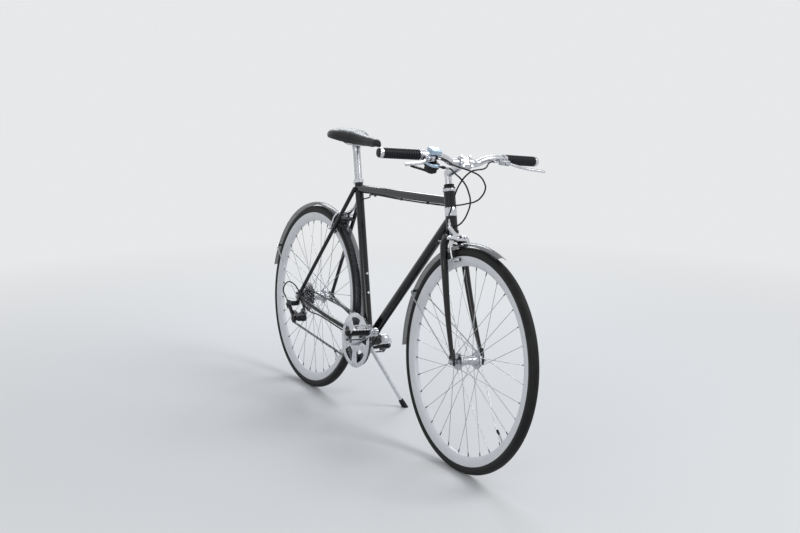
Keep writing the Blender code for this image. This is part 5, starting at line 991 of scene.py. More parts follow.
def standBracket():
    axis = standAxis()[0]
    up = (Vector((0.0, 0.0, 1.0)) - axis * axis.z).normalized()
    pivot = stand["pivot"]
    pieces = [rod(pivot - axis * 0.0165, pivot + axis * 0.0165, 0.0028)]
    for hand in (left, right):
        middle = pivot + axis * hand * 0.015
        pieces.append(rod(middle - axis * 0.0022, middle + axis * 0.0022, 0.0085, sides=40, rounding=0.0005))
        pieces.append(block((0.004, 0.015, 0.018), placeAt(middle + up * 0.0095, up, axis), 0.0006))
        pieces.append(capBolt(placeAt(middle + axis * hand * 0.002, axis * hand), 0.0048, 0.0028))
    return pieces


def makeStand():
    axis, leg, foot = standAxis()
    pivot = stand["pivot"]
    knuckle = rod(pivot - axis * 0.0125, pivot + axis * 0.0125, 0.0085, sides=40, rounding=0.0008)
    shaft = rod(pivot + leg * 0.002, foot - leg * 0.004, 0.007, 0.006, sides=32)
    ground = Vector((0.0, -math.sin(math.radians(bike["lean"])), math.cos(math.radians(bike["lean"]))))
    place = placeAt(foot - leg * 0.034, leg)
    shoe = [
        (0.0, 0.0), (0.0078, 0.0), (0.009, 0.0012), (0.0094, 0.006), (0.009, 0.0072), (0.0096, 0.0084),
        (0.0099, 0.018), (0.0095, 0.0192), (0.0101, 0.0204), (0.0109, 0.048), (0.0, 0.048),
    ]
    cutAt = Vector((foot.x, foot.y, foot.y * math.tan(math.radians(bike["lean"])))) - ground * 0.025
    rubber = carve(lathe(shoe, place, 40), block((0.1, 0.1, 0.05), placeAt(cutAt, ground), 0.0))
    addPiece("standLeg", join(knuckle, shaft), polishedAlloy, "kickstand", ["kickstand_leg"])
    addPiece("standFoot", rubber, blackPlastic, "kickstand", angle=45.0)


# Seatpost, collar, rails and saddle
railZ = 0.9365
saddleForm = {
    "stations": (
        (-0.11, 0.052, 0.0375, 0.016), (-0.099, 0.068, 0.0465, 0.026), (-0.073, 0.078, 0.0525, 0.036),
        (-0.038, 0.074, 0.0525, 0.04), (-0.003, 0.057, 0.0475, 0.04), (0.035, 0.036, 0.0405, 0.036),
        (0.077, 0.024, 0.035, 0.032), (0.122, 0.02, 0.031, 0.028), (0.147, 0.018, 0.0275, 0.025),
        (0.158, 0.012, 0.0215, 0.016),
    ),
    "channel": 0.0016,
}


def byRails(forward, y, up):
    return seat(railZ, y) + Vector((forward, 0.0, up))


def makeRails():
    path = [
        byRails(-0.095, 0.03, 0.0255), byRails(-0.073, 0.026, 0.0135), byRails(-0.045, 0.021, 0.0),
        byRails(0.022, 0.021, 0.0), byRails(0.059, 0.016, 0.0025), byRails(0.099, 0.01, 0.0115),
        byRails(0.115, 0.004, 0.0145),
    ]
    points = path + [flip(p, -1) for p in reversed(path)]
    addPiece("saddleRails", tube(points, 0.0035, sides=20, detail=6), darkNickel, "seat", ["saddle_rails"])


def makeSeatpost():
    top = seat(0.921)
    post = rod(seat(0.655), top, 0.013, sides=48)
    head = lathe(
        [(0.0, -0.014), (0.0128, -0.014), (0.0136, -0.008), (0.015, 0.006), (0.0144, 0.008), (0.0, 0.008)],
        placeAt(top, seatUp), 48,
    )
    centre = byRails(0.002, 0.0, 0.0)
    pieces = [post, head]
    for size, up in (((0.042, 0.058, 0.008), -0.0035), ((0.034, 0.056, 0.007), 0.0038)):
        pieces.append(block(size, Matrix.Translation(centre + Vector((0, 0, up))), 0.0022, 4))
    bolt = placeAt(centre + Vector((-0.012, 0, 0.007)), (0, 0, 1))
    pieces.append(capBolt(bolt, 0.0052, 0.0046))
    under = centre + Vector((-0.012, 0, -0.03))
    pieces.append(rod(under, under + Vector((0, 0, 0.02)), 0.004, rounding=0.0006))
    addPiece("seatpost", pieces, satinAlloy, "seat", ["seatpost"])


def makeCollar():
    base = seat(tubes["seatTop"]) - seatUp * 0.012
    inner = tubes["seatRadius"] + bike["gap"]
    ring = collarRing(inner, inner + 0.003, 0.0, 0.0125, 0.0006)
    back = Vector((-seatUp.z, 0.0, seatUp.x))
    middle = base + seatUp * 0.00625
    ears = block((0.012, 0.0115, 0.0125), placeAt(middle + back * (inner + 0.006), seatUp), 0.0012, 3)
    slit = block((0.0018, 0.012, 0.02), placeAt(middle + back * (inner + 0.005), seatUp), 0.0)
    band = carve(lathe(ring, placeAt(base, seatUp), 64), slit.copy())
    lugs = carve(ears, slit)
    bolt = middle + back * (inner + 0.008)
    pieces = [band, lugs, rod(bolt - across * 0.01, bolt + across * 0.01, 0.0026)]
    pieces.append(capBolt(placeAt(bolt - across * 0.006, -across), 0.0042, 0.0048))
    pieces.append(hexNut(placeAt(bolt + across * 0.0086, across), 0.007, 0.0036))
    addPiece("seatCollar", pieces, polishedAlloy, "frame", ["seat_collar"])


def saddlePoint(u, v):
    # u runs from the tail to the nose, v from the left edge over the top to the right edge
    stations = saddleForm["stations"]
    spot = u * (len(stations) - 1)
    first = min(int(spot), len(stations) - 2)
    near = [stations[max(0, min(len(stations) - 1, first + k))] for k in (-1, 0, 1, 2)]
    t = spot - first
    weights = (
        -0.5 * t + t * t - 0.5 * t ** 3, 1.0 - 2.5 * t * t + 1.5 * t ** 3,
        0.5 * t + 2.0 * t * t - 1.5 * t ** 3, -0.5 * t * t + 0.5 * t ** 3,
    )
    x, half, top, drop = (sum(w * row[c] for w, row in zip(weights, near)) for c in range(4))
    turn = v * math.pi
    crown = max(0.0, math.sin(turn)) ** 0.72
    fade = min(1.0, 4.0 * u) * min(1.0, 5.0 * (0.9 - u))
    dip = saddleForm["channel"] * math.exp(-((v - 0.5) / 0.1) ** 2) * fade
    inset = 0.0018
    reach = half - inset
    return byRails(x, reach * math.cos(turn), top - drop + (drop - inset) * crown - max(0.0, dip))


def makeSaddle():
    rows, columns = 64, 48
    form = bmesh.new()
    grid = []
    for j in range(rows + 1):
        share = j / rows
        grid.append([form.verts.new(saddlePoint(share, k / columns)) for k in range(columns + 1)])
    for low, high in zip(grid, grid[1:]):
        for k in range(columns):
            form.faces.new((low[k], low[k + 1], high[k + 1], high[k]))
    # the cover closes over the tail and the nose, and its lower hem turns under
    rim = [row[0] for row in grid] + grid[-1][1:-1] + [row[-1] for row in reversed(grid)] + grid[0][-2:0:-1]
    edges = [form.edges.get((a, b)) for a, b in zip(rim, rim[1:] + rim[:1])]
    edges = [edge for edge in edges if edge]
    centre = sum((v.co for v in rim), Vector()) / len(rim)
    for drop, inward in ((-0.003, 0.0004), (-0.0026, 0.0022), (0.0006, 0.004), (0.001, 0.0075)):
        grown = bmesh.ops.extrude_edge_only(form, edges=edges)
        fresh = [item for item in grown["geom"] if isinstance(item, bmesh.types.BMVert)]
        edges = [item for item in grown["geom"] if isinstance(item, bmesh.types.BMEdge) and item.is_boundary]
        for vert in fresh:
            toMiddle = Vector((0.0, centre.y - vert.co.y, 0.0))
            lengthwise = Vector((centre.x - vert.co.x, 0.0, 0.0)) * 0.25
            vert.co += (toMiddle + lengthwise).normalized() * inward + Vector((0.0, 0.0, drop))
    bmesh.ops.holes_fill(form, edges=edges, sides=0)
    clean(form)
    saddle = dress("saddle", form, saddleLeather, ["saddle"])
    soft = saddle.modifiers.new("padding", "SUBSURF")
    soft.levels = soft.render_levels = 1
    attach(saddle, "seat")
    seams = []
    for v in (0.055, 0.945):
        line = [saddlePoint(0.03 + 0.94 * k / 40, v) + Vector((0, 0, 0.0002)) for k in range(41)]
        seams.append(tube(line, 0.0007, sides=8, detail=2))
    addPiece("saddlePiping", seams, blackPlastic, "seat")


# Bar, grips and stem
bar = {
    "radius": 0.0111, "centreRadius": 0.0127, "up": 0.0728, "forward": 0.09, "end": (-0.022, 0.2865, 0.015),
    "grip": 0.128, "gripRadius": 0.016, "controlY": 0.147, "shifterY": -0.112,
}
barCentre = steer(tubes["headHigh"] + bar["up"], bar["forward"])


def byBar(forward, y, up):
    return Vector((barCentre.x + forward, y, barCentre.z + up))


def barPath():
    end = byBar(*bar["end"])
    outer = end + Vector((0.023, -0.1865, 0.0022))
    rise = [byBar(0.0, 0.046, 0.0), barCentre.lerp(outer, 0.73) + Vector((0, 0, -0.001)), outer]
    return [barCentre, byBar(0.0, 0.03, 0.0), *rise, end]


def barAt(y):
    turned = Vector((1.0, left if y >= 0 else right, 1.0))
    inner, end = barPath()[-2:]
    share = (abs(y) - inner.y) / (end.y - inner.y)
    return inner.lerp(end, share) * turned, ((end - inner) * turned).normalized()


def makeBar():
    half = barPath()
    points = [flip(p, -1) for p in reversed(half[1:])] + half
    radii = [bar["centreRadius"] if abs(p.y) < 0.04 else bar["radius"] for p in points]
    barForm = tube(points, bar["radius"], radii, 40, 12)
    addPiece("handlebar", barForm, polishedAlloy, "steering", ["handlebar"])
    for hand, name in ((left, "left"), (right, "right")):
        end = flip(byBar(*bar["end"]), hand)
        inner = barAt(hand * (abs(end.y) - bar["grip"]))[0]
        length = (end - inner).length
        place = placeAt(inner, end - inner)
        radius = bar["gripRadius"]
        sleeve = [(0.0113, 0.0), (radius - 0.0014, 0.0), (radius - 0.0002, 0.001), (radius - 0.0002, 0.0055)]
        ribs = 14
        pitch = (length - 0.02) / ribs
        for k in range(ribs):
            low = 0.0065 + k * pitch
            sleeve += [(radius - 0.0016, low), (radius - 0.0016, low + pitch * 0.28)]
            sleeve += [(radius - 0.0002, low + pitch * 0.38), (radius - 0.0002, low + pitch * 0.92)]
        near = length - 0.0105
        sleeve += [(radius - 0.0002, length - 0.012), (radius - 0.0012, near), (0.0113, near)]
        addPiece("grip." + name, lathe(sleeve, place, 64), gripRubber, "steering", ["grip_" + name], 40.0)
        cap = [
            (0.0113, length - 0.0104), (radius - 0.0002, length - 0.0104), (radius, length - 0.0096),
            (radius, length - 0.0012), (radius - 0.001, length), (radius - 0.0022, length),
            (radius - 0.003, length - 0.001), (0.0113, length - 0.001),
        ]
        addPiece("gripRing." + name, lathe(cap, place, 64), polishedAlloy, "steering", angle=30.0)
        plug = [
            (0.0, length + 0.0052), (0.0118, length + 0.0042), (0.013, length + 0.0024),
            (0.013, length - 0.004), (0.0, length - 0.004),
        ]
        addPiece("gripPlug." + name, lathe(plug, place, 48), gripRubber, "steering")


def makeStem():
    high = tubes["headHigh"]
    root = steer(high + 0.0563)
    line = (barCentre - root).normalized()
    quill = [
        (0.0, high - 0.0837), (0.0111, high - 0.0837), (0.0111, high + 0.048), (0.0126, high + 0.051),
        (0.0131, high + 0.06), (0.0124, high + 0.065), (0.0104, high + 0.0672), (0.0, high + 0.0676),
    ]
    pieces = [lathe(quill, placeAt(steer(0.0), steerUp), 56)]
    neck = [root - line * 0.004, root + line * 0.018, barCentre - line * 0.03, barCentre - line * 0.008]
    pieces.append(tube(neck, 0.0125, (0.0122, 0.0122, 0.0134, 0.015), 40, 8))
    pieces.append(capBolt(placeAt(steer(high + 0.067), steerUp), 0.0066, 0.0064, 0.52))
    half = 0.022
    clampPlace = placeAt(barCentre, across, line)
    split = block((0.06, 0.06, 0.05), placeAt(barCentre + line * 0.0255, line), 0.0)
    pieces.append(carve(lathe(collarRing(0.0129, 0.0195, -half, half, 0.001), clampPlace, 72), split))
    addPiece("stem", pieces, polishedAlloy, "steering", ["stem"])

    behind = block((0.06, 0.06, 0.05), placeAt(barCentre - line * 0.0235, line), 0.0)
    window = block((0.018, 0.06, 0.012), placeAt(barCentre + line * 0.0215, line), 0.0)
    cap = carve(lathe(collarRing(0.0129, 0.019, -half, half, 0.001), clampPlace, 72), behind, window)
    up = line.cross(across)
    parts = [cap]
    for y in (-0.0155, 0.0155):
        for rise in (-0.0158, 0.0158):
            foot = barCentre + across * y + up * rise + line * 0.003
            parts.append(rod(foot, foot + line * 0.011, 0.0038, sides=24, rounding=0.0003))
            parts.append(capBolt(placeAt(foot + line * 0.0108, line), 0.0036, 0.0042))
    addPiece("stemPlate", parts, polishedAlloy, "steering", ["stem_faceplate"])


# Brake levers and the shifter
leverForward = Vector((0.952, 0.0, -0.307)).normalized()
leverPivot = (-0.004, 0.027)
lever = {
    "body": [
        (-0.006, 0.0125), (0.006, 0.0125), (0.0075, 0.02), (0.006, 0.033), (-0.004, 0.0365),
        (-0.012, 0.033), (-0.028, 0.029), (-0.029, 0.021), (-0.012, 0.02),
    ],
    "blade": [
        (-0.0095, 0.032), (-0.0105, 0.0245), (-0.0055, 0.0205), (0.002, 0.0225), (0.01, 0.032),
        (0.022, 0.0455), (0.042, 0.059), (0.07, 0.069), (0.092, 0.0735), (0.105, 0.0795),
        (0.1065, 0.085), (0.102, 0.0875), (0.09, 0.0825), (0.064, 0.0785), (0.036, 0.068),
        (0.014, 0.05), (0.002, 0.0355), (-0.004, 0.0345),
    ],
}


def leverPlace(hand):
    out = Vector((0.0, hand, 0.0))
    return placeAt(barAt(hand * bar["controlY"])[0], out.cross(leverForward), out)


def barClamp(y, radius, half):
    centre, direction = barAt(y)
    return lathe(collarRing(0.0114, radius, -half, half, 0.0008), placeAt(centre, direction), 56)


def barrelAdjuster(start, end):
    # a knurled barrel where a cable housing goes in
    line = (Vector(end) - Vector(start)).normalized()
    length = (Vector(end) - Vector(start)).length
    place = placeAt(start, line)
    profile = [
        (0.0, 0.0), (0.003, 0.0), (0.003, length * 0.35), (0.0042, length * 0.38), (0.0042, length * 0.86),
        (0.0036, length * 0.9), (0.0036, length), (0.0, length),
    ]
    body = lathe(profile, place, 20)
    knurls = []
    for x, y in ringOf(0.0042, 14):
        low = place @ Vector((x, y, length * 0.42))
        knurls.append(rod(low, place @ Vector((x, y, length * 0.82)), 0.0004, sides=6))
    return join(body, *knurls)


def makeLevers():
    for hand, name in ((left, "left"), (right, "right")):
        place = leverPlace(hand)
        bracketForm = flat([lever["body"]], 0.015, place, 0.0018, smooth=(0,), steps=5, segments=3)
        slot = block((0.05, 0.03, 0.0076), place @ shift(0.012, 0.029, 0.0), 0.0)
        pieces = [barClamp(hand * bar["controlY"], 0.016, 0.006), carve(bracketForm, slot)]
        for face in (-1, 1):
            spot = place @ shift(*leverPivot, face * 0.007)
            if face < 0:
                spot = spot @ Matrix.Rotation(math.pi, 4, "X")
            pieces.append(capBolt(spot, 0.0034, 0.0016))
        start, end = place @ Vector((-0.025, 0.025, 0.0)), place @ Vector((-0.04, 0.025, 0.0))
        pieces.append(barrelAdjuster(start, end))
        bolt = place @ Vector((0.0, 0.0165, -0.006))
        pieces.append(capBolt(placeAt(bolt, leverForward.cross(across)), 0.0032, 0.003))
        addPiece("leverBracket." + name, pieces, satinAlloy, "steering", ["lever_bracket_" + name])
        outlines = [lever["blade"], ringOf(0.0025, 16, leverPivot)]
        blade = flat(outlines, 0.0068, place, 0.0014, (0,), 6, 3)
        addPiece(
            "brakeLever." + name, blade, polishedAlloy, name + "_brake_lever", ["brake_lever_" + name], 50.0,
        )


shifter = {
    "body": [
        (0.02, -0.006), (0.016, 0.014), (0.014, 0.026), (0.0, 0.032), (-0.014, 0.026), (-0.021, 0.008),
        (-0.02, -0.012), (-0.008, -0.022), (0.01, -0.02),
    ],
    "paddle": [
        (0.012, 0.006), (0.012, -0.006), (0.004, -0.016), (-0.014, -0.03), (-0.03, -0.042), (-0.04, -0.046),
        (-0.047, -0.04), (-0.044, -0.032), (-0.028, -0.018), (-0.012, -0.002), (-0.006, 0.01), (0.004, 0.013),
    ],
    "shield": [(-0.0175, -0.015), (-0.0165, 0.015), (0.0165, 0.0165), (0.0185, -0.013)],
    "barrelEnd": Vector((0.034, 0.03, 0.0255)), "barrelLine": Vector((0.95, 0.31, 0.0)).normalized(),
}


def shifterPlace():
    return placeAt(barAt(bar["shifterY"])[0], across.cross(leverForward), across)


def makeShifter():
    place = shifterPlace()
    small, large = ([(x * scale, y * scale) for x, y in shifter["body"]] for scale in (0.8, 1.02))
    body = flat([shifter["body"]], 0.018, place @ shift(0.0, 0.0, 0.0255), 0.004, (0,), 6, 4)
    base = flat([small], 0.014, place @ shift(0.0, 0.002, 0.0405), 0.0034, (0,), 6, 4)
    neck = block((0.018, 0.02, 0.008), place @ shift(0.0, 0.004, 0.0155), 0.0014, 3)
    clamp = barClamp(bar["shifterY"], 0.0165, 0.008)
    addPiece("shifterBody", join(clamp, body, base, neck), blackPlastic, "steering", ["shifter_body"], 40.0)
    cover = flat([shifter["shield"]], 0.017, place @ shift(0.0, 0.0, -0.0135), 0.004, segments=5)
    top = flat([large], 0.011, place @ shift(0.0, 0.0, 0.0225), 0.003, (0,), 6, 4)
    addPiece("shifterCover", join(cover, top), blueAlloy, "steering", angle=45.0)
    end = shifter["barrelEnd"]
    barrel = barrelAdjuster(place @ (end - shifter["barrelLine"] * 0.02), place @ end)
    addPiece("shifterBarrel", barrel, blackPlastic, "steering", angle=40.0)


# The chain's course round the ring, the sprocket and the two pulleys
drive = {
    "pitch": 0.0127, "line": -0.0435, "ringTeeth": 42, "teeth": (13, 14, 15, 17, 20, 23, 26), "chained": 3,
    "spacing": 0.0048, "pulleyTeeth": 11, "guide": (-0.0085, bike["wheelRadius"] - 0.0714), "cage": 0.071,
    "toothDepth": 0.0045, "toothHeight": 0.003, "plateHalf": 0.004, "halfWidth": 0.003,
}


def pitchRadius(teeth):
    return drive["pitch"] * teeth / math.tau


def tangentTurns(first, second):
    # the angles at which a chain leaves one circle and reaches the next
    (a, radiusA, turnA), (b, radiusB, turnB) = first, second
    dx, dz = b[0] - a[0], b[1] - a[1]
    lean = math.asin((turnA * radiusA - turnB * radiusB) / math.hypot(dx, dz))
    heading = math.atan2(dz, dx) + lean
    return heading - turnA * math.pi / 2, heading - turnB * math.pi / 2


def chainCourse(cageTurn):
    guide = drive["guide"]
    tension = (
        guide[0] + drive["cage"] * math.cos(cageTurn), guide[1] + drive["cage"] * math.sin(cageTurn),
    )
    small = pitchRadius(drive["pulleyTeeth"])
    circles = [
        (bracket, pitchRadius(drive["ringTeeth"]), 1),
        (rearAxle, pitchRadius(drive["teeth"][drive["chained"]]), 1), (guide, small, -1), (tension, small, 1),
    ]
    turns = [tangentTurns(circles[k], circles[(k + 1) % 4]) for k in range(4)]
    course, length = [], 0.0
    for k, (centre, radius, turn) in enumerate(circles):
        start, end = turns[k - 1][1], turns[k][0]
        swept = (turn * (end - start)) % math.tau
        following = circles[(k + 1) % 4]
        runStart = roundWheel(centre, radius, math.degrees(end))
        runEnd = roundWheel(following[0], following[1], math.degrees(turns[k][1]))
        run = (runEnd - runStart).length
        course.append((centre, radius, turn, start, swept, length, runStart, runEnd, run))
        length += radius * swept + run
    return course, length, tension


def fittedChain():
    # swings the cage until the chain is a whole, even number of links long
    low, high = math.radians(180.0), math.radians(228.0)
    pitch = drive["pitch"]
    wanted = 2 * round(chainCourse(math.radians(203.7))[1] / pitch / 2) * pitch
    rising = chainCourse(high)[1] > chainCourse(low)[1]
    for _ in range(50):
        middle = (low + high) / 2
        if (chainCourse(middle)[1] < wanted) == rising:
            low = middle
        else:
            high = middle
    return chainCourse((low + high) / 2)


course, chainLength, tension = fittedChain()


def coursePoint(distance):
    for centre, radius, turn, start, swept, begun, runStart, runEnd, run in course:
        if distance <= begun + radius * swept:
            return roundWheel(centre, radius, math.degrees(start + turn * (distance - begun) / radius))
        if distance <= begun + radius * swept + run:
            return runStart.lerp(runEnd, (distance - begun - radius * swept) / run)
    return coursePoint(distance - chainLength)


def gapPhase(index):
    radius, turn, start, begun = (course[index][k] for k in (1, 2, 3, 5))
    first = math.ceil(begun / drive["pitch"]) * drive["pitch"]
    return start + turn * (first - begun) / radius


def makeChain():
    # outer and inner links in turn, each a waisted plate at either side with its bushings
    pitch, half = drive["pitch"], drive["plateHalf"]
    waist = half * 0.62
    plateForm = []
    for centre, start, end in (((pitch, 0.0), -70, 70), ((0.0, 0.0), 110, 250)):
        plateForm += arc(centre, half, start, end, 6)
        plateForm.append((pitch / 2, waist if start < 0 else -waist))
    plates = {}
    for outside in (True, False):
        offset = drive["halfWidth"] - 0.0005 if outside else drive["halfWidth"] - 0.0016
        pair = []
        for hand in (-1, 1):
            pair.append(flat([plateForm], 0.0009, shift(0, 0, hand * offset), 0.00015))
        plates[outside] = join(*pair)
    count = round(chainLength / pitch)
    links = []
    for k in range(count):
        start, end = coursePoint(k * pitch + 1e-9), coursePoint((k + 1) * pitch - 1e-9)
        line = (end - start).normalized()
        place = Matrix.Translation(across * drive["line"]) @ placeAt(start, across, line)
        links.append(copyOf(plates[k % 2 == 0], place))
        for reach, radius in ((drive["halfWidth"] + 0.0002, 0.0017), (drive["halfWidth"] - 0.0018, 0.0036)):
            low = start + across * (drive["line"] - reach)
            links.append(rod(low, start + across * (drive["line"] + reach), radius, sides=10))
    for form in plates.values():
        form.free()
    addPiece("chain", links, darkSteel, "frame", ["chain"], 50.0)


def toothOutline(teeth, phase):
    # rounded gaps where the pins lie, and short flat tips
    radius = pitchRadius(teeth)
    step = math.tau / teeth
    roots = ((-0.16, 0.003), (-0.1, 0.0042), (0.0, drive["toothDepth"]), (0.1, 0.0042), (0.16, 0.003))
    tips = ((0.3, -0.0006), (0.44, -drive["toothHeight"]), (0.56, -drive["toothHeight"]), (0.7, -0.0006))
    outline = []
    for k in range(teeth):
        for share, depth in roots + tips:
            turn = phase + (k + share) * step
            outline.append(((radius - depth) * math.cos(turn), (radius - depth) * math.sin(turn)))
    return outline


def makeCassette():
    inside, count = 0.0155, len(drive["teeth"])
    low = drive["line"] - drive["chained"] * drive["spacing"]
    high = drive["line"] + (count - 1 - drive["chained"]) * drive["spacing"]
    core = [
        (0.0056, -0.0255), (inside, -0.0255), (inside, high + 0.0009), (0.02, high + 0.0009),
        (0.02, low - 0.0009), (0.019, low - 0.0014), (0.016, low - 0.0014), (0.015, -0.0595),
        (0.0056, -0.0595),
    ]
    pieces = [lathe(core, lateral(rearAxle), 56)]
    for index, teeth in enumerate(drive["teeth"]):
        phase = gapPhase(1) if index == drive["chained"] else 0.1 * index
        y = drive["line"] + (index - drive["chained"]) * drive["spacing"]
        outlines = [toothOutline(teeth, phase), ringOf(inside + 0.003, 40)]
        if teeth > 18:
            room = pitchRadius(teeth) - 0.0085 - 0.0215
            for k in range(6):
                reach = 0.0215 + room / 2 + 0.001
                hole = ringOf(room * 0.36, 14, (reach * math.cos(k * 1.0472), reach * math.sin(k * 1.0472)))
                outlines.append(hole)
        pieces.append(flat(outlines, 0.0018, upright(rearAxle, y), 0.0002))
    addPiece("cassette", pieces, brightSteel, "cassette", ["cassette"], 30.0)


# Cranks, rings and axle
crank = {
    "length": 0.17, "turn": math.radians(22.0), "inner": 0.0571, "thick": 0.013, "eye": 0.009,
    "guard": 0.095, "bolts": 0.055, "axle": 0.0085,
}


def crankPlace(hand):
    # X along the crank to the pedal, Z outwards from the frame
    line = Vector((math.cos(crank["turn"]), 0.0, math.sin(crank["turn"]))) * (1 if hand == right else -1)
    return placeAt(side(bracket), across * hand, line)


def spiderArm(place, turn):
    start, end = 0.014, crank["bolts"] + 0.0075
    outline = [
        (start, -0.011), (0.03, -0.0086), (end - 0.008, -0.0072), (end - 0.002, -0.0066), (end, -0.003),
        (end, 0.003), (end - 0.002, 0.0066), (end - 0.008, 0.0072), (0.03, 0.0086), (start, 0.011),
    ]
    turned = place @ Matrix.Rotation(turn, 4, "Z") @ shift(0, 0, 0.04915)
    return flat([outline], 0.0087, turned, 0.0012, segments=3)


def crankArm(hand):
    place = crankPlace(hand)
    low, high = crank["inner"], crank["inner"] + crank["thick"]
    boss = lathe(
        [
            (0.0, 0.0445), (0.014, 0.0445), (0.015, 0.0455), (0.0175, low), (0.0178, high - 0.002),
            (0.0165, high + 0.001), (0.0135, high + 0.0028), (0.0115, high + 0.0034), (0.01, high + 0.0034),
            (0.01, high + 0.001), (0.0, high + 0.001),
        ],
        place, 56,
    )
    length = crank["length"]
    half = [(0.004, 0.0158), (0.02, 0.0148), (0.055, 0.0122), (0.11, 0.0106), (length - 0.012, 0.01)]
    shape = half + [(x, -y) for x, y in reversed(half)]
    lean = math.atan2(crank["eye"], length)
    middle = place @ shift(0, 0, (low + high) / 2) @ Matrix.Rotation(-lean, 4, "Y")
    armForm = flat([shape], crank["thick"], middle, 0.0036, segments=4)
    groove = [(0.032, 0.0036), (0.08, 0.0032), (length - 0.03, 0.0026)]
    groove += [(x, -y) for x, y in reversed(groove)]
    top = middle @ shift(0, 0, crank["thick"] / 2)
    armForm = carve(armForm, flat([groove], 0.0022, top, 0.001, segments=2))
    eyeLow, eyeHigh = low + crank["eye"] - 0.001, high + crank["eye"]
    eye = lathe(
        [
            (0.0, eyeLow), (0.0126, eyeLow), (0.0138, eyeLow + 0.0014), (0.014, eyeHigh - 0.0026),
            (0.013, eyeHigh - 0.0008), (0.0112, eyeHigh), (0.0, eyeHigh),
        ],
        place @ shift(length, 0, 0), 48,
    )
    spindle = rod(place @ Vector((length, 0, eyeHigh - 0.003)), place @ Vector((length, 0, 0.162)), 0.0045)
    collarEnds = (place @ Vector((length, 0, eyeHigh + reach)) for reach in (-0.003, 0.0035))
    collar = rod(*collarEnds, 0.0078)
    flats = hexNut(place @ shift(length, 0, eyeHigh + 0.0045), 0.0132, 0.003)
    return [boss, armForm, eye, spindle, collar, flats]


def crankBolt(hand):
    place = crankPlace(hand) @ shift(0, 0, crank["inner"] + crank["thick"] + 0.0004)
    return capBolt(place, 0.0092, 0.0026, 0.5)


def kidney(turn, spread, outer, inner, corner):
    # a hole between two radii, narrower at the inner one, with round corners
    def at(reach, angle):
        return Vector((reach * math.cos(turn + angle), reach * math.sin(turn + angle)))

    ends = [(outer, -spread), (outer, spread), (inner, spread * 0.74), (inner, -spread * 0.74)]
    runs = []
    for first, second in zip(ends, ends[1:] + ends[:1]):
        if first[0] == second[0]:
            inset = math.copysign(corner / first[0], second[1] - first[1])
            angles = [first[1] + inset + (second[1] - first[1] - 2 * inset) * k / 12 for k in range(13)]
            runs.append([at(first[0], angle) for angle in angles])
        else:
            a, b = at(*first), at(*second)
            runs.append([a + (b - a).normalized() * corner, b + (a - b).normalized() * corner])
    outline = []
    for k, run in enumerate(runs):
        outline += run
        tip, after = at(*ends[(k + 1) % 4]), runs[(k + 1) % 4][0]
        for t in (0.25, 0.5, 0.75):
            outline.append(run[-1] * (1 - t) ** 2 + tip * 2 * t * (1 - t) + after * t * t)
    return [(p.x, p.y) for p in outline]


def makeCranks():
    place = crankPlace(right)
    arms = [spiderArm(place, math.tau * k / 5 + math.pi / 5) for k in range(5)]
    addPiece("crankRight", join(*crankArm(right), *arms), polishedAlloy, "crankset", ["crank_right"])
    addPiece("crankLeft", join(*crankArm(left)), polishedAlloy, "crankset", ["crank_left"])
    addPiece("crankBolts", join(crankBolt(left), crankBolt(right)), darkNickel, "crankset", angle=30.0)

    teeth = toothOutline(drive["ringTeeth"], gapPhase(0))
    ring = flat([teeth, ringOf(crank["bolts"] - 0.006, 80)], 0.002, upright(bracket, drive["line"]), 0.0002)
    addPiece("chainring", ring, darkNickel, "crankset", ["chainring"], 30.0)

    face = place @ shift(0, 0, 0.0553)
    outlines = [ringOf(crank["guard"], 144), ringOf(0.02, 48)]
    for k in range(5):
        outlines.append(kidney(math.tau * k / 5, math.radians(23.0), 0.079, 0.04, 0.005))
    guard = [flat(outlines, 0.003, face, 0.0006, segments=3)]
    edge = crank["guard"]
    rim = [(edge - 0.004, 0.0005), (edge - 0.0034, 0.0019), (edge - 0.0012, 0.0019), (edge - 0.0006, 0.0005)]
    guard.append(lathe(rim, face, 144))
    for k in range(5):
        turn = math.tau * k / 5 + math.pi / 5
        spot = face @ shift(crank["bolts"] * math.cos(turn), crank["bolts"] * math.sin(turn), 0.0012)
        guard.append(capBolt(spot, 0.0054, 0.0022, 0.45))
    addPiece("guardRing", guard, polishedAlloy, "crankset", ["chainring_guard"], 30.0)

    axle = [
        (0.0, 0.056), (0.0063, 0.056), (0.0063, 0.044), (crank["axle"], 0.04), (crank["axle"], -0.04),
        (0.0063, -0.044), (0.0063, -0.056), (0.0, -0.056),
    ]
    addPiece("crankAxle", lathe(axle, lateral(bracket), 32), brightSteel, "crankset", ["crank_axle"])
    cups = []
    for hand in (left, right):
        ringForm = [
            (0.009, 0.03), (0.017, 0.03), (0.017, 0.0345), (0.0192, 0.0345), (0.0196, 0.0349),
            (0.0196, 0.0362), (0.019, 0.0368), (0.012, 0.0368), (0.009, 0.036),
        ]
        cups.append(lathe(ringForm, lateral(bracket) if hand == left else upright(bracket), 48))
        notches = []
        for x, y in ringOf(0.0186, 16):
            spot = side((bracket[0] + x, bracket[1] + y), hand * 0.0362)
            notches.append(rod(spot, spot + across * hand * 0.001, 0.0007, sides=8))
        cups += notches
    sleeve = rod(side(bracket, -0.0335), side(bracket, 0.0335), 0.015, sides=40)
    addPiece(
        "bracketCartridge", join(sleeve, *cups), darkNickel, "frame", ["bottom_bracket_cartridge"], 30.0,
    )


# Pedals: a body on the spindle between two toothed cage plates
pedal = {"inner": 0.098, "outer": 0.172, "half": 0.032}


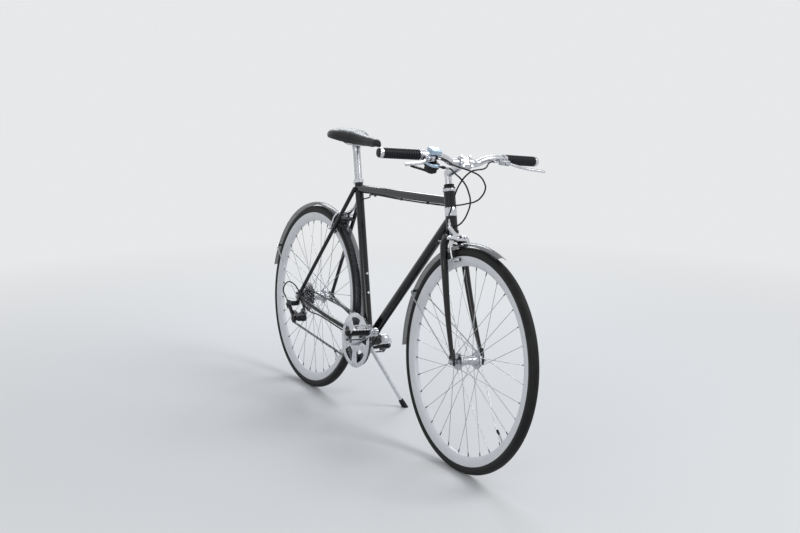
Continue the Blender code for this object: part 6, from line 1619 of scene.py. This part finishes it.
def makePedal(hand, name, body):
    turn = -crank["turn"] if hand == left else crank["turn"]
    level = crankPlace(hand) @ shift(crank["length"], 0, 0) @ Matrix.Rotation(turn, 4, "Z")
    inner, outer, half = pedal["inner"], pedal["outer"], pedal["half"]
    middle = (inner + outer) / 2
    barrel = [
        (0.005, inner - 0.004), (0.0086, inner - 0.004), (0.0094, inner - 0.0032), (0.012, inner + 0.002),
        (0.0116, inner + 0.01), (0.0098, middle), (0.0106, outer - 0.012), (0.0115, outer - 0.004),
        (0.0115, outer + 0.003), (0.0104, outer + 0.0038), (0.01, outer + 0.005), (0.0078, outer + 0.009),
        (0.0064, outer + 0.0098), (0.0, outer + 0.01), (0.0, outer - 0.008), (0.005, outer - 0.008),
    ]
    core = [lathe(barrel, level, 48)]
    for end in (-1, 1):
        for edge in (-1, 1):
            place = level @ shift(end * (half - 0.016), 0, middle + edge * 0.02)
            core.append(block((0.026, 0.0085, 0.009), place, 0.0018, 3))
    addPiece(name + "Core", core, blackPlastic, body)
    teeth = []
    length = outer - inner
    for k in range(13):
        x = -length / 2 + length * k / 12
        teeth.append((x, 0.0115 if k % 2 else 0.009))
    outline = teeth + [(x, -y) for x, y in reversed(teeth)]
    window = [(-0.026, -0.0048), (0.026, -0.0048), (0.026, 0.0048), (-0.026, 0.0048)]
    cage = []
    for end in (-1, 1):
        plane = level @ shift(end * half, 0, middle) @ placeAt((0, 0, 0), (1, 0, 0), (0, 0, 1))
        cage.append(flat([outline, window], 0.0022, plane, 0.0003))
        for edge in (-1, 1):
            bolt = level @ shift(end * (half + 0.0008), 0, middle + edge * 0.02)
            cage.append(capBolt(bolt @ placeAt((0, 0, 0), (end, 0, 0), (0, 0, 1)), 0.0028, 0.0012))
    for y in (inner + 0.0015, outer - 0.0015):
        cage.append(block((2 * half + 0.001, 0.015, 0.0026), level @ shift(0, 0, y), 0.0006))
    addPiece(name + "Cage", cage, satinAlloy, body, ["pedal_" + name.split("Pedal")[0]], 30.0)


# Brake calipers: X is the left arm's side, Y up and Z out of the caliper's front
arms = {
    "barrel": [
        (0.0085, 0.001), (0.006, 0.0085), (-0.006, 0.013), (-0.017, 0.024), (-0.024, 0.033),
        (-0.034, 0.033), (-0.033, 0.026), (-0.025, 0.014), (-0.02, 0.001), (-0.031, -0.008),
        (-0.0335, -0.022), (-0.0315, -0.06), (-0.027, -0.0755), (-0.0205, -0.0755), (-0.0215, -0.06),
        (-0.0235, -0.022), (-0.019, -0.014), (-0.006, -0.0085), (0.005, -0.007),
    ],
    "clamp": [
        (0.0185, 0.0045), (0.029, -0.0015), (0.0335, -0.0135), (0.034, -0.0235), (0.0315, -0.0615),
        (0.027, -0.077), (0.0205, -0.077), (0.0215, -0.0615), (0.024, -0.0255), (0.019, -0.0135),
        (0.008, -0.013), (-0.01, -0.0125), (-0.03, -0.008), (-0.043, -0.0085), (-0.046, -0.0025),
        (-0.042, 0.0035), (-0.028, 0.0025), (-0.008, -0.0005),
    ],
    "pad": (0.0085, 0.009, 0.044),
}


def brakePad(place, hand):
    inner = wheel["rimHalf"] + 0.0023
    depth, height, length = arms["pad"]
    turned = place @ shift(hand * inner, -caliper["reach"], caliper["layer"] + 0.002)
    turned = turned @ Matrix.Rotation(math.radians(6.0), 4, "X")
    shoe = block((depth * 0.55, height, length), turned @ shift(hand * depth * 0.275, 0, 0), 0.0008)
    holderSize = (depth * 0.42, height * 0.9, length * 0.96)
    holder = block(holderSize, turned @ shift(hand * depth * 0.76, 0, 0), 0.001, 3)
    out = placeAt(turned @ Vector((hand * depth * 0.95, 0, 0)), turned.to_3x3() @ Vector((hand, 0, 0)))
    nut = hexNut(out @ shift(0, 0, 0.0125), 0.008, 0.0045)
    stud = rod(out @ Vector((0, 0, -0.001)), out @ Vector((0, 0, 0.0155)), 0.0025)
    return shoe, [holder, stud, nut]


def caliperArm(name, pivot, depth, place, level):
    outlines = [arms[name], ringOf(0.0033, 24, pivot)]
    return flat(outlines, depth, place @ shift(0, 0, level), 0.0018, (0,), 4, 3)


def makeCaliper(place, prefix, body):
    layer = caliper["layer"]
    depth = layer - bike["gap"]
    leftward = (place.to_3x3() @ Vector((1.0, 0.0, 0.0))).y > 0
    near, far = ("right", "left") if leftward else ("left", "right")
    levels = [bike["gap"] + depth / 2, layer + bike["gap"] + depth / 2]
    shoes = []
    first = [caliperArm("barrel", (0.0, 0.0), depth, place, levels[0])]
    barrelFoot = place @ Vector((caliper["barrelX"], 0.03, levels[0]))
    first.append(barrelAdjuster(barrelFoot, place @ Vector((caliper["barrelX"], 0.046, levels[0]))))
    bolt = place @ shift(0, 0, levels[1] + depth / 2 + 0.0006)
    second = [caliperArm("clamp", caliper["pivot"], depth, place, levels[1])]
    clampAt = place @ shift(-0.04, -0.0025, layer + 0.002 + 0.0052)
    stud = clampAt @ Vector((0, 0, -0.005)), clampAt @ Vector((0, 0, 0.003))
    second.append(rod(*stud, 0.0048, sides=24, rounding=0.0004))
    second.append(hexNut(clampAt @ shift(0, 0, 0.0052), 0.008, 0.004))
    for pieces, hand in ((first, right), (second, left)):
        shoe, holder = brakePad(place, hand)
        shoes.append(shoe)
        pieces += holder
    barrelBody, clampBody = prefix + "_barrel_arm", prefix + "_clamp_arm"
    node = prefix + "_brake_arm_"
    addPiece(prefix + "BarrelArm", first, polishedAlloy, barrelBody, [node + near], 40.0)
    addPiece(prefix + "ClampArm", second, polishedAlloy, clampBody, [node + far], 40.0)
    addPiece(prefix + "BarrelPad", shoes[0], padRubber, barrelBody)
    addPiece(prefix + "ClampPad", shoes[1], padRubber, clampBody)
    nut = join(hexNut(bolt, 0.009, 0.003), rod(bolt.translation, bolt @ Vector((0, 0, 0.003)), 0.0028))
    addPiece(prefix + "CaliperNut", nut, darkNickel, body, angle=30.0)
    # the bare wire between the barrel and its clamp rides the barrel's arm
    wireStart = place @ Vector((caliper["barrelX"], 0.0302, levels[0]))
    wire = rod(wireStart, place @ Vector((-0.0375, -0.0012, layer + 0.0085)), 0.0008, sides=8)
    addPiece(prefix + "InnerWire", wire, brightSteel, barrelBody)


# Derailleur: the CAD forms with rounded edges, and bolts and pulleys added
derailleur = {
    "hanger": (-0.008, bike["wheelRadius"] - 0.027), "knuckle": (0.029, bike["wheelRadius"] - 0.078),
    "top": Vector((-0.033, -0.0905, bike["wheelRadius"] - 0.04)), "line": Vector((0.043, 0.0, -0.036)),
    "cageY": (-0.05, -0.037),
}


def hull(circles, steps=28):
    # the outline round several circles
    points = sorted(p for centre, radius in circles for p in ringOf(radius, steps, centre, 0.1))
    outline = []
    for ordered in (points, points[::-1]):
        half = []
        for p in ordered:
            while len(half) > 1 and (
                (half[-1][0] - half[-2][0]) * (p[1] - half[-2][1])
                - (half[-1][1] - half[-2][1]) * (p[0] - half[-2][0])
            ) <= 1e-9:
                half.pop()
            half.append(p)
        outline += half[:-1]
    return outline


def makeDerailleur():
    axis = derailleur["line"].cross(across).normalized()
    top, bottom = derailleur["top"], derailleur["top"] + derailleur["line"]
    for part, body in (("body", "frame"), ("link", "derailleur_arm"), ("knuckle", "derailleur_head")):
        node = "derailleur_" + part
        addPiece("derailleur" + part.capitalize(), cadCopy(node, 0.0006), blackPlastic, body, [node], 40.0)
    facePlace = placeAt(top + derailleur["line"] * 0.5 - axis * 0.0046, derailleur["line"], axis)
    face = block((0.0016, 0.01, 0.04), facePlace, 0.0007, 2)
    addPiece("derailleurLinkFace", face, polishedAlloy, "derailleur_arm")
    for place, holder, name in ((top, "frame", "Top"), (bottom, "derailleur_head", "Bottom")):
        heads = []
        for hand in (-1, 1):
            foot = place + axis * hand * 0.0116
            heads.append(capBolt(placeAt(foot, axis * hand), 0.0036, 0.0012))
        addPiece("derailleurPins" + name, heads, polishedAlloy, holder, angle=30.0)
    mount = placeAt(side(derailleur["hanger"], -0.095), -across)
    addPiece("hangerBolt", capBolt(mount, 0.0078, 0.003, 0.45), polishedAlloy, "frame", angle=30.0)
    head = placeAt(side(derailleur["knuckle"], -0.081), -across)
    addPiece("knuckleCap", capBolt(head, 0.007, 0.0014, 0.3), darkNickel, "derailleur_head", angle=30.0)

    guide, knuckleAt = drive["guide"], derailleur["knuckle"]
    outerY, innerY = derailleur["cageY"]
    outline = hull([(knuckleAt, 0.009), (guide, 0.0095), (tension, 0.0085)])
    outer = flat([outline, ringOf(0.0043, 24, knuckleAt)], 0.002, upright((0, 0), outerY), 0.0004, segments=2)
    inner = flat([hull([(guide, 0.009), (tension, 0.0085)])], 0.002, upright((0, 0), innerY), 0.0004)
    cage = [outer, inner]
    bolts = []
    for centre in (guide, tension):
        cage.append(rod(side(centre, -0.05), side(centre, -0.037), 0.0025))
        bolts.append(capBolt(placeAt(side(centre, -0.0508), -across), 0.0042, 0.0018))
        bolts.append(rod(side(centre, -0.0362), side(centre, -0.0352), 0.0034, sides=20))
    addPiece("derailleurCage", cage, darkNickel, "derailleur_cage", ["derailleur_cage"], 30.0)
    addPiece("cageBolts", bolts, polishedAlloy, "derailleur_cage", angle=30.0)
    for index, centre, name in ((2, guide, "guide"), (3, tension, "tension")):
        teeth = toothOutline(drive["pulleyTeeth"], gapPhase(index))
        outlines = [teeth, ringOf(0.004, 24)]
        rim = flat(outlines, 0.0024, upright(centre, drive["line"]), 0.0003)
        half = [(0.0028, 0.005), (0.0064, 0.005), (0.0068, 0.0044)]
        hub = half + [(r, -z) for r, z in reversed(half)]
        pulley = join(rim, lathe(hub, lateral(centre, drive["line"]), 32))
        addPiece(name + "Pulley", pulley, blackPlastic, name + "_pulley", [name + "_jockey"], 35.0)


# Cables: the route of each, held all the way, with a ferrule at each end. Rows are (forward, left, up),
# but (up, forward, left) by the head and (share, turn) by the down tube
cable = {
    "radius": 0.0025,
    "front": (
        (0.055, 0.038, -0.0105), (0.059, 0.004, -0.016), (0.056, -0.006, -0.0195), (0.041, -0.018, -0.037),
        (0.028, -0.024, -0.057), (0.014, -0.028, -0.085), (0.007, -0.03, -0.112), (0.001, -0.031, -0.138),
    ),
    "rearByBar": (
        (0.034, -0.06, -0.006), (0.039, -0.02, -0.016), (0.042, 0.003, -0.0223), (0.055, 0.025, -0.034),
        (0.069, 0.036, -0.056), (0.071, 0.038, -0.0683), (0.055, 0.036, -0.0974), (0.03, 0.032, -0.114),
        (0.001, 0.029, -0.1225), (-0.03, 0.027, -0.1305), (-0.062, 0.025, -0.1365), (-0.108, 0.016, -0.1425),
    ),
    "rearBySeat": (
        (0.0629, 0.016, -0.053), (0.0209, 0.027, -0.062), (-0.0121, 0.035, -0.068), (-0.0361, 0.034, -0.075),
    ),
    "shiftByBar": (
        (0.037, -0.053, -0.031), (0.0405, -0.034, -0.045), (0.045, -0.016, -0.0645), (0.048, -0.006, -0.0845),
        (0.049, 0.002, -0.1065), (0.047, 0.004, -0.125), (0.039, 0.004, -0.146), (0.024, 0.002, -0.172),
        (0.0065, -0.004, -0.19),
    ),
    "shiftByHead": (
        (0.007, 0.02, -0.014), (0.0, 0.011, -0.0232), (-0.007, -0.001, -0.0255), (-0.0103, -0.0165, -0.0225),
        (-0.0096, -0.0341, -0.013),
    ),
    "shiftByDownTube": ((0.887, 69), (0.835, 69), (0.6, 76), (0.3, 86), (0.13, 90)),
    "shiftByBracket": (
        (0.008, 0.0, -0.0248), (-0.025, -0.012, -0.024), (-0.085, -0.027, -0.003), (-0.16, -0.0445, 0.013),
    ),
    "shiftByRear": (
        (0.15, -0.061, -0.0385), (0.1, -0.0715, -0.0355), (0.07, -0.08, -0.019), (0.05, -0.087, 0.006),
        (0.034, -0.0905, 0.03), (0.003, -0.095, 0.048), (-0.031, -0.1, 0.051), (-0.066, -0.1, 0.03),
        (-0.078, -0.098, 0.008),
    ),
}


def routed(name, origin):
    return [origin + Vector(row) for row in cable[name]]


def fromLever(hand):
    place = leverPlace(hand)
    return place @ Vector((-0.0402, 0.025, 0.0)), place @ Vector((-0.06, 0.025, 0.0))


def ferrule(end, inward, body, name):
    line = (inward - end).normalized()
    profile = [
        (0.0, -0.0004), (0.0027, -0.0004), (0.0029, 0.0), (0.0029, 0.009), (0.0027, 0.0096), (0.0025, 0.0098),
        (0.0, 0.0098),
    ]
    addPiece(name, lathe(profile, placeAt(end, line, (1.0, 0.0, 0.0)), 20), brightSteel, body, angle=40.0)


def crossing(name, node, points, start, end):
    # a housing from the bars back along the frame, made as one piece with its transform baked into its mesh
    made = dress(name, tube(points, cable["radius"], sides=12, detail=6), cableHousing, [node])
    tuple(bikeSpace @ start)
    tuple(bikeSpace @ end)
    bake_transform(made)


def makeFrontCable():
    top, end = barrelEnd(frontCaliper)
    start, second = fromLever(left)
    points = [start, second, *routed("front", barCentre), top, end]
    housing = tube(points, cable["radius"], sides=12, detail=7)
    addPiece("frontBrakeCable", housing, cableHousing, "steering", ["front_brake_cable"])
    ferrule(start, second, "steering", "frontCableLeverFerrule")
    ferrule(end, top, "steering", "frontCableFerrule")


def barrelEnd(place):
    end = place @ Vector((caliper["barrelX"], 0.046 + bike["gap"], bike["gap"] + caliper["layer"] / 2))
    return end + place.to_3x3() @ Vector((0.0, 0.018, 0.0)), end


def makeRearCable():
    under = tubes["topRadius"] + cable["radius"] + 0.0005
    lineStart, lineEnd = steer(steerAtHeight(tubes["topHead"])), seat(tubes["topSeat"])
    down = Vector((0.045, 0.0, -1.0)).normalized()
    beneath = [lineStart.lerp(lineEnd, share) + down * under for share in (0.155, 0.5, 0.86)]
    start, second = fromLever(right)
    top, end = barrelEnd(rearCaliper)
    points = [
        start, second, *routed("rearByBar", barCentre), *beneath,
        *routed("rearBySeat", seat(tubes["seatTop"])), top, end,
    ]
    crossing("rearBrakeCable", "rear_brake_cable", points, points[3], points[13])
    ferrule(start, second, "steering", "rearCableLeverFerrule")
    ferrule(end, top, "frame", "rearCableFerrule")
    guides = []
    for share in (0.22, 0.5, 0.8):
        centre = lineStart.lerp(lineEnd, share) + down * under
        along = (lineEnd - lineStart).normalized()
        guides.append(rod(centre - along * 0.004, centre + along * 0.004, 0.0037, sides=16, rounding=0.0004))
        guides.append(block((0.005, 0.007, 0.005), placeAt(centre - down * 0.003, down, along), 0.0008))
    addPiece("cableGuides", guides, framePaint, "frame")


def makeShiftCable():
    place = shifterPlace()
    barrel, line = shifter["barrelEnd"], shifter["barrelLine"]
    start, second = (place @ (barrel + line * reach) for reach in (0.0006, 0.014))
    barrelLine = Vector((-0.7, -0.1, 0.7)).normalized()
    end = derailleur["top"] - derailleur["line"].normalized() * 0.01 + barrelLine * 0.0166
    points = [
        start, second, *routed("shiftByBar", barCentre),
        *(steer(tubes["headLow"] + up, forward, y) for up, forward, y in cable["shiftByHead"]),
        *(byDownTube(*row) for row in cable["shiftByDownTube"]),
        *routed("shiftByBracket", side(bracket)), *routed("shiftByRear", side(rearAxle)),
        end + barrelLine * 0.014, end,
    ]
    crossing("shiftCable", "shift_cable", points, points[3], points[15])
    ferrule(start, second, "steering", "shiftCableFerrule")
    ferrule(end, end + barrelLine * 0.014, "frame", "shiftCableEnd")
    clips = []
    for share, turn in ((0.7, 74), (0.4, 83)):
        centre = byDownTube(share, turn)
        along = (steer(steerAtHeight(tubes["downHead"])) - side(bracket)).normalized()
        clips.append(rod(centre - along * 0.003, centre + along * 0.003, 0.0036, sides=16, rounding=0.0004))
    addPiece("shiftCableClips", clips, blackPlastic, "frame")


def makeShiftPaddle():
    place = shifterPlace()
    low = place @ shift(0.0, 0.002, 0.0508)
    paddle = flat([shifter["paddle"]], 0.006, low, 0.0018, (0,), 6, 3)
    addPiece("shiftPaddle", paddle, blackPlastic, "shift_paddle", ["shifter_paddle"], 45.0)


makeChainstays()
makeSeatstays()
makeFork()
print("stays and fork made")
makeFender(frontAxle, "frontFender", "front_fender", "steering", 70.0, 185.0, [(steer(0.3618), 0.0003)])
makeFender(
    rearAxle, "rearFender", "rear_fender", "frame", -11.0, 169.5,
    [
        (Vector((bridge.x, 0.0, bridge.z)), 0.0078),
        (roundWheel(rearAxle, fender["radius"] + fender["bridgeUp"], fender["bridgeTurn"]), 0.0053),
    ],
)
eyeZ = bike["wheelRadius"] + 0.009
frontEye, rearEye = (bike["wheelbase"] - 0.016, eyeZ), (-0.018, eyeZ)
makeStay(frontAxle, "frontFenderStay", "front_fender_stay", "steering", frontEye, 0.0576, 154.5)
makeStay(rearAxle, "rearFenderStay", "rear_fender_stay", "frame", rearEye, 0.0737, 156.0)
makeStand()
makeRails()
makeSeatpost()
makeCollar()
makeSaddle()
print("fenders, stand and saddle made")
makeBar()
makeStem()
makeLevers()
makeShifter()
makeShiftPaddle()
print("bar and controls made")
makeChain()
makeCassette()
makeCranks()
makePedal(right, "rightPedal", "right_pedal")
makePedal(left, "leftPedal", "left_pedal")
print("drive made")
makeCaliper(frontCaliper, "front", "steering")
makeCaliper(rearCaliper, "rear", "frame")
makeDerailleur()
makeFrontCable()
makeRearCable()
makeShiftCable()
print("brakes, derailleur and cables made")


# Light, floor and camera
studio = {
    "cameraPlace": (3.264869, -1.922061, 1.29302), "cameraTurn": (78.7004, 0.0, 59.3805), "lens": 51.156,
    "backdrop": (0.8, 0.81, 0.82), "floor": (0.7, 0.705, 0.71), "ambient": 0.55,
}


def makeFloor():
    form = bmesh.new()
    bmesh.ops.create_circle(form, cap_ends=True, segments=96, radius=60.0)
    floor = asObject(form, "floor")
    pale = Finish("paleFloor", studio["floor"], 0.8)
    reach = pale.node("ShaderNodeVectorMath", {"operation": "LENGTH"}, {0: pale.place}, 1)
    far = pale.ramp(reach * 0.1, (0.08, 0.0), (0.36, 1.0))
    seen = pale.node("ShaderNodeLightPath", output="Is Camera Ray")
    mirrored = pale.node("ShaderNodeLightPath", output="Is Glossy Ray")
    through = pale.node("ShaderNodeLightPath", output="Is Transmission Ray")
    glow = pale.node("ShaderNodeEmission", {}, {"Color": shade(*studio["backdrop"]), "Strength": 1.0})
    mask = far * (seen + mirrored + through)
    mixed = pale.node("ShaderNodeMixShader", {}, {0: mask, 1: Wire(pale, pale.shader.outputs[0]), 2: glow})
    pale.tree.links.new(mixed.socket, pale.tree.nodes["Material Output"].inputs["Surface"])
    floor.data.materials.append(pale.made)


def makeWorld():
    world = bpy.data.worlds.new("studio")
    bpy.context.scene.world = world
    world.use_nodes = True
    tree = world.node_tree
    tree.nodes.clear()
    path = tree.nodes.new("ShaderNodeLightPath")
    mix = tree.nodes.new("ShaderNodeMixShader")
    shades = (((0.92, 0.95, 1.0), studio["ambient"]), (studio["backdrop"], 1.0))
    for index, (colour, strength) in enumerate(shades, 1):
        sky = tree.nodes.new("ShaderNodeBackground")
        sky.inputs["Color"].default_value = shade(*colour)
        sky.inputs["Strength"].default_value = strength
        tree.links.new(sky.outputs[0], mix.inputs[index])
    out = tree.nodes.new("ShaderNodeOutputWorld")
    seen = path.outputs["Is Camera Ray"]
    for ray in ("Is Glossy Ray", "Is Transmission Ray"):
        added = tree.nodes.new("ShaderNodeMath")
        added.operation = "MAXIMUM"
        tree.links.new(seen, added.inputs[0])
        tree.links.new(path.outputs[ray], added.inputs[1])
        seen = added.outputs[0]
    tree.links.new(seen, mix.inputs[0])
    tree.links.new(mix.outputs[0], out.inputs["Surface"])


def addLight(name, place, target, size, power, colour=(1.0, 1.0, 1.0)):
    lamp = bpy.data.lights.new(name, "AREA")
    lamp.shape = "RECTANGLE"
    lamp.size, lamp.size_y = size
    lamp.energy = power
    lamp.color = colour
    holder = bpy.data.objects.new(name, lamp)
    bpy.context.scene.collection.objects.link(holder)
    holder.location = place
    aim = (Vector(target) - Vector(place)).to_track_quat("-Z", "Y")
    holder.rotation_euler = aim.to_euler()


makeFloor()
makeWorld()
addLight("key", (2.4, 1.6, 3.4), (0.1, 0.0, 0.45), (1.5, 1.5), 62.0)
addLight("fill", (2.6, -3.4, 1.6), (0.1, 0.0, 0.5), (2.2, 1.2), 26.0)
addLight("back", (-2.6, 1.4, 2.4), (0.0, 0.0, 0.5), (1.8, 1.0), 40.0, (0.9, 0.95, 1.0))

cameraData = bpy.data.cameras.new("camera")
cameraData.lens = studio["lens"]
cameraData.sensor_width = 36.0
camera = bpy.data.objects.new("camera", cameraData)
bpy.context.scene.collection.objects.link(camera)
camera.location = studio["cameraPlace"]
camera.rotation_euler = [math.radians(turn) for turn in studio["cameraTurn"]]
bpy.context.scene.camera = camera
bpy.context.scene.view_settings.view_transform = "Standard"
